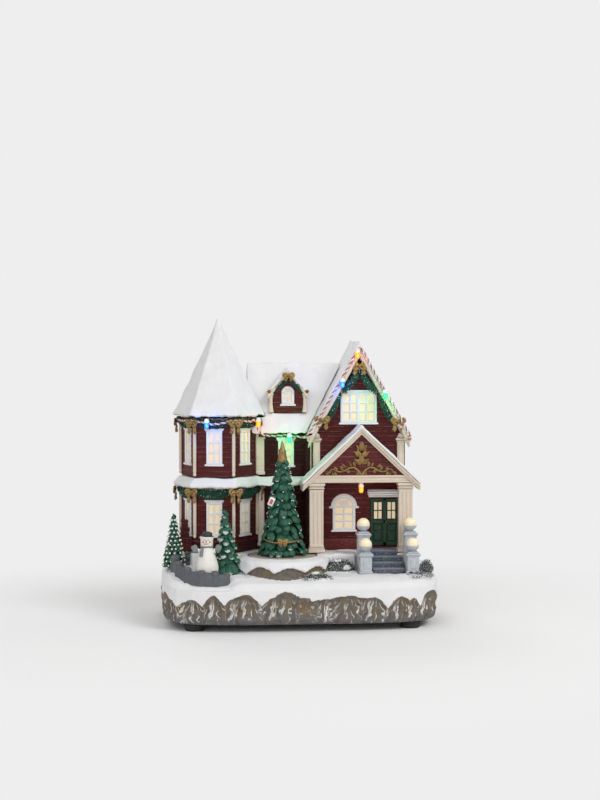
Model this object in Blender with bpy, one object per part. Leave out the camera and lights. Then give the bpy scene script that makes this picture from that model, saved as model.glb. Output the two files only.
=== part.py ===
"""Light-up Christmas village house on a snowy base, with a tree that turns.

Everything is in metres with +Z up. The origin is on the ground, under the middle of the base.
The house looks towards -Y, and its hexagonal tower stands at -X.
"""

import math

import bmesh
import bpy
from mathutils import Matrix, Vector

# Clearance kept between pieces that touch, and how far joined shapes run into each other.
GAP = 0.0003
BITE = 0.0006

# Base casting: a rounded rectangle of rock under snow.
BASE_WIDTH = 0.226
BASE_DEPTH = 0.140
BASE_ROUNDNESS = 4.5
EDGE_STEP = 0.0100
EDGE_MIDDLE = 0.0258
EDGE_SWING = 0.0042
ROCK_INSET = 0.0017
LIP_HEIGHT = 0.0013
SHELL_WALL = 0.005
GROUND_FRONT = 0.041
GROUND_BACK = 0.0465
GROUND_BREAK_Y = -0.012
SNOW_ROLL = 0.012
TERRACE_TOP = 0.057
TERRACE_MARGIN = 0.004

# Feet and bottom plate.
FOOT_HEIGHT = 0.006
FOOT_RADIUS = 0.008
FOOT_INSET_X = 0.026
FOOT_INSET_Y = 0.020
FOOT_X = BASE_WIDTH / 2 - FOOT_INSET_X
FOOT_Y = BASE_DEPTH / 2 - FOOT_INSET_Y
PLATE_THICKNESS = 0.0022

# Battery bay for three AA cells, its hinged door, the slide switch and the circuit board.
CELL_RADIUS = 0.0071
CELL_LENGTH = 0.0502
CELL_COUNT = 3
BAY_Y = 0.032
BAY_WALL = 0.0015
BAY_END_ROOM = 0.0006
DOOR_LAP = 0.0025
BAY_DOOR_THICKNESS = 0.0018
HINGE_LUG = 0.0024
HINGE_CHEEK = 0.0010
SWITCH_X = 0.070
SWITCH_Y = -0.036
SWITCH_TRAVEL = 0.004
SWITCH_STEM = 0.003
SWITCH_BODY = (0.012, 0.0064, 0.005)
BOARD_X = 0.060
BOARD_Y = 0.022
BOARD_SIZE = (0.036, 0.024, 0.0016)
BOARD_STANDOFF = 0.005

# Tree that turns, its spindle and gears.
TREE_X = -0.0146
TREE_Y = -0.023
MOUND_RADIUS = 0.038
RECESS_RADIUS = 0.028
RECESS_DEPTH = 0.003
RECESS_FLOOR = 0.003
DISC_THICKNESS = 0.0017
TREE_RADIUS = 0.0183
TREE_HEIGHT = 0.077
TREE_TIERS = 7
TOPPER_HEIGHT = 0.016
TOPPER_RADIUS = 0.0042
SPINDLE_RADIUS = 0.0015
SPINDLE_REACH = 0.010
GEAR_MODULE = 0.0007
TREE_TEETH = 36
PINION_TEETH = 12
GEAR_WIDTH = 0.005
GEAR_BACKLASH = 0.0003
MOTOR_RADIUS = 0.008
GEARBOX_RADIUS = 0.010
GEARBOX_HEIGHT = 0.012
PIVOT_RADIUS = 0.0034
PIVOT_DEPTH = 0.003

# Hexagonal tower.
TOWER_X = -0.065
TOWER_Y = 0.014
TOWER_FIRST_CORNER = math.radians(-130)
TOWER_RADIUS = 0.031
TOWER_WALL = 0.003
POST_WIDTH = 0.0028
POST_DEPTH = 0.0018
FRIEZE_HEIGHT = 0.0022
FRIEZE_DEPTH = 0.0014
TOWER_SPLIT = 0.1105
PLINTH_HEIGHT = 0.009
PLINTH_STEP = 0.0010
SKIRT_HEIGHT = 0.008
SKIRT_RADIUS = 0.0385
SKIRT_EDGE = 0.003
TOWER_TOP = 0.168
SPIRE_RADIUS = 0.0392
SPIRE_EDGE = 0.0035
SPIRE_TOP = 0.250
TOWER_WINDOW = (0.0132, 0.028)
TOWER_WINDOW_LOW = 0.0712
TOWER_WINDOW_HIGH = 0.1300
SLEEVE_WALL = 0.0014

# Wing with the steep front gable.
WING_X = 0.051
WING_HALF = 0.038
WING_FRONT = 0.0
WING_BACK = 0.052
WING_RIDGE = 0.232
WING_SPAN = 0.0432
EAVE_HEIGHT = 0.155
WALL = 0.0035
ROOF_THICKNESS = 0.004
WING_OVERHANG = 0.008
CORNER_POST = (0.0056, 0.0016)

# Centre block between the tower and the wing, with its roof along X and its dormer.
CENTRE_LEFT = -0.039
CENTRE_FRONT = 0.010
CENTRE_BACK = 0.046
MAIN_RIDGE = 0.2133
MAIN_SPAN = 0.027
MAIN_OVERHANG = 0.002
SKIRT_SHELF = 0.0085
PILASTER_X = -0.0298
PILASTER_WIDTH = 0.0048
PILASTER_DEPTH = 0.0012
DORMER_X = -0.0075
DORMER_FRONT = 0.008
DORMER_HALF = 0.0152
DORMER_SPAN = 0.0175
DORMER_RIDGE = 0.2091
DORMER_EAVE = 0.189
DORMER_ROOF = 0.003
DORMER_WALL = 0.0024
DORMER_OVERHANG = 0.003

# Front door, its canopy, the steps and the lamp posts beside them.
DOOR_X = 0.0732
DOOR_WIDTH = 0.0245
DOOR_BOTTOM = 0.0600
DOOR_TOP = 0.0997
DOOR_THICKNESS = 0.0024
DOOR_RECESS = 0.0008
PANEL_DEPTH = 0.0006
CANOPY_OVERLAP = 0.0025
CANOPY_LIFT = 0.0012
CANOPY_HEIGHT = 0.0066
CANOPY_DEPTH = 0.0055
STEPS_X = 0.0710
STEPS_WIDTH = 0.0263
STEP_COUNT = 4
STEP_RUN = 0.0070
STEP_RISE = 0.0040
LANDING_DEPTH = 0.0200
STAIR_POST_OFFSET = 0.0193
STAIR_POST_WIDTH = 0.0095
STAIR_CAP_WIDTH = 0.0120
STAIR_CAP_HEIGHT = 0.0032
STAIR_FRONT_Y = -0.0415
STAIR_BACK_Y = -0.0275
STAIR_FRONT_HEIGHT = 0.0140
STAIR_BACK_HEIGHT = 0.0290
GLOBE_RADIUS = 0.0054

# Porch in front of the wing.
PORCH_X = 0.051
PORCH_SPAN = 0.0492
PORCH_RISE = 0.0465
PORCH_ROOF = 0.0045
PORCH_FRONT = -0.021
PORCH_OVERHANG = 0.0035
BEAM_OVER_CANOPY = 0.0073
PORCH_BEAM = DOOR_TOP + CANOPY_LIFT + CANOPY_HEIGHT + BEAM_OVER_CANOPY
EAVE_OVER_BEAM = 0.0010
PORCH_EAVE = PORCH_BEAM + EAVE_OVER_BEAM
PORCH_RIDGE = PORCH_EAVE + PORCH_RISE
PEDIMENT_WALL = 0.003
COLUMN_OFFSET = 0.037
COLUMN_WIDTH = 0.0112
COLUMN_DEPTH = 0.0072
COLUMN_FLARE = 0.0014
COLUMN_FOOT = 0.005
FLUTE = 0.0013
FLUTE_DEPTH = 0.0007

# Windows: outside width and height, columns and rows of panes, and how far a frame stands proud.
FRAME_PROUD = 0.0010
FRAME_WIDTH = 0.0016
BAR_WIDTH = 0.0009
PANE_DEPTH = 0.0014
INSERT_DEPTH = 0.0024
GABLE_WINDOW = (0.0305, 0.0258)
GABLE_PANES = range(4), range(3)
GABLE_WINDOW_LOW = 0.1632
PORCH_WINDOW = (0.0190, 0.0290)
PORCH_WINDOW_X = 0.0388
PORCH_WINDOW_LOW = 0.0735
CENTRE_WINDOW = (0.0132, 0.0215)
CENTRE_WINDOW_X = -0.0090
CENTRE_WINDOW_LOW = 0.1270
DORMER_WINDOW = (0.0106, 0.0150)
TALL_PANES = range(2), range(3)
DORMER_PANES = range(2), range(2)
DORMER_WINDOW_LOW = 0.1785

# Greenery, figures and the string of lights.
GARLAND_RADIUS = 0.0024
SWAG_DROP = 0.0065
SMALL_TREE_LEFT = (0.0100 - BASE_WIDTH / 2, -0.012, 0.0088, 0.042)
SMALL_TREE_FRONT = (-0.0615, -0.0345, 0.0098, 0.049)
SNOWMAN_X = -0.0770
SNOWMAN_Y = -0.0466
SNOWMAN_RADIUS = 0.0090
TWINE_RADIUS = 0.0009
TWINE_SPACING = 0.0046
LED_RADIUS = 0.0022
LED_LENGTH = 0.0085


def clear_scene():
    """Empties the file, so that the model is all it holds."""
    for item in list(bpy.data.objects):
        bpy.data.objects.remove(item, do_unlink=True)


def paint(item, colour, roughness, metallic=0.0):
    """Gives a piece its own Principled material."""
    look = bpy.data.materials.new(item.name + "_finish")
    look.use_nodes = True
    shader = look.node_tree.nodes["Principled BSDF"]
    shader.inputs["Base Color"].default_value = (*colour, 1.0)
    shader.inputs["Roughness"].default_value = roughness
    shader.inputs["Metallic"].default_value = metallic
    look.diffuse_color = (*colour, 1.0)
    item.data.materials.clear()
    item.data.materials.append(look)
    return item


def smooth(item, angle=40):
    """Shades a round piece smooth and keeps its real edges sharp."""
    item.data.shade_smooth()
    item.data.set_sharp_from_angle(angle=math.radians(angle))
    return item


def solid(name, vertices, faces):
    """Makes a closed mesh object with its faces pointing out."""
    mesh = bpy.data.meshes.new(name)
    mesh.from_pydata([tuple(point) for point in vertices], [], faces)
    shape = bmesh.new()
    shape.from_mesh(mesh)
    bmesh.ops.recalc_face_normals(shape, faces=shape.faces)
    shape.to_mesh(mesh)
    shape.free()
    item = bpy.data.objects.new(name, mesh)
    bpy.context.scene.collection.objects.link(item)
    return item


def loft(name, rings):
    """Skins rings of equally many points. A ring of one point is a tip."""
    vertices = []
    starts = []
    for ring in rings:
        starts.append(len(vertices))
        vertices.extend(ring)
    faces = []
    for index in range(len(rings) - 1):
        low, high = rings[index], rings[index + 1]
        first, second = starts[index], starts[index + 1]
        count = max(len(low), len(high))
        for step in range(count):
            after = (step + 1) % count
            if len(low) == 1:
                faces.append((first, second + after, second + step))
            elif len(high) == 1:
                faces.append((first + step, first + after, second))
            else:
                faces.append((first + step, first + after, second + after, second + step))
    if len(rings[0]) > 1:
        faces.append(tuple(range(len(rings[0]) - 1, -1, -1)))
    if len(rings[-1]) > 1:
        faces.append(tuple(range(starts[-1], starts[-1] + len(rings[-1]))))
    return solid(name, vertices, faces)


def prism(name, outline, low, high, axis="Z"):
    """Extrudes an outline along an axis. The outline is in XY, in XZ for Y or in YZ for X."""
    place = {
        "Z": lambda a, b, along: Vector((a, b, along)),
        "Y": lambda a, b, along: Vector((a, along, b)),
        "X": lambda a, b, along: Vector((along, a, b)),
    }[axis]
    return loft(name, [[place(a, b, along) for a, b in outline] for along in (low, high)])


def box(name, x, y, z):
    """Makes a box from pairs of limits."""
    return prism(name, [(x[0], y[0]), (x[1], y[0]), (x[1], y[1]), (x[0], y[1])], z[0], z[1])


def circle(centre, radius, sides, start=0.0):
    """Points on a circle in the XY plane."""
    turn = 2 * math.pi / sides
    return [
        (centre[0] + radius * math.cos(start + turn * k), centre[1] + radius * math.sin(start + turn * k))
        for k in range(sides)
    ]


def turned(name, centre, profile, sides, start=0.0):
    """Turns a profile of (radius, height) pairs about a vertical axis. Radius 0 makes a tip."""
    rings = []
    for radius, height in profile:
        if radius == 0:
            rings.append([Vector((centre[0], centre[1], height))])
        else:
            rings.append([Vector((x, y, height)) for x, y in circle(centre, radius, sides, start)])
    return loft(name, rings)


def combine(target, tools, operation):
    """Joins shapes to a piece or cuts them from it, and deletes the tools."""
    for tool in tools:
        step = target.modifiers.new(operation, "BOOLEAN")
        step.operation = operation
        step.solver = "EXACT"
        step.object = tool
    bpy.context.view_layer.update()
    result = bpy.data.meshes.new_from_object(target.evaluated_get(bpy.context.evaluated_depsgraph_get()))
    target.modifiers.clear()
    target.data = result
    for tool in tools:
        bpy.data.objects.remove(tool, do_unlink=True)
    return target


def join(target, *tools):
    """Unites a piece with shapes that run into it."""
    return combine(target, tools, "UNION")


def cut(target, *tools):
    """Cuts shapes away from a piece."""
    return combine(target, tools, "DIFFERENCE")


def turn_about_z(item, centre, angle):
    """Turns a piece's mesh about a vertical line."""
    middle = Matrix.Translation(Vector((centre[0], centre[1], 0)))
    item.data.transform(middle @ Matrix.Rotation(angle, 4, "Z") @ middle.inverted())
    return item


def set_origin(item, point):
    """Moves a piece's origin onto its joint's axis without moving its shape."""
    item.data.transform(Matrix.Translation(-Vector(point)))
    item.location = point
    return item


# Shared sizes, worked out from the driving ones.
PLATE_BOTTOM = FOOT_HEIGHT + GAP
PLATE_TOP = PLATE_BOTTOM + PLATE_THICKNESS
CEILING = GROUND_FRONT - SHELL_WALL - 0.002
FLOOR = TERRACE_TOP + GAP
TREE_FLOOR = TERRACE_TOP - RECESS_DEPTH
DISC_TOP = TREE_FLOOR + GAP + DISC_THICKNESS
TREE_BOTTOM = DISC_TOP + GAP
MOUND_CEILING = TREE_FLOOR - RECESS_FLOOR
GEAR_TOP = MOUND_CEILING - 0.0025
GEAR_BOTTOM = GEAR_TOP - GEAR_WIDTH
GEAR_SPACING = GEAR_MODULE * (TREE_TEETH + PINION_TEETH) / 2
MOTOR_X = TREE_X + GEAR_SPACING
GEARBOX_TOP = GEAR_BOTTOM - 0.002
PIVOT_TOP = GEARBOX_TOP - 0.004
SHAFT_ROOM = SPINDLE_RADIUS + GAP
SKIRT_BOTTOM = TOWER_SPLIT + GAP
SKIRT_TOP = SKIRT_BOTTOM + SKIRT_HEIGHT
UPPER_FLOOR = SKIRT_TOP + GAP
SPIRE_BOTTOM = TOWER_TOP + GAP
APOTHEM = math.cos(math.pi / 6)
CENTRE_RIGHT = WING_X - WING_HALF - GAP
MAIN_Y = (CENTRE_FRONT + CENTRE_BACK) / 2
WING_SLOPE = (WING_RIDGE - EAVE_HEIGHT) / WING_SPAN
MAIN_SLOPE = (MAIN_RIDGE - EAVE_HEIGHT) / MAIN_SPAN
PORCH_SLOPE = (PORCH_RIDGE - PORCH_EAVE) / PORCH_SPAN
DORMER_SLOPE = (DORMER_RIDGE - DORMER_EAVE) / DORMER_SPAN


def upright(thickness, slope):
    """How thick a sloping slab is when it is measured straight up."""
    return thickness * math.hypot(1, slope)


def ground(y):
    """Height of the snow at a distance from the front, which rises to the middle."""
    edge = -BASE_DEPTH / 2
    share = min(1.0, max(0.0, (y - edge) / (GROUND_BREAK_Y - edge)))
    return GROUND_FRONT + (GROUND_BACK - GROUND_FRONT) * share


def seat_height(y):
    """Height of the level bed that a figure stands on in the sloping snow."""
    return ground(y) - 0.0004


def figure_beds():
    """Shapes of the level beds under the small trees and the snowman."""
    places = (SMALL_TREE_LEFT[:3], SMALL_TREE_FRONT[:3], (SNOWMAN_X, SNOWMAN_Y, SNOWMAN_RADIUS))
    return [
        turned(
            "bed",
            (x, y),
            [(radius + 2 * GAP, seat_height(y)), (radius + 2 * GAP, seat_height(y) + 0.006)],
            20,
        )
        for x, y, radius in places
    ]


# Turns of the snow's lower edge along the front, as (share of the half width, height).
FRONT_EDGE = [
    (-0.993, 0.0262),
    (-0.980, 0.0298),
    (-0.947, 0.0250),
    (-0.903, 0.0202),
    (-0.788, 0.0262),
    (-0.722, 0.0208),
    (-0.645, 0.0303),
    (-0.568, 0.0217),
    (-0.505, 0.0278),
    (-0.416, 0.0308),
    (-0.302, 0.0212),
    (-0.211, 0.0288),
    (-0.134, 0.0330),
    (-0.049, 0.0291),
    (0.050, 0.0252),
    (0.177, 0.0266),
    (0.319, 0.0290),
    (0.410, 0.0268),
    (0.496, 0.0275),
    (0.588, 0.0184),
    (0.688, 0.0274),
    (0.752, 0.0240),
    (0.781, 0.0258),
    (0.830, 0.0180),
    (0.888, 0.0295),
    (0.944, 0.0302),
    (0.975, 0.0252),
    (0.992, 0.0208),
]


def outline_point(angle, inset=0.0):
    """A point on the base's rounded outline."""
    c, s = math.cos(angle), math.sin(angle)
    x = (BASE_WIDTH / 2 - inset) * math.copysign(abs(c) ** (2 / BASE_ROUNDNESS), c)
    y = (BASE_DEPTH / 2 - inset) * math.copysign(abs(s) ** (2 / BASE_ROUNDNESS), s)
    return Vector((x, y, 0))


def snow_edge():
    """Angle and height of each turn in the snow's lower edge: hand-chosen in front, up and down behind."""
    turns = []
    for share, height in FRONT_EDGE:
        c = math.copysign(abs(share) ** (BASE_ROUNDNESS / 2), share)
        turns.append((math.atan2(-math.sqrt(1 - c * c), c) % (2 * math.pi), height))
    first, last = turns[0][0] + 2 * math.pi, turns[-1][0]
    walk = [last + (first - last) * k / 2000 for k in range(2001)]
    walked = [0.0]
    for near, far in zip(walk, walk[1:]):
        walked.append(walked[-1] + (outline_point(far) - outline_point(near)).length)
    count = 2 * round(walked[-1] / EDGE_STEP / 2)
    for k in range(1, count):
        reached = walked[-1] * k / count
        after = next(index for index, far in enumerate(walked) if far >= reached)
        share = (reached - walked[after - 1]) / (walked[after] - walked[after - 1])
        angle = walk[after - 1] + (walk[after] - walk[after - 1]) * share
        swing = EDGE_SWING * (1 if k % 2 else -1) * (0.75 + 0.25 * math.sin(2.4 * k))
        turns.append((angle, EDGE_MIDDLE + swing))
    return turns


SNOW_EDGE = snow_edge()


def base_ring(inset, height):
    """The base's outline, set in. The height is a number or a function of Y."""
    ring = []
    for angle, _ in SNOW_EDGE:
        point = outline_point(angle, inset)
        point.z = height(point.y) if callable(height) else height
        ring.append(point)
    return ring


def edge_ring(inset, drop):
    """The base's outline at the snow's lower edge, set in and lowered."""
    return [outline_point(angle, inset) + Vector((0, 0, height - drop)) for angle, height in SNOW_EDGE]


def tower_ring(radius, height):
    """A hexagon about the tower's axis."""
    return [Vector((x, y, height)) for x, y in circle((TOWER_X, TOWER_Y), radius, 6, TOWER_FIRST_CORNER)]


def tower_prism(name, radius, low, high):
    """A hexagonal block about the tower's axis."""
    return loft(name, [tower_ring(radius, low), tower_ring(radius, high)])


def tent(name, centre, span, eave, ridge, low, high, axis, grow=0.0):
    """The whole space under a roof's outer faces, down to its eaves."""
    slope = (ridge - eave) / span
    lift = upright(grow, slope)
    side = span + (grow + lift) / slope
    outline = [(centre - side, eave - grow), (centre + side, eave - grow), (centre, ridge + lift)]
    return prism(name, outline, low - grow, high + grow, axis)


def chevron(name, centre, span, eave, ridge, thickness, low, high, axis):
    """A roof of two slopes, open underneath."""
    slope = (ridge - eave) / span
    rise = upright(thickness, slope)
    inner = span - rise / slope
    outline = [
        (centre - span, eave),
        (centre, ridge),
        (centre + span, eave),
        (centre + inner, eave),
        (centre, ridge - rise),
        (centre - inner, eave),
    ]
    return prism(name, outline, low, high, axis)


def gabled(name, centre, half, floor, peak, slope, low, high, axis):
    """A block with a pitched top that fits under a roof whose inner peak is given."""
    shoulder = peak - half * slope
    outline = [
        (centre - half, floor),
        (centre + half, floor),
        (centre + half, shoulder),
        (centre, peak),
        (centre - half, shoulder),
    ]
    return prism(name, outline, low, high, axis)


def stair_pit(grow):
    """The level bed that the steps and lamp posts stand in."""
    side = STAIR_POST_OFFSET + STAIR_CAP_WIDTH / 2 + grow
    front = STAIR_FRONT_Y - STAIR_CAP_WIDTH / 2 - grow
    back = STAIR_BACK_Y + STAIR_CAP_WIDTH / 2 + grow
    top = TERRACE_TOP + 0.02
    yard = box("yard", (STEPS_X - side, STEPS_X + side), (front, back), (STAIR_BED - grow, top))
    well = box(
        "well",
        (STEPS_X - STEPS_WIDTH / 2 - grow, LANDING_RIGHT + grow),
        (front, WING_FRONT + grow),
        (STAIR_BED - grow, top),
    )
    return yard, well


STAIR_BED = ground(STAIR_FRONT_Y - STAIR_CAP_WIDTH / 2) - 0.0006
LANDING_RIGHT = min(
    STEPS_X + STEPS_WIDTH / 2, PORCH_X + COLUMN_OFFSET - COLUMN_WIDTH / 2 - COLUMN_FLARE - 2 * GAP
)


def lump(name, centre, size, sides=10, rings=3):
    """A low mound or bush, as a stretched ball."""
    layers = [[Vector((centre[0], centre[1], centre[2] - size[2]))]]
    for k in range(1, rings + 1):
        angle = math.pi * k / (rings + 1)
        width = math.sin(angle)
        height = centre[2] - size[2] * math.cos(angle)
        outline = circle((0, 0), width, sides)
        layers.append(
            [Vector((centre[0] + size[0] * x, centre[1] + size[1] * y, height)) for x, y in outline]
        )
    layers.append([Vector((centre[0], centre[1], centre[2] + size[2]))])
    return loft(name, layers)


def garden_wall():
    """The low stone wall that curves round the snowman."""
    centre, reach, thickness, height = (-0.0725, -0.0205), (0.0300, 0.0397), 0.0046, 0.0085
    rings = []
    for degrees in range(188, 293, 21):
        angle = math.radians(degrees)
        x = centre[0] + reach[0] * math.cos(angle)
        y = centre[1] + reach[1] * math.sin(angle)
        out = Vector((math.cos(angle) * reach[1], math.sin(angle) * reach[0], 0)).normalized() * thickness / 2
        foot = ground(y) - 0.003
        top = ground(y) + height
        middle = Vector((x, y, 0))
        rings.append([
            middle - out + Vector((0, 0, foot)),
            middle + out + Vector((0, 0, foot)),
            middle + out + Vector((0, 0, top)),
            middle - out + Vector((0, 0, top)),
        ])
    return loft("garden_wall", rings)


def base_casting():
    """The hollow rock and snow base with its terrace, mound, shrubs and garden wall."""
    shell = loft("base_casting", [
        base_ring(0.0030, PLATE_BOTTOM),
        base_ring(ROCK_INSET, PLATE_BOTTOM + 0.004),
        edge_ring(ROCK_INSET, LIP_HEIGHT),
        edge_ring(0.0, 0.0),
        base_ring(0.0004, lambda y: ground(y) - SNOW_ROLL * 0.6),
        base_ring(SNOW_ROLL * 0.3, lambda y: ground(y) - SNOW_ROLL * 0.22),
        base_ring(SNOW_ROLL, ground),
        [Vector((0, GROUND_BREAK_Y, GROUND_BACK))],
    ])
    house = (CENTRE_LEFT - TERRACE_MARGIN, WING_X + WING_HALF + TERRACE_MARGIN)
    porch_side = COLUMN_OFFSET + COLUMN_WIDTH / 2 + COLUMN_FLARE + TERRACE_MARGIN / 2
    porch = (PORCH_X - porch_side, PORCH_X + porch_side)
    back = WING_BACK + TERRACE_MARGIN
    tower_out = TOWER_RADIUS + PLINTH_STEP + TERRACE_MARGIN
    sunk = CEILING + 0.002
    shell = join(
        shell,
        box("terrace", house, (WING_FRONT - TERRACE_MARGIN, back), (sunk, TERRACE_TOP)),
        box("porch_floor", porch, (PORCH_FRONT - TERRACE_MARGIN, 0.02), (sunk - 0.001, TERRACE_TOP - 0.0004)),
        tower_prism("tower_foot", tower_out, sunk - 0.0005, TERRACE_TOP - 0.0002),
        turned("mound", (TREE_X, TREE_Y), [
            (MOUND_RADIUS, sunk - 0.0015),
            (MOUND_RADIUS, TERRACE_TOP - 0.010),
            (MOUND_RADIUS - 0.002, TERRACE_TOP - 0.002),
            (MOUND_RADIUS - 0.005, TERRACE_TOP - 0.0006),
        ], 32),
        garden_wall(),
        lump("hedge", (0.032, -0.0335, 0.0455), (0.0125, 0.0062, 0.0075)),
        lump("front_bush", (0.012, -0.0585, 0.0405), (0.0115, 0.0050, 0.0050)),
        lump("corner_bush", (BASE_WIDTH / 2 - 0.011, -0.040, 0.0440), (0.0050, 0.0085, 0.0085)),
    )
    inner = SHELL_WALL
    inside = (house[0] + inner, house[1] - inner)
    cavity = loft(
        "cavity",
        [
            base_ring(inner, PLATE_BOTTOM - 0.002),
            base_ring(inner, 0.020),
            base_ring(inner + 0.004, CEILING),
        ],
    )
    light_well = 0.012
    shell = cut(
        shell,
        cavity,
        box(
            "under_house",
            inside,
            (WING_FRONT + inner - TERRACE_MARGIN, back - inner),
            (CEILING - 0.001, TERRACE_TOP - inner),
        ),
        box(
            "light_well",
            (TOWER_X, WING_X + WING_HALF - light_well),
            (CENTRE_FRONT + light_well / 2, CENTRE_BACK - light_well / 2),
            (CEILING - 0.0015, TERRACE_TOP + 0.005),
        ),
        tower_prism("tower_well", TOWER_RADIUS - 0.008, CEILING - 0.002, TERRACE_TOP + 0.004),
        turned(
            "gear_room",
            (TREE_X, TREE_Y),
            [
                (MOUND_RADIUS - inner - 0.003, CEILING - 0.0025),
                (MOUND_RADIUS - inner - 0.003, MOUND_CEILING),
            ],
            24,
        ),
        turned(
            "recess",
            (TREE_X, TREE_Y),
            [(RECESS_RADIUS, TREE_FLOOR), (RECESS_RADIUS, TERRACE_TOP + 0.004)],
            32,
        ),
        turned(
            "spindle_hole",
            (TREE_X, TREE_Y),
            [(SHAFT_ROOM, MOUND_CEILING - 0.003), (SHAFT_ROOM, TREE_FLOOR + 0.001)],
            12,
        ),
        *stair_pit(GAP),
        *figure_beds(),
    )
    return paint(shell, (0.86, 0.88, 0.90), 0.65)


def bay_limits(grow=0.0):
    """Inside limits of the battery bay in X and Y."""
    half_x = CELL_LENGTH / 2 + BAY_END_ROOM + grow
    half_y = CELL_COUNT * (CELL_RADIUS + GAP / 2) + GAP + grow
    return (-half_x, half_x), (BAY_Y - half_y, BAY_Y + half_y)


def hinge_line():
    """Y and Z of the battery door's hinge."""
    return bay_limits(DOOR_LAP)[1][0], PLATE_BOTTOM - GAP - BAY_DOOR_THICKNESS / 2


def bottom_plate():
    """The plate that closes the base, with the battery bay, a pivot post and board standoffs."""
    plate = loft("bottom_plate", [
        base_ring(SHELL_WALL + GAP, PLATE_BOTTOM),
        base_ring(SHELL_WALL + GAP, PLATE_TOP),
    ])
    bay_top = PLATE_BOTTOM + 2 * CELL_RADIUS + 2 * GAP
    out_x, out_y = bay_limits(BAY_WALL)
    in_x, in_y = bay_limits()
    hinge_y, hinge_z = hinge_line()
    lug = BAY_DOOR_THICKNESS / 2 + GAP + HINGE_CHEEK
    tools = [box("bay", out_x, out_y, (PLATE_BOTTOM + 0.0004, bay_top + BAY_WALL))]
    for side in (-1, 1):
        near = side * (out_x[1] - BAY_WALL + DOOR_LAP + GAP)
        limits = sorted((near, near + side * HINGE_LUG))
        tools.append(
            box(
                "lug",
                limits,
                (hinge_y - lug, hinge_y + lug),
                (hinge_z - lug + 0.0004, PLATE_BOTTOM + 0.0008),
            )
        )
    for x in (-1, 1):
        for y in (-1, 1):
            spot = (BOARD_X + x * (BOARD_SIZE[0] / 2 - 0.003), BOARD_Y + y * (BOARD_SIZE[1] / 2 - 0.003))
            tools.append(
                turned(
                    "standoff", spot, [(0.002, PLATE_TOP - BITE), (0.002, PLATE_TOP + BOARD_STANDOFF)], 10
                )
            )
    tools.append(
        turned(
            "pivot",
            (TREE_X, TREE_Y),
            [
                (PIVOT_RADIUS + 0.0015, PLATE_TOP - BITE),
                (PIVOT_RADIUS, PLATE_TOP + 0.004),
                (PIVOT_RADIUS, PIVOT_TOP),
            ],
            16,
        )
    )
    plate = join(plate, *tools)
    stem = SWITCH_STEM / 2 + GAP
    plate = cut(
        plate,
        box("bay_room", in_x, in_y, (PLATE_BOTTOM - 0.002, bay_top)),
        box(
            "slot",
            (SWITCH_X - stem - SWITCH_TRAVEL / 2, SWITCH_X + stem + SWITCH_TRAVEL / 2),
            (SWITCH_Y - stem, SWITCH_Y + stem),
            (PLATE_BOTTOM - 0.001, PLATE_TOP + 0.001),
        ),
        turned(
            "pivot_bore",
            (TREE_X, TREE_Y),
            [(SHAFT_ROOM, PIVOT_TOP - PIVOT_DEPTH), (SHAFT_ROOM, PIVOT_TOP + 0.001)],
            12,
        ),
        prism(
            "hinge_bore",
            circle((hinge_y, hinge_z), BAY_DOOR_THICKNESS / 2 + GAP, 10),
            out_x[0] - 0.006,
            out_x[1] + 0.006,
            "X",
        ),
    )
    return paint(plate, (0.03, 0.03, 0.035), 0.55)


def feet():
    """Four round feet under the bottom plate."""
    for name, x, y in (
        ("front_left", -1, -1), ("front_right", 1, -1), ("back_left", -1, 1), ("back_right", 1, 1)
    ):
        foot = turned("foot_" + name, (x * FOOT_X, y * FOOT_Y), [
            (FOOT_RADIUS - 0.0008, 0.0),
            (FOOT_RADIUS, 0.0012),
            (FOOT_RADIUS, FOOT_HEIGHT),
        ], 20)
        paint(smooth(foot), (0.02, 0.02, 0.02), 0.8)


def battery_door():
    """The hinged door over the battery bay, with its pins and a snap tongue."""
    hinge_y, hinge_z = hinge_line()
    half = BAY_DOOR_THICKNESS / 2
    lap_x, lap_y = bay_limits(DOOR_LAP)
    tongue_y = bay_limits()[1][1] - 0.0008
    door = box("battery_door", lap_x, (hinge_y, lap_y[1]), (hinge_z - half, hinge_z + half))
    pin_end = lap_x[1] + HINGE_LUG
    door = join(
        door,
        prism("pins", circle((hinge_y, hinge_z), half, 10), -pin_end, pin_end, "X"),
        box("tongue", (-0.006, 0.006), (tongue_y - 0.0014, tongue_y), (hinge_z, PLATE_BOTTOM + 0.0012)),
        box(
            "thumb_lip",
            (-0.008, 0.008),
            (lap_y[1] - 0.002, lap_y[1] + 0.003),
            (hinge_z - half * 0.9, hinge_z + half * 0.4),
        ),
    )
    set_origin(door, (0, hinge_y, hinge_z))
    return paint(door, (0.03, 0.03, 0.035), 0.55)


def battery_cells():
    """Three AA cells side by side along X, each with its raised end."""
    axis_z = PLATE_BOTTOM + GAP + CELL_RADIUS
    pitch = 2 * CELL_RADIUS + GAP
    for index in range(CELL_COUNT):
        y = BAY_Y + (index - (CELL_COUNT - 1) / 2) * pitch
        cell = turned("battery_cell_%d" % (index + 1), (0, 0), [
            (CELL_RADIUS - 0.0006, -CELL_LENGTH / 2),
            (CELL_RADIUS, -CELL_LENGTH / 2 + 0.0006),
            (CELL_RADIUS, CELL_LENGTH / 2 - 0.0020),
            (0.0028, CELL_LENGTH / 2 - 0.0014),
            (0.0028, CELL_LENGTH / 2),
        ], 16)
        flip = 1 if index % 2 else -1
        cell.data.transform(Matrix.Translation((0, y, axis_z)) @ Matrix.Rotation(flip * math.pi / 2, 4, "Y"))
        paint(smooth(cell), (0.10, 0.11, 0.13), 0.35, 0.4)


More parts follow.
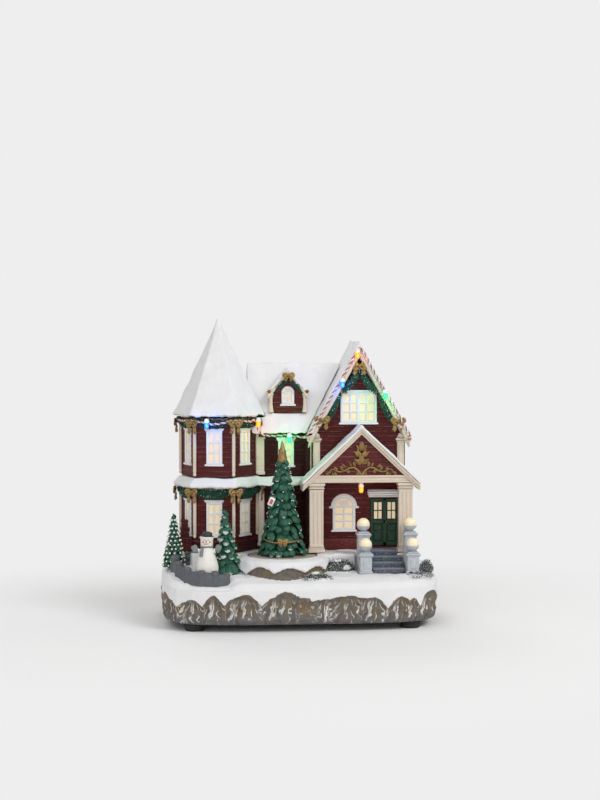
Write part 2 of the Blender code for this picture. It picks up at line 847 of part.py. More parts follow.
def slide_switch():
    """The switch body on the plate, and the knob whose stem slides in the plate's slot."""
    stem = SWITCH_STEM / 2
    half_x, half_y, high = SWITCH_BODY[0] / 2, SWITCH_BODY[1] / 2, SWITCH_BODY[2]
    low = PLATE_TOP + GAP
    room = stem + GAP
    body = box(
        "switch_body",
        (SWITCH_X - half_x, SWITCH_X + half_x),
        (SWITCH_Y - half_y, SWITCH_Y + half_y),
        (low, low + high),
    )
    reach = 0.002
    body = cut(body, box("track", (SWITCH_X - room - SWITCH_TRAVEL / 2, SWITCH_X + room + SWITCH_TRAVEL / 2),
                         (SWITCH_Y - room, SWITCH_Y + room), (low - 0.001, low + reach + GAP)))
    paint(body, (0.25, 0.26, 0.28), 0.4, 0.6)
    start = SWITCH_X - SWITCH_TRAVEL / 2
    cap_top = PLATE_BOTTOM - GAP
    knob = box(
        "switch_knob",
        (start - stem, start + stem),
        (SWITCH_Y - stem, SWITCH_Y + stem),
        (cap_top - 0.0006, low + reach),
    )
    knob = join(
        knob,
        box(
            "cap",
            (start - 0.0035, start + 0.0035),
            (SWITCH_Y - 0.0026, SWITCH_Y + 0.0026),
            (cap_top - 0.0018, cap_top),
        ),
        box(
            "ridge",
            (start - 0.0006, start + 0.0006),
            (SWITCH_Y - 0.0022, SWITCH_Y + 0.0022),
            (cap_top - 0.0026, cap_top - 0.001),
        ),
    )
    set_origin(knob, (start, SWITCH_Y, cap_top))
    paint(knob, (0.75, 0.75, 0.73), 0.5)


def circuit_board():
    """The lamp board on its standoffs, with a warm lamp, a chip and a capacitor."""
    low = PLATE_TOP + BOARD_STANDOFF + GAP
    half_x, half_y, thick = BOARD_SIZE[0] / 2, BOARD_SIZE[1] / 2, BOARD_SIZE[2]
    top = low + thick
    board = box(
        "circuit_board",
        (BOARD_X - half_x, BOARD_X + half_x),
        (BOARD_Y - half_y, BOARD_Y + half_y),
        (low, top),
    )
    board = join(
        board,
        turned(
            "lamp",
            (BOARD_X - 0.008, BOARD_Y),
            [
                (0.003, top - BITE),
                (0.003, top + 0.001),
                (0.0025, top + 0.0012),
                (0.0025, top + 0.005),
                (0.0016, top + 0.0068),
                (0, top + 0.0074),
            ],
            10,
        ),
        box(
            "chip",
            (BOARD_X + 0.002, BOARD_X + 0.010),
            (BOARD_Y - 0.006, BOARD_Y - 0.001),
            (top - BITE, top + 0.0016),
        ),
        turned(
            "capacitor",
            (BOARD_X + 0.010, BOARD_Y + 0.005),
            [(0.0025, top - BITE), (0.0025, top + 0.006)],
            10,
        ),
    )
    paint(board, (0.05, 0.25, 0.12), 0.5)


def gear_outline(centre, teeth, phase):
    """A spur gear's outline with straight flanks that follow the involute at root, pitch and tip."""
    pressure = math.radians(20)
    pitch = GEAR_MODULE * teeth / 2
    root = pitch - 1.2 * GEAR_MODULE
    tip = pitch + 0.9 * GEAR_MODULE
    base = pitch * math.cos(pressure)
    half_tooth = math.pi / (2 * teeth) - GEAR_BACKLASH / (2 * pitch)

    def half_angle(radius):
        at = max(radius, base)
        roll = math.acos(base / at)
        return half_tooth + (math.tan(pressure) - pressure) - (math.tan(roll) - roll)

    points = []
    for tooth in range(teeth):
        middle = phase + 2 * math.pi * tooth / teeth
        for radius, sign in ((root, -1), (pitch, -1), (tip, -1), (tip, 1), (pitch, 1), (root, 1)):
            angle = middle + sign * half_angle(radius)
            points.append((centre[0] + radius * math.cos(angle), centre[1] + radius * math.sin(angle)))
    return points


def drive():
    """Gear motor, pinion, tree gear and spindle under the mound."""
    seat = PLATE_TOP + GAP
    joint = GEARBOX_TOP - GEARBOX_HEIGHT
    motor = turned("gear_motor", (MOTOR_X, TREE_Y), [
        (MOTOR_RADIUS - 0.001, seat),
        (MOTOR_RADIUS, seat + 0.001),
        (MOTOR_RADIUS, joint),
        (GEARBOX_RADIUS, joint + 0.0004),
        (GEARBOX_RADIUS, GEARBOX_TOP - 0.0006),
        (GEARBOX_RADIUS - 0.0006, GEARBOX_TOP),
    ], 20)
    socket = 0.006
    motor = cut(
        motor,
        turned(
            "socket",
            (MOTOR_X, TREE_Y),
            [(SHAFT_ROOM, GEARBOX_TOP - socket), (SHAFT_ROOM, GEARBOX_TOP + 0.001)],
            12,
        ),
    )
    paint(smooth(motor), (0.55, 0.56, 0.58), 0.35, 0.9)

    pinion = prism("output_pinion", gear_outline((MOTOR_X, TREE_Y), PINION_TEETH, 0.0), GEAR_BOTTOM, GEAR_TOP)
    pinion = join(
        pinion,
        turned(
            "shaft",
            (MOTOR_X, TREE_Y),
            [(SPINDLE_RADIUS, GEARBOX_TOP - socket + GAP), (SPINDLE_RADIUS, GEAR_TOP + 0.001)],
            12,
        ),
    )
    set_origin(pinion, (MOTOR_X, TREE_Y, GEAR_BOTTOM))
    paint(pinion, (0.85, 0.83, 0.76), 0.5)

    gear = prism(
        "tree_gear", gear_outline((TREE_X, TREE_Y), TREE_TEETH, math.pi / TREE_TEETH), GEAR_BOTTOM, GEAR_TOP
    )
    gear = join(
        gear,
        turned("hub", (TREE_X, TREE_Y), [(0.004, GEAR_BOTTOM - 0.0015), (0.004, MOUND_CEILING - GAP)], 16),
    )
    gear = cut(
        gear,
        turned(
            "bore",
            (TREE_X, TREE_Y),
            [(SHAFT_ROOM, GEAR_BOTTOM - 0.003), (SHAFT_ROOM, MOUND_CEILING + 0.001)],
            12,
        ),
    )
    set_origin(gear, (TREE_X, TREE_Y, GEAR_BOTTOM))
    paint(gear, (0.85, 0.83, 0.76), 0.5)

    spindle = turned("tree_spindle", (TREE_X, TREE_Y), [
        (SPINDLE_RADIUS - 0.0004, PIVOT_TOP - PIVOT_DEPTH + GAP),
        (SPINDLE_RADIUS, PIVOT_TOP - PIVOT_DEPTH + GAP + 0.0005),
        (SPINDLE_RADIUS, TREE_BOTTOM + SPINDLE_REACH),
    ], 12)
    set_origin(spindle, (TREE_X, TREE_Y, TREE_FLOOR))
    paint(smooth(spindle), (0.7, 0.7, 0.72), 0.3, 1.0)


def tiers(bottom, radius, height, count, tip=0.0, droop=0.55):
    """A fir tree's outline: tiers whose skirts hang over the ones below."""
    profile = [(radius * 0.45, bottom)]
    for k in range(count):
        low = bottom + height * k / count
        wide = radius * (1 - k / count) ** 0.9
        narrow = radius * (1 - (k + 1) / count) ** 0.9 * droop + radius * 0.06
        profile.append((wide, low + height * 0.035))
        profile.append((narrow, low + height / count))
    profile[-1] = (tip, bottom + height)
    return profile


def turning_tree():
    """The snow disc in the mound's recess, the fir tree on it and the tree's gold top."""
    disc = turned("turntable_disc", (TREE_X, TREE_Y), [
        (RECESS_RADIUS - GAP, TREE_FLOOR + GAP),
        (RECESS_RADIUS - GAP, DISC_TOP - 0.0004),
        (RECESS_RADIUS - GAP - 0.0006, DISC_TOP),
    ], 32)
    disc = cut(
        disc,
        turned(
            "bore", (TREE_X, TREE_Y), [(SHAFT_ROOM, TREE_FLOOR - 0.001), (SHAFT_ROOM, DISC_TOP + 0.001)], 12
        ),
    )
    set_origin(disc, (TREE_X, TREE_Y, TREE_FLOOR))
    paint(disc, (0.90, 0.92, 0.94), 0.6)

    profile = tiers(TREE_BOTTOM, TREE_RADIUS, TREE_HEIGHT, TREE_TIERS, tip=0.0016)
    tree = turned("tree_body", (TREE_X, TREE_Y), profile, 14)
    tree = cut(
        tree,
        turned(
            "bore",
            (TREE_X, TREE_Y),
            [(SHAFT_ROOM, TREE_BOTTOM - 0.001), (SHAFT_ROOM, TREE_BOTTOM + SPINDLE_REACH + GAP)],
            12,
        ),
    )
    set_origin(tree, (TREE_X, TREE_Y, TREE_BOTTOM))
    paint(tree, (0.02, 0.16, 0.10), 0.6)

    low = TREE_BOTTOM + TREE_HEIGHT + GAP
    topper = turned("tree_topper", (TREE_X, TREE_Y), [
        (0.0016, low),
        (TOPPER_RADIUS * 0.6, low + TOPPER_HEIGHT * 0.10),
        (TOPPER_RADIUS, low + TOPPER_HEIGHT * 0.35),
        (TOPPER_RADIUS * 0.55, low + TOPPER_HEIGHT * 0.62),
        (TOPPER_RADIUS * 0.75, low + TOPPER_HEIGHT * 0.74),
        (0, low + TOPPER_HEIGHT),
    ], 10)
    set_origin(topper, (TREE_X, TREE_Y, low))
    paint(smooth(topper), (0.55, 0.40, 0.10), 0.4, 0.6)


def tower_face(index, offset=0.0):
    """Middle of a tower face at wall level, and the direction it looks in. Face 0 looks to the front."""
    angle = TOWER_FIRST_CORNER + math.pi / 6 + index * math.pi / 3
    reach = TOWER_RADIUS * APOTHEM + offset
    return (TOWER_X + reach * math.cos(angle), TOWER_Y + reach * math.sin(angle)), angle


WINDOW_FACES = range(-2, 2)


def tower_holes(low):
    """Window openings through the tower's wall."""
    holes = []
    for index in WINDOW_FACES:
        middle, angle = tower_face(index, -TOWER_WALL / 2)
        half = TOWER_WINDOW[0] / 2
        hole = box(
            "hole",
            (middle[0] - half, middle[0] + half),
            (middle[1] - TOWER_WALL, middle[1] + TOWER_WALL),
            (low, low + TOWER_WINDOW[1]),
        )
        holes.append(turn_about_z(hole, middle, angle + math.pi / 2))
    return holes


def tower_walls():
    """Lower and upper wall of the tower, with window openings."""
    lower = tower_prism("tower_lower_wall", TOWER_RADIUS, FLOOR, TOWER_SPLIT)
    plinth = FLOOR + PLINTH_HEIGHT
    lower = join(
        lower,
        tower_prism("plinth", TOWER_RADIUS + PLINTH_STEP, FLOOR + 0.0001, plinth),
        tower_prism("ledge", TOWER_RADIUS + PLINTH_STEP + 0.0008, plinth - 0.0004, plinth + 0.0012),
    )
    lower = cut(
        lower,
        tower_prism("room", TOWER_RADIUS - TOWER_WALL / APOTHEM, FLOOR - 0.001, TOWER_SPLIT + 0.001),
        *tower_holes(TOWER_WINDOW_LOW),
    )
    paint(lower, (0.16, 0.03, 0.035), 0.55)
    upper = tower_prism("tower_upper_wall", TOWER_RADIUS, UPPER_FLOOR, TOWER_TOP)
    upper = cut(
        upper,
        tower_prism("room", TOWER_RADIUS - TOWER_WALL / APOTHEM, UPPER_FLOOR - 0.001, TOWER_TOP + 0.001),
        *tower_holes(TOWER_WINDOW_HIGH),
    )
    paint(upper, (0.16, 0.03, 0.035), 0.55)


def tower_post(corner, low, high, grow=0.0):
    """A post that stands against one of the tower's corners."""
    angle = TOWER_FIRST_CORNER + corner * math.pi / 3
    near = TOWER_X + TOWER_RADIUS + GAP - 4 * grow
    far = TOWER_X + TOWER_RADIUS + GAP + POST_DEPTH + grow
    half = POST_WIDTH / 2 + grow
    post = box("post", (near, far), (TOWER_Y - half, TOWER_Y + half), (low - grow, high + grow))
    return turn_about_z(post, (TOWER_X, TOWER_Y), angle)


POST_CORNERS = range(-2, 3)


def tower_frieze(name, low, high):
    """A flat band round the tower's free faces, which ties its posts together."""
    points = []
    for radius in (TOWER_RADIUS + GAP / APOTHEM, TOWER_RADIUS + (GAP + FRIEZE_DEPTH) / APOTHEM):
        ring = circle((TOWER_X, TOWER_Y), radius, 6, TOWER_FIRST_CORNER)
        row = [ring[corner % 6] for corner in POST_CORNERS]
        points.extend(row if not points else reversed(row))
    return prism(name, points, low, high)


def tower_trims():
    """Cream posts and friezes of the tower's two storeys."""
    for name, low, high in (
        ("tower_lower_trim", FLOOR + PLINTH_HEIGHT + 0.0012 + GAP, TOWER_SPLIT),
        ("tower_upper_trim", UPPER_FLOOR, TOWER_TOP),
    ):
        frieze = tower_frieze(name, high - FRIEZE_HEIGHT, high - 0.0001)
        trim = join(frieze, *[tower_post(corner, low, high) for corner in POST_CORNERS])
        paint(trim, (0.82, 0.76, 0.62), 0.5)


def tower_windows():
    """A pale sleeve inside each storey, whose framed windows fill the wall's openings."""
    sleeve_radius = TOWER_RADIUS - (TOWER_WALL + GAP) / APOTHEM
    width, height = TOWER_WINDOW
    for name, low, floor, top in (
        ("tower_lower_windows", TOWER_WINDOW_LOW, FLOOR + GAP, TOWER_SPLIT - GAP),
        ("tower_upper_windows", TOWER_WINDOW_HIGH, UPPER_FLOOR + GAP, TOWER_TOP - GAP),
    ):
        sleeve = tower_prism(name, sleeve_radius, floor, top)
        plugs = []
        panes = []
        for index in WINDOW_FACES:
            middle, angle = tower_face(index, FRAME_PROUD)
            plug = box(
                "plug",
                (middle[0] - width / 2 + GAP, middle[0] + width / 2 - GAP),
                (middle[1], middle[1] + FRAME_PROUD + TOWER_WALL + 0.001),
                (low + GAP, low + height - GAP),
            )
            plugs.append(turn_about_z(plug, middle, angle + math.pi / 2))
            for limits_x, limits_z in pane_grid(
                middle[0], low + GAP, width - 2 * GAP, height - 2 * GAP, TALL_PANES
            ):
                pane = box("pane", limits_x, (middle[1] - 0.001, middle[1] + PANE_DEPTH), limits_z)
                panes.append(turn_about_z(pane, middle, angle + math.pi / 2))
        sleeve = join(sleeve, *plugs)
        sleeve = cut(
            sleeve,
            tower_prism("room", sleeve_radius - SLEEVE_WALL / APOTHEM, floor - 0.001, top + 0.001),
            *panes,
        )
        paint(sleeve, (0.95, 0.80, 0.50), 0.4)


def centre_mass(name, grow):
    """The space that the centre block fills, for cutting its neighbours."""
    return box(
        name,
        (CENTRE_LEFT - grow, CENTRE_RIGHT + grow),
        (CENTRE_FRONT - grow, CENTRE_BACK + grow),
        (FLOOR - 0.002, EAVE_HEIGHT + 0.01),
    )


def tower_skirt_roof():
    """The snowy skirt between the tower's storeys, which runs on as a shelf to the porch roof."""
    low = SKIRT_BOTTOM
    skirt = loft("tower_skirt_roof", [
        tower_ring(SKIRT_RADIUS - 0.0008, low),
        tower_ring(SKIRT_RADIUS, low + SKIRT_EDGE * 0.5),
        tower_ring(SKIRT_RADIUS - 0.0006, low + SKIRT_EDGE),
        tower_ring(TOWER_RADIUS + 0.0022, SKIRT_TOP),
    ])
    front = CENTRE_FRONT - SKIRT_SHELF
    shelf = prism("shelf", [
        (front, low + 0.0004),
        (CENTRE_FRONT - GAP, low + 0.0004),
        (CENTRE_FRONT - GAP, SKIRT_TOP - 0.0004),
        (front + 0.0012, low + SKIRT_EDGE + 0.0008),
    ], TOWER_X + TOWER_RADIUS * 0.8, CENTRE_RIGHT, "X")
    skirt = join(skirt, shelf)
    skirt = cut(
        skirt,
        centre_mass("wall_room", GAP),
        tower_prism("light_well", TOWER_RADIUS - 0.008, low - 0.001, SKIRT_TOP + 0.001),
    )
    paint(skirt, (0.88, 0.90, 0.92), 0.6)


def spire_shape(name, grow=0.0):
    """The spire's outer shape, grown when it is used to clear its neighbours."""
    return loft(name, [
        tower_ring(SPIRE_RADIUS - 0.0010 + grow, SPIRE_BOTTOM - grow),
        tower_ring(SPIRE_RADIUS + grow, SPIRE_BOTTOM + SPIRE_EDGE * 0.4),
        tower_ring(SPIRE_RADIUS - 0.0010 + grow, SPIRE_BOTTOM + SPIRE_EDGE),
        [Vector((TOWER_X, TOWER_Y, SPIRE_TOP + 3 * grow))],
    ])


def tower_spire():
    """The hollow six-sided spire under snow."""
    spire = spire_shape("tower_spire")
    inner = TOWER_RADIUS - TOWER_WALL
    slope = (SPIRE_TOP - SPIRE_BOTTOM) / SPIRE_RADIUS
    hollow = loft("hollow", [
        tower_ring(inner, SPIRE_BOTTOM - 0.001),
        [Vector((TOWER_X, TOWER_Y, SPIRE_BOTTOM + inner * slope * 0.86))],
    ])
    paint(cut(spire, hollow), (0.90, 0.92, 0.94), 0.6)


def pane_grid(centre, low, width, height, layout):
    """X and Z limits of each pane inside a frame."""
    columns, rows = layout
    cell_x = (width - 2 * FRAME_WIDTH - (len(columns) - 1) * BAR_WIDTH) / len(columns)
    cell_z = (height - 2 * FRAME_WIDTH - (len(rows) - 1) * BAR_WIDTH) / len(rows)
    panes = []
    for column in columns:
        for row in rows:
            x = centre - width / 2 + FRAME_WIDTH + column * (cell_x + BAR_WIDTH)
            z = low + FRAME_WIDTH + row * (cell_z + BAR_WIDTH)
            panes.append(((x, x + cell_x), (z, z + cell_z)))
    return panes


def window_outline(centre, low, width, height, arched, shrink=0.0):
    """A window's outside shape in XZ, with a half-round head when it is arched."""
    half = width / 2 - shrink
    if not arched:
        return [(centre - half, low + shrink), (centre + half, low + shrink),
                (centre + half, low + height - shrink), (centre - half, low + height - shrink)]
    spring = low + height - width / 2
    outline = [(centre - half, low + shrink), (centre + half, low + shrink)]
    for k in range(9):
        angle = math.pi * k / 8
        outline.append((centre + half * math.cos(angle), spring + half * math.sin(angle)))
    return outline


def window_insert(name, centre, low, size, layout, wall_y, arched=False):
    """A window set into a wall that looks towards -Y: a frame with bars and sunk panes."""
    width, height = size
    front = wall_y - FRAME_PROUD
    insert = prism(
        name, window_outline(centre, low, width, height, arched, GAP), front, wall_y + INSERT_DEPTH, "Y"
    )
    square = height - width / 2 if arched else height
    panes = pane_grid(centre, low + GAP, width - 2 * GAP, square - GAP, layout)
    tools = [
        box("pane", limits_x, (front - 0.001, front + PANE_DEPTH), limits_z)
        for limits_x, limits_z in panes
    ]
    if arched:
        fan = width / 2 - FRAME_WIDTH - GAP
        spring = low + square
        outline = [
            (centre + fan * math.cos(math.pi * k / 8), spring + fan * math.sin(math.pi * k / 8))
            for k in range(9)
        ]
        tools.append(prism("fan", outline, front - 0.001, front + PANE_DEPTH, "Y"))
    paint(cut(insert, *tools), (0.95, 0.84, 0.60), 0.4)


def window_hole(centre, low, size, wall_y, arched=False):
    """The opening that a window fills."""
    width, height = size[0], size[1]
    return prism(
        "hole",
        window_outline(centre, low, width, height, arched),
        wall_y - 0.002,
        wall_y + WALL + 0.002,
        "Y",
    )


def wing_peak():
    """Height of the point where the wing's walls meet under its roof."""
    return WING_RIDGE - upright(ROOF_THICKNESS + GAP, WING_SLOPE)


def wing_walls():
    """The wing's four walls with both gables, corner posts and openings."""
    peak = wing_peak()
    wall = gabled("wing_wall", WING_X, WING_HALF, FLOOR, peak, WING_SLOPE, WING_FRONT, WING_BACK, "Y")
    plinth = FLOOR + PLINTH_HEIGHT
    post_w, post_d = CORNER_POST
    tools = [
        box(
            "plinth",
            (WING_X - WING_HALF - 0.0008, WING_X + WING_HALF + 0.0008),
            (WING_FRONT - 0.0008, WING_BACK + 0.0008),
            (FLOOR + 0.0001, plinth),
        )
    ]
    post_top = peak - WING_HALF * WING_SLOPE - 0.004
    for side in (-1, 1):
        edge = WING_X + side * WING_HALF
        limits = sorted((edge + side * post_d * 0.5, edge - side * post_w))
        tools.append(
            box(
                "corner", limits, (WING_FRONT - post_d, WING_FRONT + post_w), (PORCH_EAVE + 0.006, post_top)
            )
        )
    wall = join(wall, *tools)
    room = gabled(
        "room",
        WING_X,
        WING_HALF - WALL,
        FLOOR - 0.002,
        peak + 0.006,
        WING_SLOPE,
        WING_FRONT + WALL,
        WING_BACK - WALL,
        "Y",
    )
    half_door = DOOR_WIDTH / 2 + GAP
    wall = cut(
        wall,
        room,
        window_hole(WING_X, GABLE_WINDOW_LOW, GABLE_WINDOW, WING_FRONT),
        window_hole(PORCH_WINDOW_X, PORCH_WINDOW_LOW, PORCH_WINDOW, WING_FRONT, True),
        box(
            "doorway",
            (DOOR_X - half_door, DOOR_X + half_door),
            (WING_FRONT - 0.004, WING_FRONT + WALL + 0.002),
            (DOOR_BOTTOM - GAP, DOOR_TOP + GAP),
        ),
        centre_corner_room(),
    )
    paint(wall, (0.16, 0.03, 0.035), 0.55)
    window_insert("gable_window", WING_X, GABLE_WINDOW_LOW, GABLE_WINDOW, GABLE_PANES, WING_FRONT)
    window_insert(
        "porch_window", PORCH_WINDOW_X, PORCH_WINDOW_LOW, PORCH_WINDOW, TALL_PANES, WING_FRONT, True
    )


def centre_corner_room():
    """Clears the wing's plinth and posts from the wall that meets them at the side."""
    return box(
        "corner_room",
        (CENTRE_LEFT, CENTRE_RIGHT + GAP * 0.9),
        (CENTRE_FRONT - PILASTER_DEPTH - GAP, CENTRE_BACK + GAP),
        (FLOOR - 0.002, EAVE_HEIGHT + 0.01),
    )


def wing_roof():
    """The wing's steep roof, ridge from front to back."""
    roof = chevron(
        "wing_roof",
        WING_X,
        WING_SPAN,
        EAVE_HEIGHT,
        WING_RIDGE,
        ROOF_THICKNESS,
        WING_FRONT - WING_OVERHANG,
        WING_BACK + WING_OVERHANG * 0.5,
        "Y",
    )
    paint(roof, (0.90, 0.92, 0.94), 0.6)


def wing_tent(name, grow):
    """The space under the wing's roof, for cutting what runs into it."""
    return tent(
        name,
        WING_X,
        WING_SPAN,
        EAVE_HEIGHT,
        WING_RIDGE,
        WING_FRONT - WING_OVERHANG,
        WING_BACK + WING_OVERHANG * 0.5,
        "Y",
        grow,
    )


def main_peak():
    """Height of the point where the centre block's gable ends under its roof."""
    return MAIN_RIDGE - upright(ROOF_THICKNESS + GAP, MAIN_SLOPE)


def tower_clearance():
    """Shapes that keep the centre block clear of the tower."""
    return [
        tower_prism("tower_room", TOWER_RADIUS + GAP / APOTHEM, FLOOR - 0.002, SPIRE_BOTTOM + 0.001),
        tower_prism(
            "plinth_room",
            TOWER_RADIUS + PLINTH_STEP + 0.0008 + GAP / APOTHEM,
            FLOOR - 0.003,
            FLOOR + PLINTH_HEIGHT + 0.0012 + GAP,
        ),
        tower_post(2, FLOOR, TOWER_TOP, GAP),
        tower_prism(
            "frieze_room",
            TOWER_RADIUS + (FRIEZE_DEPTH + 2 * GAP) / APOTHEM,
            TOWER_TOP - FRIEZE_HEIGHT - GAP,
            SPIRE_BOTTOM + 0.0012,
        ),
        tower_prism(
            "window_room",
            TOWER_RADIUS + (FRAME_PROUD + GAP) / APOTHEM,
            TOWER_WINDOW_HIGH,
            TOWER_WINDOW_HIGH + TOWER_WINDOW[1],
        ),
        spire_shape("spire_room", GAP / APOTHEM),
    ]


def centre_wall():
    """The centre block's walls between the tower and the wing."""
    peak = main_peak()
    half = (CENTRE_BACK - CENTRE_FRONT) / 2
    wall = gabled("centre_wall", MAIN_Y, half, FLOOR, peak, MAIN_SLOPE, CENTRE_LEFT, CENTRE_RIGHT, "X")
    pilasters = []
    top = EAVE_HEIGHT - 0.004
    for x in (PILASTER_X, CENTRE_RIGHT - PILASTER_WIDTH / 2 - 0.0002):
        limits = (x - PILASTER_WIDTH / 2, x + PILASTER_WIDTH / 2)
        for low, high in ((FLOOR + 0.0001, SKIRT_BOTTOM - GAP), (SKIRT_TOP + GAP, top)):
            pilasters.append(
                box(
                    "pilaster",
                    limits,
                    (CENTRE_FRONT - PILASTER_DEPTH, CENTRE_FRONT + WALL / 2),
                    (low, high),
                )
            )
    wall = join(wall, *pilasters)
    room = gabled(
        "room",
        MAIN_Y,
        half - WALL,
        FLOOR - 0.002,
        peak + 0.004,
        MAIN_SLOPE,
        CENTRE_LEFT + WALL,
        CENTRE_RIGHT + 0.002,
        "X",
    )
    wall = cut(
        wall,
        room,
        window_hole(CENTRE_WINDOW_X, CENTRE_WINDOW_LOW, CENTRE_WINDOW, CENTRE_FRONT),
        wing_tent("wing_room", GAP),
        *tower_clearance(),
    )
    paint(wall, (0.16, 0.03, 0.035), 0.55)
    window_insert(
        "centre_window", CENTRE_WINDOW_X, CENTRE_WINDOW_LOW, CENTRE_WINDOW, TALL_PANES, CENTRE_FRONT
    )


def main_face(y, grow=0.0):
    """Height of the main roof's front slope, lifted square to the slope."""
    return EAVE_HEIGHT + (y - (MAIN_Y - MAIN_SPAN)) * MAIN_SLOPE + upright(grow, MAIN_SLOPE)


def under_main_face(name, grow):
    """The space behind and below the main roof's front slope."""
    front, back = MAIN_Y - MAIN_SPAN - 0.004, MAIN_Y
    outline = [
        (front, main_face(front, grow)),
        (front, EAVE_HEIGHT - 0.02),
        (back, EAVE_HEIGHT - 0.02),
        (back, main_face(back, grow)),
    ]
    return prism(name, outline, DORMER_X - 0.03, DORMER_X + 0.03, "X")


def dormer_peak():
    """Height of the point where the dormer's walls meet under its roof."""
    return DORMER_RIDGE - upright(DORMER_ROOF + GAP, DORMER_SLOPE)


def main_roof():
    """The roof along X, let into the wing's roof and round the tower, open under the dormer."""
    roof = chevron(
        "main_roof",
        MAIN_Y,
        MAIN_SPAN,
        EAVE_HEIGHT,
        MAIN_RIDGE,
        ROOF_THICKNESS,
        CENTRE_LEFT - MAIN_OVERHANG,
        WING_X,
        "X",
    )
    light = gabled(
        "dormer_light",
        DORMER_X,
        DORMER_HALF - DORMER_WALL - 0.001,
        main_face(DORMER_FRONT) + 0.006,
        dormer_peak() - 0.008,
        DORMER_SLOPE,
        DORMER_FRONT,
        MAIN_Y - 0.002,
        "Y",
    )
    roof = cut(roof, wing_tent("wing_room", GAP), light, *tower_clearance())
    paint(roof, (0.90, 0.92, 0.94), 0.6)


def dormer():
    """The dormer's walls, roof and arched window."""
    back = MAIN_Y
    peak = dormer_peak()
    floor = main_face(DORMER_FRONT) - 0.004
    wall = gabled("dormer_wall", DORMER_X, DORMER_HALF, floor, peak, DORMER_SLOPE, DORMER_FRONT, back, "Y")
    room = gabled(
        "room",
        DORMER_X,
        DORMER_HALF - DORMER_WALL,
        floor - 0.002,
        peak - DORMER_WALL,
        DORMER_SLOPE,
        DORMER_FRONT + DORMER_WALL,
        back + 0.002,
        "Y",
    )
    hole = prism(
        "hole",
        window_outline(DORMER_X, DORMER_WINDOW_LOW, DORMER_WINDOW[0], DORMER_WINDOW[1], True),
        DORMER_FRONT - 0.002,
        DORMER_FRONT + DORMER_WALL + 0.001,
        "Y",
    )
    wall = cut(wall, room, hole, under_main_face("roof_room", GAP))
    paint(wall, (0.16, 0.03, 0.035), 0.55)
    roof = chevron(
        "dormer_roof",
        DORMER_X,
        DORMER_SPAN,
        DORMER_EAVE,
        DORMER_RIDGE,
        DORMER_ROOF,
        DORMER_FRONT - DORMER_OVERHANG,
        back,
        "Y",
    )
    roof = cut(roof, under_main_face("roof_room", GAP))
    paint(roof, (0.90, 0.92, 0.94), 0.6)
    window_insert(
        "dormer_window", DORMER_X, DORMER_WINDOW_LOW, DORMER_WINDOW, DORMER_PANES, DORMER_FRONT, True
    )


def porch_peak():
    """Height of the pediment's point under the porch roof."""
    return PORCH_RIDGE - upright(PORCH_ROOF + GAP, PORCH_SLOPE)


def porch():
    """The porch's roof, pediment and two fluted columns."""
    front = PORCH_FRONT - PORCH_OVERHANG
    back = WING_FRONT - GAP
    roof = chevron("porch_roof", PORCH_X, PORCH_SPAN, PORCH_EAVE, PORCH_RIDGE, PORCH_ROOF, front, back, "Y")
    post_w, post_d = CORNER_POST
    roof = cut(
        roof,
        box(
            "post_room",
            (WING_X - WING_HALF - post_d, WING_X + WING_HALF + post_d),
            (WING_FRONT - post_d - GAP, 0.01),
            (PORCH_EAVE - 0.01, PORCH_EAVE + 0.006),
        ),
        box(
            "left_post_room",
            (WING_X - WING_HALF - post_d, WING_X - WING_HALF + post_w + GAP),
            (WING_FRONT - post_d - GAP, 0.01),
            (PORCH_EAVE, PORCH_EAVE + 0.05),
        ),
        box(
            "right_post_room",
            (WING_X + WING_HALF - post_w - GAP, WING_X + WING_HALF + post_d),
            (WING_FRONT - post_d - GAP, 0.01),
            (PORCH_EAVE, PORCH_EAVE + 0.05),
        ),
    )
    paint(roof, (0.90, 0.92, 0.94), 0.6)

    peak = porch_peak()
    half = (peak - PORCH_BEAM) / PORCH_SLOPE
    pediment = prism(
        "porch_pediment",
        [(PORCH_X - half, PORCH_BEAM), (PORCH_X + half, PORCH_BEAM), (PORCH_X, peak)],
        PORCH_FRONT,
        back,
        "Y",
    )
    wall = PEDIMENT_WALL
    rise = upright(wall, PORCH_SLOPE)
    inner = half - (rise + wall) / PORCH_SLOPE
    hollow = prism(
        "hollow",
        [
            (PORCH_X - inner, PORCH_BEAM + wall),
            (PORCH_X + inner, PORCH_BEAM + wall),
            (PORCH_X, peak - rise),
        ],
        PORCH_FRONT + wall,
        back + 0.002,
        "Y",
    )
    sunk_low = PORCH_BEAM + 0.0062
    sunk_half = (peak - 0.0016 - sunk_low) / PORCH_SLOPE - 0.0016
    sunk = prism(
        "tympanum",
        [
            (PORCH_X - sunk_half, sunk_low),
            (PORCH_X + sunk_half, sunk_low),
            (PORCH_X, sunk_low + sunk_half * PORCH_SLOPE),
        ],
        PORCH_FRONT - 0.001,
        PORCH_FRONT + 0.001,
        "Y",
    )
    corner_room = [
        box(
            "corner_room",
            (PORCH_X + side * COLUMN_OFFSET - 0.02, PORCH_X + side * COLUMN_OFFSET + 0.02),
            (back - post_d, back + 0.002),
            (PORCH_BEAM - 0.001, PORCH_BEAM + 0.03),
        )
        for side in (-1, 1)
    ]
    paint(cut(pediment, hollow, sunk, *corner_room), (0.82, 0.76, 0.62), 0.5)

    for name, side in (("left", -1), ("right", 1)):
        column(name, PORCH_X + side * COLUMN_OFFSET)


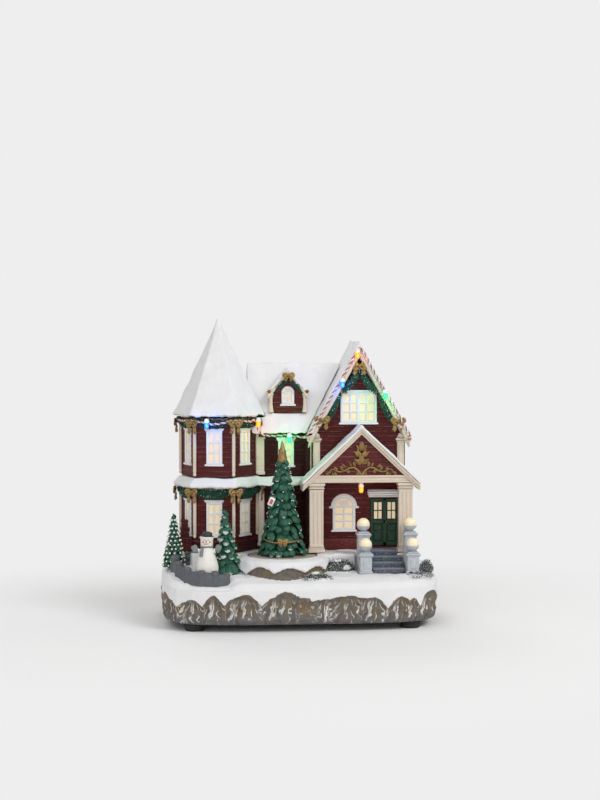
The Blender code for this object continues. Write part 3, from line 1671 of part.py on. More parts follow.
def column(name, x):
    """A square column with a foot, a capital and three flutes."""
    low, high = FLOOR, PORCH_BEAM - GAP
    half_x, half_y = COLUMN_WIDTH / 2, COLUMN_DEPTH / 2
    y = PORCH_FRONT + 0.0007 + half_y

    def ring(grow, height):
        return [
            Vector((x + i * (half_x + grow), y + j * (half_y + grow * 0.5), height))
            for i, j in ((-1, -1), (1, -1), (1, 1), (-1, 1))
        ]

    flare = COLUMN_FLARE
    shaft = loft("porch_column_" + name, [
        ring(flare, low),
        ring(flare, low + COLUMN_FOOT * 0.5),
        ring(0, low + COLUMN_FOOT),
        ring(0, high - COLUMN_FOOT),
        ring(flare * 0.7, high - COLUMN_FOOT + 0.0008),
        ring(flare * 0.7, high - COLUMN_FOOT * 0.4),
        ring(flare, high - COLUMN_FOOT * 0.3),
        ring(flare, high),
    ])
    flutes = []
    for k in (-1, 0, 1):
        middle = x + k * COLUMN_WIDTH * 0.27
        flutes.append(
            box(
                "flute",
                (middle - FLUTE / 2, middle + FLUTE / 2),
                (y - half_y - 0.002, y - half_y + FLUTE_DEPTH),
                (low + COLUMN_FOOT * 1.6, high - COLUMN_FOOT * 1.6),
            )
        )
    paint(cut(shaft, *flutes), (0.82, 0.76, 0.62), 0.5)


def front_door():
    """The front door, glued into its doorway, and the snowy canopy over it."""
    half = DOOR_WIDTH / 2
    face = WING_FRONT + DOOR_RECESS
    door = box(
        "front_door", (DOOR_X - half, DOOR_X + half), (face, face + DOOR_THICKNESS), (DOOR_BOTTOM, DOOR_TOP)
    )
    height = DOOR_TOP - DOOR_BOTTOM
    tools = []
    for side in (-1, 1):
        inner, outer = side * DOOR_WIDTH * 0.06, side * DOOR_WIDTH * 0.42
        limits = [DOOR_X + value for value in sorted((inner, outer))]
        for low, high in ((0.08, 0.30), (0.36, 0.52), (0.60, 0.93)):
            tools.append(
                box(
                    "panel",
                    limits,
                    (face - 0.001, face + PANEL_DEPTH),
                    (DOOR_BOTTOM + height * low, DOOR_BOTTOM + height * high),
                )
            )
    paint(cut(door, *tools), (0.02, 0.13, 0.07), 0.4)
    low = DOOR_TOP + CANOPY_LIFT
    wall = WING_FRONT - GAP
    outline = [
        (wall, low),
        (wall, low + CANOPY_HEIGHT),
        (wall - CANOPY_DEPTH * 0.8, low + CANOPY_HEIGHT * 0.8),
        (wall - CANOPY_DEPTH, low + CANOPY_HEIGHT * 0.4),
        (wall - CANOPY_DEPTH, low),
    ]
    canopy = prism(
        "door_canopy", outline, DOOR_X - half - CANOPY_OVERLAP, DOOR_X + half + CANOPY_OVERLAP * 0.2, "X"
    )
    paint(canopy, (0.90, 0.92, 0.94), 0.6)


def entry_steps():
    """Stone steps up to the door."""
    half = STEPS_WIDTH / 2
    back = WING_FRONT - GAP - 0.0010
    outline = [(back, STAIR_BED)]
    top = STAIR_BED + STEP_COUNT * STEP_RISE
    outline.append((back, top))
    y = back - LANDING_DEPTH + 0.001
    for index in range(STEP_COUNT):
        level = top - index * STEP_RISE
        outline.append((y, level))
        outline.append((y, level - STEP_RISE))
        y -= STEP_RUN
    steps = prism("entry_steps", outline, STEPS_X - half, STEPS_X + half, "X")
    column_front = PORCH_FRONT - COLUMN_FLARE
    beside = box(
        "column_room",
        (LANDING_RIGHT, STEPS_X + half + 0.01),
        (column_front, 0.01),
        (STAIR_BED - 0.001, top + 0.001),
    )
    paint(cut(steps, beside), (0.22, 0.24, 0.30), 0.6)


def stair_post(x, y, height):
    """A square post with a moulded cap and a globe lamp, as one profile of rings."""
    low = STAIR_BED
    half, cap = STAIR_POST_WIDTH / 2, STAIR_CAP_WIDTH / 2
    top = low + height

    def square(radius, level):
        return [
            Vector((x + i * radius, y + j * radius, level))
            for i, j in ((-1, -1), (1, -1), (1, 1), (-1, 1))
        ]

    post = loft("post", [
        square(half + 0.0008, low),
        square(half + 0.0008, low + 0.0015),
        square(half, low + 0.0022),
        square(half, top),
        square(cap, top + STAIR_CAP_HEIGHT * 0.3),
        square(cap, top + STAIR_CAP_HEIGHT * 0.8),
        square(cap - 0.0012, top + STAIR_CAP_HEIGHT),
    ])
    seat = top + STAIR_CAP_HEIGHT - BITE
    centre = seat + 0.0012 + GLOBE_RADIUS
    profile = [(0.0042, seat), (0.0030, seat + 0.0014)]
    for k in range(2, 7):
        angle = math.pi * k / 7
        profile.append((GLOBE_RADIUS * math.sin(angle), centre - GLOBE_RADIUS * math.cos(angle)))
    profile.append((0, centre + GLOBE_RADIUS))
    return post, turned("globe", (x, y), profile, 12)


def stair_walls():
    """Both low side walls of the steps, each with two lamp posts."""
    for name, side in (("left", -1), ("right", 1)):
        x = STEPS_X + side * STAIR_POST_OFFSET
        inner = STAIR_POST_WIDTH * 0.3
        wall = box(
            "stair_wall_" + name,
            (x - inner, x + inner),
            (STAIR_FRONT_Y, STAIR_BACK_Y),
            (STAIR_BED + 0.0001, STAIR_BED + STAIR_FRONT_HEIGHT * 0.8),
        )
        front, front_globe = stair_post(x, STAIR_FRONT_Y, STAIR_FRONT_HEIGHT)
        back, back_globe = stair_post(x, STAIR_BACK_Y, STAIR_BACK_HEIGHT)
        wall = join(wall, front, front_globe, back, back_globe)
        paint(wall, (0.45, 0.47, 0.50), 0.6)


def tube_mesh(name, points, radii, sides=6):
    """A garland: a tube of changing thickness through hand-placed points."""
    rings = []
    for index, point in enumerate(points):
        before = points[max(0, index - 1)]
        after = points[min(len(points) - 1, index + 1)]
        along = (after - before).normalized()
        side = along.cross(Vector((0, 0, 1)))
        if side.length < 0.1:
            side = along.cross(Vector((0, 1, 0)))
        side.normalize()
        up = side.cross(along)
        rings.append(
            [
                point + radii[index] * (
                    math.cos(2 * math.pi * k / sides) * side + math.sin(2 * math.pi * k / sides) * up
                )
                for k in range(sides)
            ]
        )
    return loft(name, rings)


def garlands():
    """Fir swags under the tower's skirt and along the wing's gable."""
    radius = TOWER_RADIUS + GAP + POST_DEPTH + GAP + GARLAND_RADIUS / APOTHEM + 0.0004
    top = TOWER_SPLIT - GARLAND_RADIUS * 1.3
    corners = [Vector((x, y, top)) for x, y in circle((TOWER_X, TOWER_Y), radius, 6, TOWER_FIRST_CORNER)]
    path = []
    radii = []
    for index in range(len(POST_CORNERS) - 1):
        start = corners[POST_CORNERS[index] % 6]
        end = corners[POST_CORNERS[index + 1] % 6]
        for k in range(4):
            share = k / 4
            sag = SWAG_DROP * math.sin(math.pi * share)
            path.append(start.lerp(end, share) - Vector((0, 0, sag)))
            radii.append(GARLAND_RADIUS * (0.75 + 0.4 * math.sin(math.pi * share)))
    path.append(end)
    radii.append(GARLAND_RADIUS * 0.75)
    path[0] = path[0].lerp(path[1], 0.3)
    path[-1] = path[-1].lerp(path[-2], 0.35)
    paint(smooth(tube_mesh("tower_garland", path, radii)), (0.02, 0.17, 0.09), 0.7)

    y = WING_FRONT - FRAME_PROUD - GAP - GARLAND_RADIUS * 1.25
    window_half = GABLE_WINDOW[0] / 2
    window_top = GABLE_WINDOW_LOW + GABLE_WINDOW[1]
    drop = GARLAND_RADIUS * 3.2
    left = [
        (-0.80 * WING_HALF, wing_peak() - 0.80 * WING_HALF * WING_SLOPE - drop),
        (-0.62 * WING_HALF, wing_peak() - 0.62 * WING_HALF * WING_SLOPE - drop * 1.2),
        (-window_half - GARLAND_RADIUS * 0.4, window_top - GARLAND_RADIUS * 0.5),
        (-window_half * 0.70, window_top + GARLAND_RADIUS * 2.6),
        (-window_half * 0.32, window_top + GARLAND_RADIUS * 5.0),
        (0.0, window_top + GARLAND_RADIUS * 7.6),
    ]
    right = [(-x, z) for x, z in reversed(left[:-1])]
    path = [Vector((WING_X + x, y, z)) for x, z in left + right]
    radii = [GARLAND_RADIUS * value for value in (0.8, 1.15, 1.0, 1.15, 1.1, 1.25, 1.1, 1.15, 1.0, 1.15, 0.8)]
    paint(smooth(tube_mesh("gable_garland", path, radii)), (0.02, 0.17, 0.09), 0.7)


def small_tree(name, place):
    """One of the little fir trees that stand on the snow."""
    x, y, radius, height = place
    low = seat_height(y) + GAP
    paint(turned(name, (x, y), tiers(low, radius, height, 5), 10), (0.03, 0.20, 0.13), 0.6)


def snowman():
    """The snowman with his hat and his two raised arms."""
    low = seat_height(SNOWMAN_Y) + GAP
    body = turned("snowman", (SNOWMAN_X, SNOWMAN_Y), [
        (SNOWMAN_RADIUS * 0.94, low),
        (SNOWMAN_RADIUS, low + 0.004),
        (0.0080, low + 0.010),
        (0.0056, low + 0.0160),
        (0.0046, low + 0.0215),
        (0.0050, low + 0.0240),
        (0.0044, low + 0.0285),
        (0.0060, low + 0.0290),
        (0.0060, low + 0.0302),
        (0.0038, low + 0.0306),
        (0.0036, low + 0.0350),
    ], 14)
    body = join(
        body,
        lump("left_mitten", (SNOWMAN_X - 0.0075, SNOWMAN_Y, low + 0.0205), (0.0040, 0.0020, 0.0024), 8),
        lump("right_mitten", (SNOWMAN_X + 0.0070, SNOWMAN_Y, low + 0.0200), (0.0036, 0.0020, 0.0024), 8),
    )
    paint(smooth(body), (0.88, 0.89, 0.88), 0.6)


def smooth_route(points, spacing):
    """Even points on a smooth curve through hand-chosen ones."""
    dense = []
    for index in range(len(points) - 1):
        p0 = points[max(0, index - 1)]
        p1, p2 = points[index], points[index + 1]
        p3 = points[min(len(points) - 1, index + 2)]
        for k in range(12):
            t = k / 12
            square = (2 * p0 - 5 * p1 + 4 * p2 - p3) * t * t
            cube = (3 * p1 - p0 - 3 * p2 + p3) * t * t * t
            dense.append(0.5 * (2 * p1 + (p2 - p0) * t + square + cube))
    dense.append(points[-1])
    route = [dense[0]]
    walked = 0.0
    for index in range(1, len(dense)):
        walked += (dense[index] - dense[index - 1]).length
        if walked >= spacing:
            route.append(dense[index])
            walked = 0.0
    if (route[-1] - dense[-1]).length > spacing * 0.4:
        route.append(dense[-1])
    return route


def twine_stops():
    """Hand-chosen points: round the tower's eave, over the centre window, up and down the gable."""
    reach = TOWER_RADIUS + GAP + POST_DEPTH + GAP + TWINE_RADIUS + 0.0006
    high = SPIRE_BOTTOM - TWINE_RADIUS - 0.0016
    stops = []
    for corner, height in (
        (-1, high),
        (-0.5, high - 0.0005),
        (0, high + 0.0004),
        (0.5, high - 0.0026),
        (1, high + 0.0003),
        (1.5, high - 0.0010),
    ):
        angle = TOWER_FIRST_CORNER + corner * math.pi / 3
        far = reach if corner == int(corner) else reach * 0.93
        stops.append(Vector((TOWER_X + far * math.cos(angle), TOWER_Y + far * math.sin(angle), height)))
    hang_y = CENTRE_FRONT - PILASTER_DEPTH - GAP - TWINE_RADIUS - 0.0022
    for x, y, z in (
        (-0.0366, -0.0030, 0.1659),
        (-0.0344, -0.0014, 0.1640),
        (-0.0334, -0.0010, 0.1600),
        (-0.0318, -0.0010, 0.1556),
        (-0.0276, 0.0006, 0.1530),
    ):
        stops.append(Vector((x, y, z)))
    for x, z in ((-0.0200, 0.1522), (-0.0090, 0.1528), (-0.0010, 0.1518), (0.0050, 0.1508)):
        stops.append(Vector((x, hang_y, z)))
    rake_y = WING_FRONT - WING_OVERHANG - GAP - TWINE_RADIUS
    stops.append(Vector((WING_X - WING_SPAN - 0.0014, -0.0040, EAVE_HEIGHT - 0.0030)))
    stops.append(Vector((WING_X - WING_SPAN - 0.0008, rake_y - 0.0003, EAVE_HEIGHT - 0.0018)))
    for share in (-0.8, -0.6, -0.4, -0.2, -0.05, 0.05, 0.2, 0.4, 0.6, 0.8, 0.97):
        lift = 0.0004 * math.cos(9 * share)
        z = WING_RIDGE - 0.0050 - abs(share) * (WING_RIDGE - EAVE_HEIGHT - 0.0040) + lift
        stops.append(Vector((WING_X + share * WING_SPAN * 0.96, rake_y, z)))
    stops.append(Vector((WING_X + WING_SPAN * 0.99, rake_y + 0.0002, EAVE_HEIGHT - 0.0030)))
    stops.append(Vector((WING_X + WING_SPAN * 0.93, rake_y + 0.0004, EAVE_HEIGHT - 0.0062)))
    return stops


def light_string():
    """The twisted twine of the light string, held on the house all the way."""
    route = smooth_route(twine_stops(), TWINE_SPACING)
    curve = bpy.data.curves.new("light_string", "CURVE")
    curve.dimensions = "3D"
    curve.bevel_depth = TWINE_RADIUS
    curve.bevel_resolution = 2
    curve.use_fill_caps = True
    line = curve.splines.new("POLY")
    line.points.add(len(route) - 1)
    for point, place in zip(line.points, route):
        point.co = (*place, 1.0)
    item = bpy.data.objects.new("light_string", curve)
    bpy.context.scene.collection.objects.link(item)
    paint(item, (0.75, 0.45, 0.42), 0.8)


def lamp(name, spot, top, colour):
    """One coloured lamp that hangs down from its socket."""
    bulb = turned(name, spot, [
        (0, top - LED_LENGTH),
        (LED_RADIUS * 0.75, top - LED_LENGTH * 0.9),
        (LED_RADIUS * 0.9, top - LED_LENGTH * 0.7),
        (LED_RADIUS * 0.9, top - LED_LENGTH * 0.5),
        (LED_RADIUS, top - LED_LENGTH * 0.45),
        (LED_RADIUS, top - LED_LENGTH * 0.15),
        (LED_RADIUS * 0.6, top),
    ], 10)
    paint(smooth(bulb), colour, 0.3)


def lamps():
    """Coloured lamps in front of the twine, and one under the porch beam."""
    blue, orange, green = (0.05, 0.25, 0.9), (0.95, 0.45, 0.05), (0.1, 0.9, 0.3)
    route = smooth_route(twine_stops(), TWINE_SPACING)
    reach = TWINE_RADIUS + GAP + LED_RADIUS
    for name, share, colour in (("lamp_blue_tower", 0.36, blue), ("lamp_orange_tower", 1.62, orange)):
        angle = TOWER_FIRST_CORNER + share * math.pi / 3
        out = Vector((math.cos(angle), math.sin(angle), 0))
        middle = Vector((TOWER_X, TOWER_Y, SPIRE_BOTTOM))
        held = min(route, key=lambda point: (point - middle - out * TOWER_RADIUS * 1.05).length)
        away = Vector((held.x - TOWER_X, held.y - TOWER_Y, 0)).normalized()
        spot = held + away * reach
        lamp(name, (spot.x, spot.y), SPIRE_BOTTOM - GAP, colour)
    held = min(route, key=lambda point: abs(point.x - CENTRE_WINDOW_X) + abs(point.z - EAVE_HEIGHT))
    lamp("lamp_green_centre", (held.x, held.y - reach), EAVE_HEIGHT - GAP, green)
    rake_y = WING_FRONT - WING_OVERHANG - GAP - TWINE_RADIUS - reach
    for name, aside, top, colour in (
        ("lamp_blue_gable", -0.0150, 0.2010, blue),
        ("lamp_orange_gable", -0.0025, 0.2250, orange),
        ("lamp_green_gable", 0.0205, 0.1915, green),
    ):
        lamp(name, (WING_X + aside, rake_y), top, colour)
    lamp("lamp_orange_porch", (PORCH_X, PORCH_FRONT + LED_RADIUS + 0.0008), PORCH_BEAM - GAP, orange)


def build():
    """Makes every piece of the house."""
    clear_scene()
    base_casting()
    bottom_plate()
    feet()
    battery_door()
    battery_cells()
    slide_switch()
    circuit_board()
    drive()
    turning_tree()
    tower_walls()
    tower_trims()
    tower_windows()
    tower_skirt_roof()
    tower_spire()
    centre_wall()
    main_roof()
    dormer()
    wing_walls()
    wing_roof()
    porch()
    front_door()
    entry_steps()
    stair_walls()
    garlands()
    small_tree("small_tree_left", SMALL_TREE_LEFT)
    small_tree("small_tree_front", SMALL_TREE_FRONT)
    snowman()
    light_string()
    lamps()


build()
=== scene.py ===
"""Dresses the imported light-up Christmas village house in snow, paint, greenery and lights.

Shapes are worked out in millimetres and turned into metres when a piece is made. The house looks
towards -Y, with its tower at -X and its porch at +X.
"""

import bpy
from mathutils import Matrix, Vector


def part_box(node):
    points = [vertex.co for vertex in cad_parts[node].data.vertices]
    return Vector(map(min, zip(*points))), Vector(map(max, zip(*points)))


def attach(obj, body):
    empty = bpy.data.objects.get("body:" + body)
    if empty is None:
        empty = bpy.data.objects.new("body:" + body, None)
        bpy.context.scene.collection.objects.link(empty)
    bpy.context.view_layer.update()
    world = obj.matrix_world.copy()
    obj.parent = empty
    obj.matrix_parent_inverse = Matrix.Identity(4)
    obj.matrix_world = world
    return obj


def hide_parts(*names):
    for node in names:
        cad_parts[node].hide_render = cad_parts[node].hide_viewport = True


bl_info = {
    "name": "Christmas Village House",
    "version": (1, 0, 0),
    "blender": (4, 5, 0),
    "location": "3D View > Sidebar > Village House",
    "description": "Builds the visible pieces and finishes of a light-up Christmas village house",
    "category": "Object",
}

import random
from math import atan2, copysign, cos, degrees, hypot, pi, radians, sin, sqrt

import bmesh
import bpy
from mathutils import Matrix, Vector, noise

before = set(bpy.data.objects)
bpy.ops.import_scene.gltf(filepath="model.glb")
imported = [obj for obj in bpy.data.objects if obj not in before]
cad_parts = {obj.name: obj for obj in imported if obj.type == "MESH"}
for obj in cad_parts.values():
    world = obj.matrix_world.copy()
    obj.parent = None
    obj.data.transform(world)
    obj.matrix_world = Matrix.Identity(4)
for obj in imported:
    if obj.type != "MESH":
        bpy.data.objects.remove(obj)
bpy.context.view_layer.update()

MM = 0.001
UP = Vector((0, 0, 1))
FRONT = Vector((0, -1, 0))
CORNERS = [(i, j, k) for i in (-1, 1) for j in (-1, 1) for k in (-1, 1)]

# Places shared by several pieces, in millimetres, as the solids have them.
BASE_HALF = (113.0, 70.0)
BASE_POWER = 4.5
TOWER = Vector((-65.0, 14.0, 0.0))
TOWER_TURN = radians(-130)
TOWER_WALL_REACH = 31.0
TOWER_SPLIT = 110.5
PLINTH_TOP = 66.3
BOARDS_LOW = PLINTH_TOP + 1.4
TREE = Vector((-14.6, -23.0, 0.0))
MOUND_REACH = 38.0
WING_X = 51.0
WING_HALF = 38.0
WING_RIDGE = 232.0
WING_EAVE = 155.0
WING_SPAN = 43.2
PORCH_RIDGE = 162.3
PORCH_EAVE = 115.8
PORCH_SPAN = 49.2
PORCH_FRONT = -21.0
CENTRE_FRONT = 10.0
DORMER_X = -7.5
DORMER_RIDGE = 209.1
DORMER_EAVE = 189.0
DORMER_SPAN = 17.5
STEPS_X = 71.0
DOOR_X = 73.2
# Middle and half widths of the oval that the garden wall follows.
GARDEN = (-72.5, -20.5)
GARDEN_REACH = (30.0, 39.7)
# Above this height the spire's tip leans to the left, more and more over this rise.
SPIRE_BEND = 232.0
SPIRE_RISE = 17.0
# Steps in which the base's outline is walked, and the spacing of the base's mesh in metres.
ROUND_STEPS = 4000
BASE_GRAIN = 0.00105


def length(label, about, value):
    """A size in metres that the user can change."""
    return bpy.props.FloatProperty(name=label, description=about, default=value, unit="LENGTH")


class VillageSizes(bpy.types.PropertyGroup):
    """Sizes of the carved detail."""

    board_pitch: length("Board pitch", "Height of one clapboard", 0.0040)
    board_lip: length("Board lip", "How far a clapboard's lower edge stands out", 0.00045)
    snow_lump: length("Snow lumps", "How far the snow swells and sinks along an eave", 0.0009)
    snow_grain: length("Snow mesh", "Spacing of the snow's mesh", 0.0009)
    rock_relief: length("Rock relief", "Depth of the carved ridges in the rock", 0.0011)
    twine_lay: length("Twine lay", "Length of one full turn of the twine's two strands", 0.0054)
    bow_width: length("Bow width", "Width of a ribbon bow on the tower", 0.0112)


def tone(label, about, value):
    """A colour that the user can change."""
    return bpy.props.FloatVectorProperty(
        name=label, description=about, default=value, subtype="COLOR", size=3, min=0, max=1
    )


class VillageColours(bpy.types.PropertyGroup):
    """Paint colours of the house."""

    clapboard: tone("Clapboard", "Dark red of the wooden walls", (0.092, 0.0085, 0.0085))
    snow: tone("Snow", "White of roofs and ground", (0.77, 0.77, 0.78))
    cream: tone("Cream", "Posts, columns and mouldings", (0.68, 0.58, 0.46))
    frame_white: tone("Window frames", "White of the window frames", (0.78, 0.77, 0.78))
    pane: tone("Lit panes", "Amber of the lit window panes", (0.74, 0.58, 0.34))
    rock: tone("Rock", "Grey brown of the rock", (0.150, 0.130, 0.105))
    ochre: tone("Ochre", "Warm stain on the rock", (0.20, 0.135, 0.055))
    fir: tone("Fir green", "Green of trees and garlands", (0.008, 0.070, 0.040))
    gold: tone("Gold", "Ribbons and scrolls", (0.30, 0.19, 0.07))
    door: tone("Door green", "Green of the front door", (0.003, 0.034, 0.014))
    stone: tone("Post stone", "Blue grey of the lamp posts", (0.46, 0.49, 0.52))
    granite: tone("Granite", "Dark stone of the steps", (0.070, 0.080, 0.110))
    globe: tone("Globes", "Pale yellow of the globe lamps", (0.86, 0.70, 0.36))


def sizes():
    """The sizes that the user can change, in metres."""
    return bpy.context.scene.village_sizes


def colours():
    """The paint colours that the user can change."""
    return bpy.context.scene.village_colours


class Wire:
    """A shader socket that takes part in Python sums, which add the Math nodes."""

    def __init__(self, tree, socket):
        self.tree = tree
        self.socket = socket

    def sum(self, kind, *values, clamp=False):
        settings = {"operation": kind, "use_clamp": clamp}
        return new_node(self.tree, "ShaderNodeMath", settings, dict(enumerate(values)))

    def __add__(self, other):
        return self.sum("ADD", self, other)

    def __radd__(self, other):
        return self.sum("ADD", other, self)

    def __sub__(self, other):
        return self.sum("SUBTRACT", self, other)

    def __rsub__(self, other):
        return self.sum("SUBTRACT", other, self)

    def __mul__(self, other):
        return self.sum("MULTIPLY", self, other)

    def __rmul__(self, other):
        return self.sum("MULTIPLY", other, self)

    def __truediv__(self, other):
        return self.sum("DIVIDE", self, other)

    def __rtruediv__(self, other):
        return self.sum("DIVIDE", other, self)

    def above(self, edge, soft):
        """0 below an edge and 1 above it, with a soft step between."""
        return self.sum("MULTIPLY_ADD", self, 1 / soft, 0.5 - edge / soft, clamp=True)


def new_node(tree, kind, settings=None, values=None, out=0):
    """Adds a node, sets its settings first, then fills its sockets, and gives one output."""
    node = tree.nodes.new(kind)
    for key, value in (settings or {}).items():
        setattr(node, key, value)
    for key, value in (values or {}).items():
        if isinstance(value, Wire):
            tree.links.new(value.socket, node.inputs[key])
        else:
            node.inputs[key].default_value = value
    return Wire(tree, node.outputs[out])


class Finish:
    """A procedural material on a Principled shader."""

    def __init__(self, name, roughness=0.6, **fixed):
        self.material = bpy.data.materials.new(name)
        self.material.use_nodes = True
        self.tree = self.material.node_tree
        self.shader = self.tree.nodes["Principled BSDF"]
        self.shader.inputs["Roughness"].default_value = roughness
        for key, value in fixed.items():
            self.shader.inputs[key.replace("_", " ")].default_value = value
        self.place = self.node("ShaderNodeTexCoord", out="Object")

    def node(self, kind, settings=None, values=None, out=0):
        """Adds a node to this material, as new_node does."""
        return new_node(self.tree, kind, settings, values, out)

    def stretched(self, x, y, z):
        """The place on the piece, with its axes scaled."""
        return self.node(
            "ShaderNodeVectorMath", {"operation": "MULTIPLY"}, {0: self.place, 1: (x, y, z)}
        )

    def cloud(self, size, detail=3.0, rough=0.55, where=None):
        """Noise from 0 to 1 with features of about a size in millimetres."""
        values = {"Vector": where or self.place, "Scale": 1000 / size, "Detail": detail, "Roughness": rough}
        return self.node("ShaderNodeTexNoise", None, values, "Fac")

    def specks(self, spacing, share):
        """Round specks, each within a share of its cell."""
        values = {"Vector": self.place, "Scale": 1000 / spacing}
        far = self.node("ShaderNodeTexVoronoi", {"feature": "F1"}, values, "Distance")
        return 1 - far.above(share, 0.12)

    def attribute(self, name):
        return self.node("ShaderNodeAttribute", {"attribute_name": name}, None, "Fac")

    def facing_up(self):
        """How far the surface looks up, from -1 to 1."""
        normal = self.node("ShaderNodeNewGeometry", out="Normal")
        return self.node("ShaderNodeSeparateXYZ", None, {0: normal}, "Z")

    def height(self):
        return self.node("ShaderNodeSeparateXYZ", None, {0: self.place}, "Z") * 1000

    def hollow(self, reach=1.6):
        """Near 1 in corners and grooves, and 0 on open surface: how far ambient light is shut out. Finishes darken by
        it, which paints shade into those places.
        """
        values = {"Distance": reach * MM}
        open_share = self.node(
            "ShaderNodeAmbientOcclusion", {"samples": 6}, values, "AO"
        )
        return 1 - open_share

    def mix(self, share, first, second):
        """Blends two colours."""
        values = {"Factor": share, 6: self.as_colour(first), 7: self.as_colour(second)}
        return self.node("ShaderNodeMix", {"data_type": "RGBA"}, values, 2)

    def as_colour(self, value):
        return value if isinstance(value, Wire) else (*value, 1.0)

    def feed(self, socket, value):
        self.tree.links.new(value.socket, self.shader.inputs[socket])
        return self

    def painted(self, base, roughness, height, depth):
        """Feeds a colour, a roughness and a relief."""
        return self.feed("Base Color", base).feed("Roughness", roughness).bump(height, depth)

    def bump(self, height, depth):
        """Relief whose full height is a depth in millimetres."""
        values = {"Height": height, "Distance": depth * MM, "Strength": 1.0}
        return self.feed("Normal", self.node("ShaderNodeBump", None, values, "Normal"))


def dark(colour, share):
    return tuple(value * share for value in colour)


def bright(colour, share):
    return tuple(min(1, value * share) for value in colour)


def pale(colour, share):
    return tuple(value + (1 - value) * share for value in colour)


def snow_paint(name):
    look = Finish(name, 0.62, Specular_IOR_Level=0.35)
    white = colours().snow
    drift = look.cloud(9, 3)
    grain = look.cloud(0.7, 2)
    base = look.mix(drift.above(0.52, 0.3) * 0.5, white, dark(white, 0.93))
    # painted shade: the snow turns grey in its corners and grooves
    base = look.mix(look.hollow(2.2).above(0.62, 0.7) * 0.6, base, (0.42, 0.42, 0.43))
    # grey brown on faces that look down, under the eaves: dirt together with painted shade
    under = 1 - look.facing_up().above(-0.35, 0.5)
    base = look.mix(under * look.cloud(3).above(0.42, 0.3), base, (0.58, 0.52, 0.44))
    return look.painted(base, 0.52 + grain * 0.25, look.cloud(1.6, 4) + grain * 0.4, 0.10)


def wood_scratches(look):
    """Pale dry-brushed scratches that run along the boards."""
    along = look.stretched(0.16, 0.16, 3.2)
    streak = look.cloud(0.9, 4, 0.65, along)
    patch = look.cloud(7, 2)
    return streak.above(0.655, 0.08) * patch.above(0.50, 0.22)


def clapboard_paint(name, depth=1.0):
    look = Finish(name, 0.55, Specular_IOR_Level=0.3)
    # a depth below 1 darkens the whole paint and dims its scratches: a painted shade, used for the set-back centre
    # wall
    red = dark(colours().clapboard, depth)
    base = look.mix(look.cloud(5, 3), dark(red, 0.72), bright(red, 1.35))
    # painted shade: near black red in the grooves between the boards
    base = look.mix(look.hollow(1.1).above(0.45, 0.5) * 0.75, base, dark(red, 0.25))
    boards_up = (look.height() - BOARDS_LOW) / (sizes().board_pitch * 1000)
    share = boards_up.sum("FRACT", boards_up)
    high = look.height().above(PLINTH_TOP + 1.0, 0.3)
    # painted shadow: a dark band just under each board's protruding lip
    base = look.mix(share.above(0.86, 0.10) * high * 0.85, base, dark(red, 0.16))
    edge = (1 - share.above(0.13, 0.10)) * high * look.cloud(6, 3, 0.6, look.stretched(0.5, 0.5, 2)).above(0.50, 0.12)
    base = look.mix((wood_scratches(look) + edge).above(0.5, 0.9) * 0.20 * depth, base, (0.52, 0.38, 0.36))
    low = 1 - high
    speckle = look.specks(1.5, 0.22) * look.cloud(3).above(0.5, 0.2)
    base = look.mix(speckle * (0.08 + low * 0.22), base, (0.55, 0.42, 0.40))
    return look.painted(
        base, 0.48 + look.cloud(2) * 0.25,
        look.cloud(0.8, 3, 0.6, look.stretched(0.2, 0.2, 2)) + low * look.cloud(1.6), 0.09,
    )


def aged_paint(name, colour, wash_and_shade, roughness=0.5, wash_and_shade_share=0.6):
    """Paint with a soft mottle, darkened in its hollows by a dark wash together with painted shade."""
    look = Finish(name, roughness, Specular_IOR_Level=0.4)
    base = look.mix(look.cloud(4, 3), dark(colour, 0.90), pale(colour, 0.10))
    # a dark wash together with painted shade in the hollows
    base = look.mix(look.hollow(1.5).above(0.50, 0.6) * wash_and_shade_share, base, wash_and_shade)
    base = look.mix(look.specks(4.5, 0.09) * 0.5, base, wash_and_shade)
    return look.painted(base, roughness - 0.08 + look.cloud(1.5) * 0.2, look.cloud(1.1, 3), 0.07)


def fir_paint(name):
    look = Finish(name, 0.5, Specular_IOR_Level=0.4)
    green = colours().fir
    base = look.mix(look.cloud(2.5, 3), dark(green, 0.6), bright(green, 1.7))
    # painted shade: dark green deep between the leaves
    base = look.mix(look.hollow(1.8).above(0.50, 0.6) * 0.8, base, dark(green, 0.2))
    tip = look.attribute("tint")
    # pale tips: frost together with a painted highlight
    frost_and_highlight = (tip + look.cloud(1.2, 2) * 0.5).above(1.10, 0.12)
    base = look.mix(frost_and_highlight * 0.85, base, (0.62, 0.72, 0.68))
    base = look.mix(look.specks(1.3, 0.20) * look.cloud(2.6).above(0.55, 0.12) * 0.5, base, (0.6, 0.68, 0.66))
    return look.painted(base, 0.38 + look.cloud(1.5) * 0.3, look.cloud(0.6, 3), 0.09)


def gold_paint(name):
    look = Finish(name, 0.38, Metallic=0.70)
    gold = colours().gold
    base = look.mix(look.cloud(1.6, 3).above(0.5, 0.5), dark(gold, 0.45), bright(gold, 1.35))
    # an antique dark tone together with painted shade in the hollows
    base = look.mix(look.hollow(1.4).above(0.42, 0.5) * 0.85, base, (0.07, 0.04, 0.015))
    return look.painted(base, 0.34 + look.cloud(0.9) * 0.25, look.cloud(0.7, 3), 0.07)


def pane_paint(name):
    look = Finish(name, 0.35, Emission_Strength=0.22)
    amber = colours().pane
    wave = look.cloud(2.4, 2)
    base = look.mix(wave, amber, pale(amber, 0.30))
    look.feed("Base Color", base).feed("Emission Color", base).feed("Roughness", 0.25 + wave * 0.2)
    return look.bump(look.cloud(1.4, 2), 0.05)


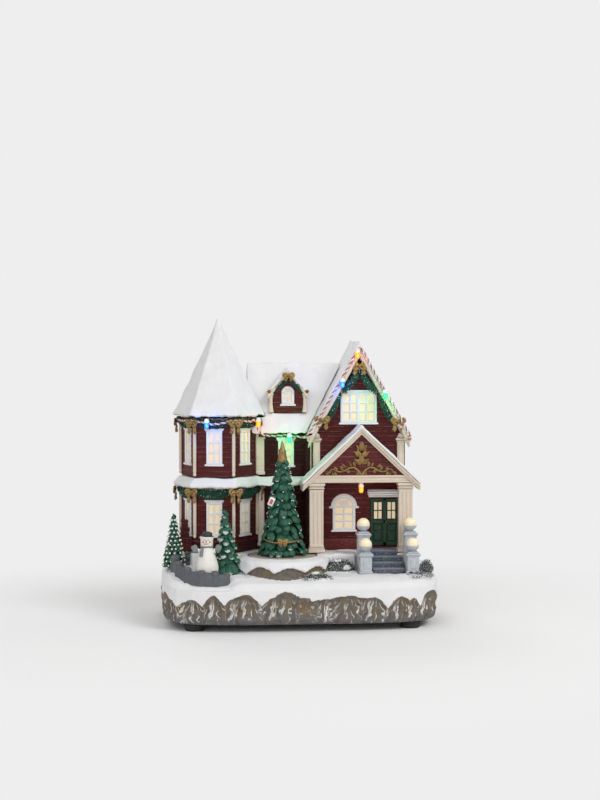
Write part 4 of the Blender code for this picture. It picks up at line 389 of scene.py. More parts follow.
def rock_and_snow(name):
    """Snow over rock. Attributes say how far a point is above the snow line and where it fans."""
    look = Finish(name, 0.62, Specular_IOR_Level=0.35)
    white, rock, ochre = colours().snow, colours().rock, colours().ochre
    line = look.attribute("above") + (look.cloud(1.6, 3) - 0.5) * 1.4
    snow = line.above(0.0, 0.35)
    bent = look.attribute("fan") + (look.cloud(7, 2) - 0.5) * 0.5
    spread = look.node("ShaderNodeCombineXYZ", None, {0: bent * 8.0, 1: look.attribute("reach") * 0.05})
    streak = look.node("ShaderNodeTexNoise", None, {"Vector": spread, "Scale": 1.0, "Detail": 4.0}, "Fac")
    low = look.height()
    brushed = streak.above(0.56, 0.035) * look.cloud(8, 3).above(0.44, 0.14) * (1 - low.above(24, 7))
    cut = (1 - streak).above(0.58, 0.06) * (1 - low.above(26, 7))
    stone = look.mix(look.cloud(4, 4), dark(rock, 0.55), bright(rock, 1.35))
    stone = look.mix(look.cloud(11, 3).above(0.54, 0.14) * 0.6, stone, ochre)
    foot = 1 - look.height().above(13.5, 7)
    stone = look.mix(foot * 0.5, stone, (0.125, 0.13, 0.15))
    stone = look.mix(cut * 0.6, stone, dark(rock, 0.35))
    # painted shade: darker rock in the hollows
    stone = look.mix(look.hollow(2.0).above(0.5, 0.6) * 0.7, stone, dark(rock, 0.3))
    stone = look.mix(brushed * 0.85, stone, (0.72, 0.71, 0.70))
    shade = look.mix(look.cloud(12, 3).above(0.5, 0.4) * 0.4, white, dark(white, 0.92))
    # painted shade: grey snow in the hollows
    shade = look.mix(look.hollow(2.6).above(0.6, 0.7) * 0.55, shade, (0.46, 0.47, 0.50))
    look.feed("Base Color", look.mix(snow, stone, shade))
    look.feed("Roughness", 0.55 + look.cloud(1.2) * 0.2)
    carve = streak * 0.9 + look.cloud(2.2, 4) * 0.8
    soft = look.cloud(2.2, 4) * 0.45
    return look.bump(carve * (1 - snow) + soft * snow, 0.30)


def recess_paint(name):
    look = Finish(name, 0.7)
    base = look.mix(look.cloud(5, 4), (0.30, 0.245, 0.20), (0.50, 0.44, 0.38))
    base = look.mix(look.specks(1.2, 0.2) * 0.4, base, (0.75, 0.73, 0.70))
    return look.feed("Base Color", base).bump(look.cloud(1.2, 4), 0.15)


def speckled(name, colour, speck, spacing, share, roughness=0.6, edge=None):
    """Stone with fine specks, and paler where an edge is tinted."""
    look = Finish(name, roughness, Specular_IOR_Level=0.4)
    base = look.mix(look.cloud(3, 3), dark(colour, 0.75), bright(colour, 1.25))
    base = look.mix(look.specks(spacing, share) * look.cloud(2).above(0.42, 0.2) * 0.6, base, speck)
    # painted shade: darker stone in corners and grooves
    base = look.mix(look.hollow(1.5).above(0.5, 0.6) * 0.6, base, dark(colour, 0.35))
    if edge:
        base = look.mix(look.attribute("tint").above(0.6, 0.5) * 0.7, base, edge)
    return look.painted(base, roughness - 0.1 + look.cloud(1.2) * 0.25, look.cloud(1.0, 3), 0.10)


def globe_paint(name):
    # a faint painted glow: the globes hold no lamp
    look = Finish(name, 0.4, Emission_Strength=0.06)
    globe = colours().globe
    # lighter where it faces up and darker below: painted shade
    base = look.mix(look.facing_up().above(0.1, 1.1), (0.74, 0.60, 0.36), pale(globe, 0.30))
    base = look.mix(look.cloud(2.4, 2) * 0.3, base, (0.9, 0.86, 0.74))
    look.feed("Base Color", base).feed("Emission Color", base).feed("Roughness", 0.32 + look.cloud(3) * 0.2)
    return look.bump(look.cloud(1.5), 0.03)


def leafy_bush_paint(name):
    look = Finish(name, 0.6)
    base = look.mix(look.cloud(2, 3), (0.018, 0.026, 0.020), (0.07, 0.085, 0.075))
    frost_and_highlight = (look.attribute("tint") + look.cloud(0.9, 2)).above(0.86, 0.12)
    base = look.mix(frost_and_highlight * 0.9, base, (0.74, 0.76, 0.78))
    return look.feed("Base Color", base).bump(look.cloud(0.6, 3), 0.1)


def door_paint(name):
    look = Finish(name, 0.42, Specular_IOR_Level=0.45)
    green = colours().door
    base = look.mix(look.cloud(4, 3), dark(green, 0.75), bright(green, 1.4))
    # painted shade: darker green in the corners and grooves of the panels
    base = look.mix(look.hollow(1.2).above(0.45, 0.5) * 0.7, base, dark(green, 0.25))
    base = look.mix(look.specks(1.7, 0.13) * look.cloud(3).above(0.52, 0.1) * 0.7, base, (0.45, 0.55, 0.48))
    return look.painted(base, 0.34 + look.cloud(1.5) * 0.25, look.cloud(0.9, 3), 0.07)


def plain_paint(name, colour, roughness=0.5, grain=1.2, depth=0.04, swing=0.25, **fixed):
    """A moulded or cast finish with a soft mottle and a fine grain."""
    look = Finish(name, roughness, **fixed)
    base = look.mix(look.cloud(4, 3), dark(colour, 1 - swing), bright(colour, 1 + swing))
    return look.painted(base, roughness - 0.07 + look.cloud(grain * 2) * 0.16, look.cloud(grain, 3), depth)


def strand_paint(name, colour):
    """Twisted yarn with fine fibres."""
    look = Finish(name, 0.85, Sheen_Weight=0.3)
    fibre = look.cloud(0.35, 3)
    base = look.mix(fibre, dark(colour, 0.75), pale(colour, 0.12))
    return look.feed("Base Color", base).bump(fibre, 0.05)


def lamp_paint(name, colour, glow):
    """Clear coloured plastic lit from inside."""
    look = Finish(name, 0.18, Emission_Strength=glow, Coat_Weight=0.5)
    base = look.mix(look.cloud(2.0, 2) * 0.5, colour, dark(colour, 0.7))
    return look.feed("Base Color", base).feed("Emission Color", base).bump(look.cloud(1.6), 0.03)


def brushed_metal(name, colour):
    look = Finish(name, 0.32, Metallic=1.0)
    lines = look.cloud(0.5, 3, 0.6, look.stretched(1, 1, 0.08))
    base = look.mix(lines, dark(colour, 0.8), colour)
    return look.feed("Base Color", base).feed("Roughness", 0.25 + lines * 0.2).bump(lines, 0.03)


PAINTS = {
    "snow": snow_paint,
    "clapboard": clapboard_paint,
    # the clapboard darkened to paint the shade on the set-back centre wall
    "deep_clapboard": lambda name: clapboard_paint(name, 0.42),
    "cream": lambda name: aged_paint(name, colours().cream, (0.26, 0.19, 0.13)),
    "frame": lambda name: aged_paint(name, colours().frame_white, (0.38, 0.34, 0.29), 0.45, 0.5),
    "pane": pane_paint,
    "ground": rock_and_snow,
    "recess": recess_paint,
    "fir": fir_paint,
    "gold": gold_paint,
    "post": lambda name: speckled(name, colours().stone, (0.66, 0.68, 0.72), 2.6, 0.10, 0.55),
    "granite": lambda name: speckled(
        name, colours().granite, (0.55, 0.57, 0.62), 0.95, 0.27, 0.6, (0.25, 0.27, 0.33)
    ),
    "wall_stone": lambda name: speckled(name, (0.100, 0.107, 0.115), (0.32, 0.33, 0.35), 2.2, 0.10),
    "globe": globe_paint,
    "leafy_bush": leafy_bush_paint,
    "door": door_paint,
    "snowman": lambda name: aged_paint(name, (0.80, 0.78, 0.72), (0.50, 0.44, 0.34), 0.55, 0.5),
    "hat": lambda name: plain_paint(name, (0.018, 0.020, 0.019), 0.45, 0.8),
    "mitten": lambda name: plain_paint(name, (0.17, 0.20, 0.19), 0.6, 0.7, 0.08),
    "cheek": lambda name: plain_paint(name, (0.55, 0.09, 0.10), 0.5),
    "candy_white": lambda name: plain_paint(name, (0.80, 0.78, 0.77), 0.35),
    "bead": lambda name: plain_paint(name, (0.78, 0.77, 0.70), 0.35),
    "twine_red": lambda name: strand_paint(name, (0.42, 0.035, 0.055)),
    "twine_white": lambda name: strand_paint(name, (0.80, 0.74, 0.72)),
    "socket": lambda name: plain_paint(name, (0.78, 0.72, 0.74), 0.35, Coat_Weight=0.3),
    "lamp_blue": lambda name: lamp_paint(name, (0.03, 0.14, 1.0), 1.5),
    "lamp_green": lambda name: lamp_paint(name, (0.02, 0.90, 0.14), 1.4),
    "lamp_orange": lambda name: lamp_paint(name, (1.0, 0.26, 0.02), 1.3),
    "black_plastic": lambda name: plain_paint(name, (0.022, 0.022, 0.025), 0.5, 0.5, 0.05),
    "rubber": lambda name: plain_paint(name, (0.014, 0.014, 0.014), 0.8, 0.6, 0.05),
    "jacket": lambda name: plain_paint(name, (0.07, 0.08, 0.10), 0.3, 3, 0.02, 0.4, Metallic=0.4),
    "switch_body": lambda name: plain_paint(name, (0.25, 0.26, 0.28), 0.35, Metallic=0.6),
    "knob": lambda name: plain_paint(name, (0.72, 0.72, 0.70), 0.5),
    "board": lambda name: plain_paint(name, (0.02, 0.13, 0.06), 0.4, 2, 0.03, 0.4),
    "gear": lambda name: plain_paint(name, (0.78, 0.75, 0.66), 0.45),
    "motor": lambda name: brushed_metal(name, (0.52, 0.53, 0.55)),
    "spindle": lambda name: brushed_metal(name, (0.66, 0.66, 0.68)),
}
mixed = {}


def paint(name):
    """The material of a finish, made the first time it is asked for."""
    if name not in mixed:
        mixed[name] = PAINTS[name](name + "_paint").material
    return mixed[name]


def about(middle, half):
    """The two limits that lie half a width from a middle."""
    return middle - half, middle + half


class Clay:
    """Points and faces in millimetres, gathered from closed shapes, with a paint and a tint."""

    def __init__(self):
        self.points = []
        self.faces = []
        self.paints = []
        self.tints = []

    def add(self, points, faces, paint_index=0, tint=0.0, place=None):
        first = len(self.points)
        for point in points:
            self.points.append(place @ Vector(point) if place else Vector(point))
        self.tints.extend(tint if isinstance(tint, list) else [tint] * len(points))
        for face in faces:
            self.faces.append([first + index for index in face])
            self.paints.append(paint_index)

    def slab(self, x, y, z, bevel=0.3, paint_index=0, tint=0.0, place=None, wobble=0.0, seed=0):
        """A block with chamfered edges between two limits on each axis."""
        middle = Vector(((x[0] + x[1]) / 2, (y[0] + y[1]) / 2, (z[0] + z[1]) / 2))
        half = Vector(((x[1] - x[0]) / 2, (y[1] - y[0]) / 2, (z[1] - z[0]) / 2))
        bevel = min(bevel, half.x * 0.8, half.y * 0.8, half.z * 0.8)
        luck = random.Random(seed)
        points = []
        spots = {}
        for corner in CORNERS:
            shift = Vector((luck.uniform(-wobble, wobble), 0, luck.uniform(-wobble, wobble)))
            for axis in range(3):
                reach = [half[i] - (0 if i == axis else bevel) for i in range(3)]
                spots[corner, axis] = len(points)
                points.append(middle + shift + Vector([corner[i] * reach[i] for i in range(3)]))
        faces = []
        for axis in range(3):
            u, v = (axis + 1) % 3, (axis + 2) % 3
            for sign in (-1, 1):
                ring = []
                for a, b in ((-1, -1), (1, -1), (1, 1), (-1, 1)):
                    corner = [0, 0, 0]
                    corner[axis], corner[u], corner[v] = sign, a, b
                    ring.append(spots[tuple(corner), axis])
                faces.append(ring)
            for a in (-1, 1):
                for b in (-1, 1):
                    low, high = [0, 0, 0], [0, 0, 0]
                    low[axis], low[u], low[v] = -1, a, b
                    high[axis], high[u], high[v] = 1, a, b
                    low, high = tuple(low), tuple(high)
                    faces.append([spots[low, u], spots[high, u], spots[high, v], spots[low, v]])
        for corner in CORNERS:
            faces.append([spots[corner, axis] for axis in range(3)])
        self.add(points, faces, paint_index, tint, place)

    def rings(self, rings, paint_index=0, tint=0.0, place=None):
        """A skin over rings of equal count, closed with a cap at each end."""
        count = len(rings[0])
        points = [point for ring in rings for point in ring]
        faces = []
        for level in range(len(rings) - 1):
            for k in range(count):
                near, far = level * count, (level + 1) * count
                faces.append([near + k, near + (k + 1) % count, far + (k + 1) % count, far + k])
        faces.append(list(range(count))[::-1])
        faces.append([len(points) - count + k for k in range(count)])
        self.add(points, faces, paint_index, tint, place)

    def turned(self, centre, profile, sides=24, paint_index=0, tint=0.0, place=None, flute=None):
        """A shape turned on a lathe from (radius, height) steps; flute changes the radius by angle."""
        rings = []
        for radius, level in profile:
            ring = []
            for k in range(sides):
                angle = 2 * pi * k / sides
                far = max(radius, 0.02) * (flute(angle, level) if flute else 1)
                ring.append(Vector((centre[0] + far * cos(angle), centre[1] + far * sin(angle), level)))
            rings.append(ring)
        self.rings(rings, paint_index, tint, place)

    def tube(self, path, radius, sides=8, paint_index=0, tint=0.0, place=None, flat=1.0, face=None):
        """A round or flattened bar along a path; the radius may change, and face says which way is flat."""
        path = [Vector(point) for point in path]
        radii = radius if isinstance(radius, list) else [radius] * len(path)
        rings = []
        side = None
        for index, point in enumerate(path):
            along = (path[min(index + 1, len(path) - 1)] - path[max(index - 1, 0)]).normalized()
            if face is not None:
                side = along.cross(Vector(face))
            elif side is None:
                side = along.cross(UP if abs(along.z) < 0.9 else FRONT)
            side = (side - along * side.dot(along)).normalized()
            other = side.cross(along).normalized()
            ring = []
            for k in range(sides):
                angle = 2 * pi * (k + 0.5) / sides
                across = radii[index] * cos(angle)
                ring.append(point + side * across + other * (radii[index] * flat * sin(angle)))
            rings.append(ring)
        self.rings(rings, paint_index, tint, place)

    def leaf(self, base, tip, face, width, thick=0.5, paint_index=0, lift=0.25, tint=(0.0, 1.0)):
        """A pointed leaf from its base to its tip, with a raised back."""
        base, tip, face = Vector(base), Vector(tip), Vector(face)
        along = tip - base
        side = along.cross(face).normalized()
        out = side.cross(along).normalized()
        middle = base + along * 0.42 + out * (along.length * lift * 0.35)
        points = [
            base,
            middle + side * width / 2,
            middle - side * width / 2,
            middle + out * thick,
            middle - out * thick * 0.6,
            tip,
        ]
        faces = [[0, 1, 3], [0, 3, 2], [0, 2, 4], [0, 4, 1], [5, 3, 1], [5, 2, 3], [5, 4, 2], [5, 1, 4]]
        low, high = tint
        middle_tint = low + (high - low) * 0.35
        self.add(points, faces, paint_index, [low] + [middle_tint] * 4 + [high])

    def lump(self, centre, size, detail=3, rough=0.12, seed=0, paint_index=0):
        """A rounded lump with an uneven skin."""
        shape = bmesh.new()
        bmesh.ops.create_icosphere(shape, subdivisions=detail, radius=1)
        shape.verts.index_update()
        shift = Vector((seed * 7.3, seed * 3.1, seed * 5.7))
        points = []
        for vert in shape.verts:
            swell = 1 + rough * noise.noise(vert.co * 1.6 + shift) + rough * 0.35 * noise.noise(vert.co * 5 + shift)
            points.append(Vector([centre[i] + vert.co[i] * size[i] * swell for i in range(3)]))
        faces = [[vert.index for vert in face.verts] for face in shape.faces]
        shape.free()
        self.add(points, faces, paint_index)


def linked(name, data):
    """A new object in the scene."""
    thing = bpy.data.objects.new(name, data)
    bpy.context.scene.collection.objects.link(thing)
    return thing


def mesh_of(name, clay):
    """A mesh in metres from clay in millimetres, with its faces turned outwards."""
    mesh = bpy.data.meshes.new(name)
    mesh.from_pydata([tuple(point * MM) for point in clay.points], [], clay.faces)
    mesh.polygons.foreach_set("material_index", clay.paints)
    tint = mesh.attributes.new("tint", "FLOAT", "POINT")
    tint.data.foreach_set("value", clay.tints)
    shape = bmesh.new()
    shape.from_mesh(mesh)
    bmesh.ops.recalc_face_normals(shape, faces=shape.faces)
    shape.to_mesh(mesh)
    shape.free()
    return mesh


def make(name, source, paints, body="house", nodes=(), angle=40):
    """Makes a piece from clay or a mesh: paints it, smooths it, and sets it on its body."""
    mesh = mesh_of(name, source) if isinstance(source, Clay) else source
    mesh.name = name
    for finish in paints:
        mesh.materials.append(paint(finish))
    mesh.shade_smooth()
    if angle < 180:
        mesh.set_sharp_from_angle(angle=radians(angle))
    piece = linked(name, mesh)
    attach(piece, body)
    if nodes:
        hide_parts(*nodes)
    return piece


def dress(node, clay, finishes, body="house", angle=35):
    """Makes the piece that takes a solid's place."""
    return make(node + "_dressed", clay, finishes, body, [node], angle)


def copy_of(node):
    """A solid's own shape as a new mesh, with the split points joined."""
    shape = bmesh.new()
    shape.from_mesh(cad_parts[node].data)
    bmesh.ops.remove_doubles(shape, verts=shape.verts, dist=2e-6)
    mesh = bpy.data.meshes.new(node + "_shape")
    shape.to_mesh(mesh)
    shape.free()
    mesh.materials.clear()
    return mesh


def remeshed(mesh, grain):
    """The same shape with an even mesh whose spacing is given in metres."""
    helper = linked("helper", mesh)
    even = helper.modifiers.new("even", "REMESH")
    even.mode = "VOXEL"
    even.voxel_size = grain
    even.adaptivity = 0.0
    bpy.context.view_layer.update()
    graph = bpy.context.evaluated_depsgraph_get()
    result = bpy.data.meshes.new_from_object(helper.evaluated_get(graph))
    bpy.data.objects.remove(helper)
    bpy.data.meshes.remove(mesh)
    result.materials.clear()
    return result


def reshape(mesh, move):
    """Moves each point by a function of its place and normal, in millimetres."""
    normals = [Vector(item.vector) for item in mesh.vertex_normals]
    for vert, normal in zip(mesh.vertices, normals):
        vert.co = Vector(move(vert.co * 1000, normal)) * MM
    mesh.update()
    return mesh


def value_on(mesh, name, values):
    mesh.attributes.new(name, "FLOAT", "POINT").data.foreach_set("value", values)


def wave(point, size, seed=0.0):
    """Smooth noise from about -1 to 1 with features of a size in millimetres."""
    return noise.noise(Vector(point) / size + Vector((seed, seed * 1.7, seed * 0.6)))


def smooth_route(points, spacing):
    """Even points on a smooth curve through given ones."""
    points = [Vector(point) for point in points]
    dense = []
    for index in range(len(points) - 1):
        p0 = points[max(0, index - 1)]
        p1, p2 = points[index], points[index + 1]
        p3 = points[min(len(points) - 1, index + 2)]
        for k in range(12):
            t = k / 12
            square = (2 * p0 - 5 * p1 + 4 * p2 - p3) * t * t
            cube = (3 * p1 - p0 - 3 * p2 + p3) * t * t * t
            dense.append(0.5 * (2 * p1 + (p2 - p0) * t + square + cube))
    dense.append(points[-1])
    route = [dense[0]]
    walked = 0.0
    for index in range(1, len(dense)):
        walked += (dense[index] - dense[index - 1]).length
        if walked >= spacing:
            route.append(dense[index])
            walked = 0.0
    if (route[-1] - dense[-1]).length > spacing * 0.4:
        route.append(dense[-1])
    return route


def heading(angle):
    """The way on the ground that lies at an angle from +X."""
    return Vector((cos(angle), sin(angle), 0))


def tower_frame(turn, reach):
    """Places a shape whose X runs along a tower face, whose -Y looks out, and whose Z is up."""
    angle = TOWER_TURN + pi / 6 + turn * pi / 3
    out = heading(angle)
    side = Vector((-out.y, out.x, 0))
    spot = TOWER + out * reach
    return Matrix((
        (side.x, -out.x, 0, spot.x),
        (side.y, -out.y, 0, spot.y),
        (0, 0, 1, 0),
        (0, 0, 0, 1),
    ))


def tower_corner(index, reach):
    """The place of one of the tower's corners, pushed out to a reach from its axis."""
    return TOWER + heading(TOWER_TURN + index * pi / 3) * reach


APOTHEM = TOWER_WALL_REACH * cos(pi / 6)


def boards(mesh, is_outer, push):
    """Carves clapboards: each leans out to a lip at its lower edge. Only outer points move."""
    pitch, lip = sizes().board_pitch * 1000, sizes().board_lip * 1000
    low, notch = BOARDS_LOW, 0.28
    shape = bmesh.new()
    shape.from_mesh(mesh)
    tops = [vert.co.z * 1000 for vert in shape.verts]
    count = int((max(tops) - low) / pitch) + 1
    for step in range(count + 1):
        for level in (low + step * pitch, low + step * pitch - notch):
            if min(tops) < level < max(tops) - 0.05:
                bmesh.ops.bisect_plane(
                    shape,
                    geom=shape.verts[:] + shape.edges[:] + shape.faces[:],
                    dist=1e-6,
                    plane_co=(0, 0, level * MM),
                    plane_no=(0, 0, 1),
                )
    for vert in shape.verts:
        point = vert.co * 1000
        if point.z < low - 0.01 or not is_outer(point):
            continue
        share = ((point.z - low) % pitch) / pitch
        if share > 1 - 0.02 / pitch:
            share = 0.0
        out = lip * max(0.0, 1 - share / (1 - notch / pitch))
        vert.co = Vector(push(point, out)) * MM
    shape.to_mesh(mesh)
    shape.free()
    return mesh


def hex_reach(point):
    """How far a point is from the tower's axis, square to the nearest wall."""
    flat = Vector((point.x, point.y, 0)) - TOWER
    return max(flat.dot(heading(TOWER_TURN + pi / 6 + k * pi / 3)) for k in range(6))


class VILLAGE_OT_walls(bpy.types.Operator):
    """Clapboard walls of the tower, the wing, the centre and the dormer"""

    bl_idname = "village.walls"
    bl_label = "Walls"

    def execute(self, context):
        def tower_outer(point):
            return abs(hex_reach(point) - APOTHEM) < 0.12

        def tower_push(point, out):
            scale = 1 + out / APOTHEM
            return (
                TOWER.x + (point.x - TOWER.x) * scale,
                TOWER.y + (point.y - TOWER.y) * scale,
                point.z,
            )

        for node in ("tower_lower_wall", "tower_upper_wall"):
            make(node + "_boards", boards(copy_of(node), tower_outer, tower_push), ["clapboard"],
                 nodes=[node], angle=25)

        def block(limits, front_only=False):
            left, right, front, back = limits

            def outer(point):
                on_side = abs(point.x - left) < 0.08 or abs(point.x - right) < 0.08
                on_front = abs(point.y - front) < 0.08 or abs(point.y - back) < 0.08
                return on_front or (on_side and not front_only)

            def push(point, out):
                x, y, z = point
                if abs(x - left) < 0.08 and not front_only:
                    x -= out
                if abs(x - right) < 0.08 and not front_only:
                    x += out
                if abs(y - front) < 0.08:
                    y -= out
                if abs(y - back) < 0.08:
                    y += out
                return x, y, z

            return outer, push

        for node, limits, front_only in (
            ("wing_wall", (WING_X - WING_HALF, WING_X + WING_HALF, 0, 52), False),
            ("centre_wall", (-39, 12.7, CENTRE_FRONT, 46), True),
            ("dormer_wall", (DORMER_X - 15.2, DORMER_X + 15.2, 8, 20), False),
        ):
            outer, push = block(limits, front_only)
            # the set-back centre wall gets the clapboard darkened as a painted shade
            finish = "deep_clapboard" if node == "centre_wall" else "clapboard"
            make(
                node + "_boards", boards(copy_of(node), outer, push), [finish], nodes=[node],
                angle=25,
            )
        return {"FINISHED"}


def snow_skin(node, eave, drip, seed):
    """Rounds and swells a roof's solid into packed snow with an uneven hanging edge."""
    mesh = remeshed(copy_of(node), sizes().snow_grain)
    swell = sizes().snow_lump * 1000

    def move(point, normal):
        soft = wave(point, 11.0, seed) * swell + wave(point, 3.6, seed + 4) * swell * 0.22
        if normal.z < -0.3:
            soft *= 0.35
        moved = point + normal * (soft - swell * 0.15)
        if point.z > SPIRE_BEND:
            moved += Vector((-1.2, 0, 1.1)) * min(1.0, (point.z - SPIRE_BEND) / SPIRE_RISE)
        depth = eave(point)
        if depth > 0:
            here = (point.x, point.y, 0)
            hang = 0.55 + 0.9 * wave(here, 6.0, seed + 9) + 0.5 * wave(here, 2.8, seed)
            moved.z -= depth * drip * hang
        return moved

    return reshape(mesh, move)


def near_edge(level, slope_height):
    """1 at an eave's level, falling to 0 a little above it."""
    return lambda point: max(0.0, min(1.0, 1 - (point.z - level) / slope_height))


class VILLAGE_OT_snow_roofs(bpy.types.Operator):
    """Snow on the spire, the tower's skirt, and the main, wing, dormer and porch roofs"""

    bl_idname = "village.snow_roofs"
    bl_label = "Snow roofs"

    def execute(self, context):
        for node, level, tall, drip, seed in (
            ("tower_spire", 168.3, 6.0, -1.6, 1.0),
            ("tower_skirt_roof", TOWER_SPLIT + 0.3, 4.5, 1.0, 2.0),
            ("main_roof", 153.0, 6.0, 1.9, 3.0),
            ("wing_roof", 153.0, 6.0, 1.5, 4.0),
            ("dormer_roof", 186.5, 3.0, 1.0, 5.0),
        ):
            mesh = snow_skin(node, near_edge(level, tall), drip, seed)
            make(node + "_snow", mesh, ["snow"], nodes=[node], angle=180)
        return {"FINISHED"}


# Turns of the snow's lower edge along the front, as (share of the half width, height).
FRONT_EDGE = [
    (-0.993, 26.2), (-0.980, 29.8), (-0.947, 25.0), (-0.903, 20.2), (-0.788, 26.2), (-0.722, 20.8), (-0.645, 30.3),
    (-0.568, 21.7), (-0.505, 27.8), (-0.416, 30.8), (-0.302, 21.2), (-0.211, 28.8), (-0.134, 33.0), (-0.049, 29.1),
    (0.050, 25.2), (0.177, 26.6), (0.319, 29.0), (0.410, 26.8), (0.496, 27.5), (0.588, 18.4), (0.688, 27.4),
    (0.752, 24.0), (0.781, 25.8), (0.830, 18.0), (0.888, 29.5), (0.944, 30.2), (0.975, 25.2), (0.992, 20.8),
]
# The same at the mound's foot, as (angle from the mound's middle in degrees, height).
MOUND_EDGE = [
    (-184, 50.0), (-163, 48.0), (-142, 44.0), (-121, 50.6), (-103, 45.8), (-86, 50.2), (-67, 46.3), (-48, 50.4),
    (-33, 47.0), (-16, 51.0), (2, 48.0),
]


def outline_point(angle):
    c, s = cos(angle), sin(angle)
    power = 2 / BASE_POWER
    return Vector((
        BASE_HALF[0] * copysign(abs(c) ** power, c), BASE_HALF[1] * copysign(abs(s) ** power, s), 0,
    ))


def walk_round(first, last, count):
    """Angles and distances of small steps along the base's outline."""
    walk = [first + (last - first) * k / count for k in range(count + 1)]
    walked = [0.0]
    for near, far in zip(walk, walk[1:]):
        walked.append(walked[-1] + (outline_point(far) - outline_point(near)).length)
    return walk, walked


def snow_edge():
    """(distance round the outline, height) of each turn in the snow's lower edge."""
    turns = []
    for share, height in FRONT_EDGE:
        c = copysign(abs(share) ** (BASE_POWER / 2), share)
        turns.append((atan2(-sqrt(1 - c * c), c) % (2 * pi), height))
    last = turns[-1][0]
    walk, walked = walk_round(last, turns[0][0] + 2 * pi, 2000)
    count = 2 * round(walked[-1] / 10 / 2)
    for k in range(1, count):
        reached = walked[-1] * k / count
        after = next(index for index, far in enumerate(walked) if far >= reached)
        swing = 4.2 * (1 if k % 2 else -1) * (0.75 + 0.25 * sin(2.4 * k))
        turns.append((walk[after], 25.8 + swing))
    walk, walked = walk_round(0, 2 * pi, ROUND_STEPS)
    steps = [round(angle % (2 * pi) / (2 * pi) * ROUND_STEPS) for angle, _ in turns]
    return sorted((walked[step], height) for step, (_, height) in zip(steps, turns)), walked


SNOW_EDGE, ROUND_WALK = snow_edge()


def edge_at(turns, where, around):
    """Height of a scalloped edge, and the place and height of the lobe that a point is on."""
    after = next((k for k, turn in enumerate(turns) if turn[0] > where), 0)
    near, far = turns[after - 1], turns[after]
    share = ((where - near[0]) % around) / max(0.01, (far[0] - near[0]) % around)
    low, high = (near, far) if far[1] > near[1] else (far, near)
    climb = share if far[1] > near[1] else 1 - share
    aside = (where - high[0] + around / 2) % around - around / 2
    return low[1] + (high[1] - low[1]) * sin(climb * pi / 2), aside, high[1]


def ground_line(point):
    power = BASE_POWER / 2
    angle = atan2(
        copysign(abs(point.y / BASE_HALF[1]) ** power, point.y),
        copysign(abs(point.x / BASE_HALF[0]) ** power, point.x),
    ) % (2 * pi)
    return edge_at(SNOW_EDGE, ROUND_WALK[round(angle / (2 * pi) * ROUND_STEPS)], ROUND_WALK[-1])


def mound_line(point):
    angle = degrees(atan2(point.y - TREE.y, point.x - TREE.x))
    if angle > 90:
        angle -= 360
    if not MOUND_EDGE[0][0] < angle < MOUND_EDGE[-1][0]:
        return None, 0.0, 0.0
    line, aside, peak = edge_at(MOUND_EDGE, angle, 1e6)
    return line, aside * 0.66, peak


def round_garden(point):
    """How far a point is outside the garden wall's middle line, and its angle round the garden."""
    across, deep = ((spot - middle) / half for spot, middle, half in zip(point, GARDEN, GARDEN_REACH))
    return (hypot(across, deep) - 1) * 34, degrees(atan2(deep, across)) % 360


def garden_dip(degrees):
    """How far the garden wall and the snow before it lie below the solid's, by the angle round the garden."""
    return 3.4 * max(0.0, min(1.0, (degrees - 200) / 35)) * max(0.0, min(1.0, (303 - degrees) / 12))


BUSHES = [
    ((32, -33.5, 45.5), (12.5, 6.2, 7.5), 330),
    ((12, -58.5, 40.5), (11.5, 5.0, 5.0), 230),
    ((102, -40, 44.0), (5.0, 8.5, 8.5), 260),
]


def ground_height(y):
    return 41.0 + 5.5 * min(1.0, max(0.0, (y + 70) / 58))


def in_bush(point):
    return any(
        sum(((point[i] - centre[i]) / (size[i] + 0.5)) ** 2 for i in range(3)) < 1 for centre, size, _ in BUSHES
    )


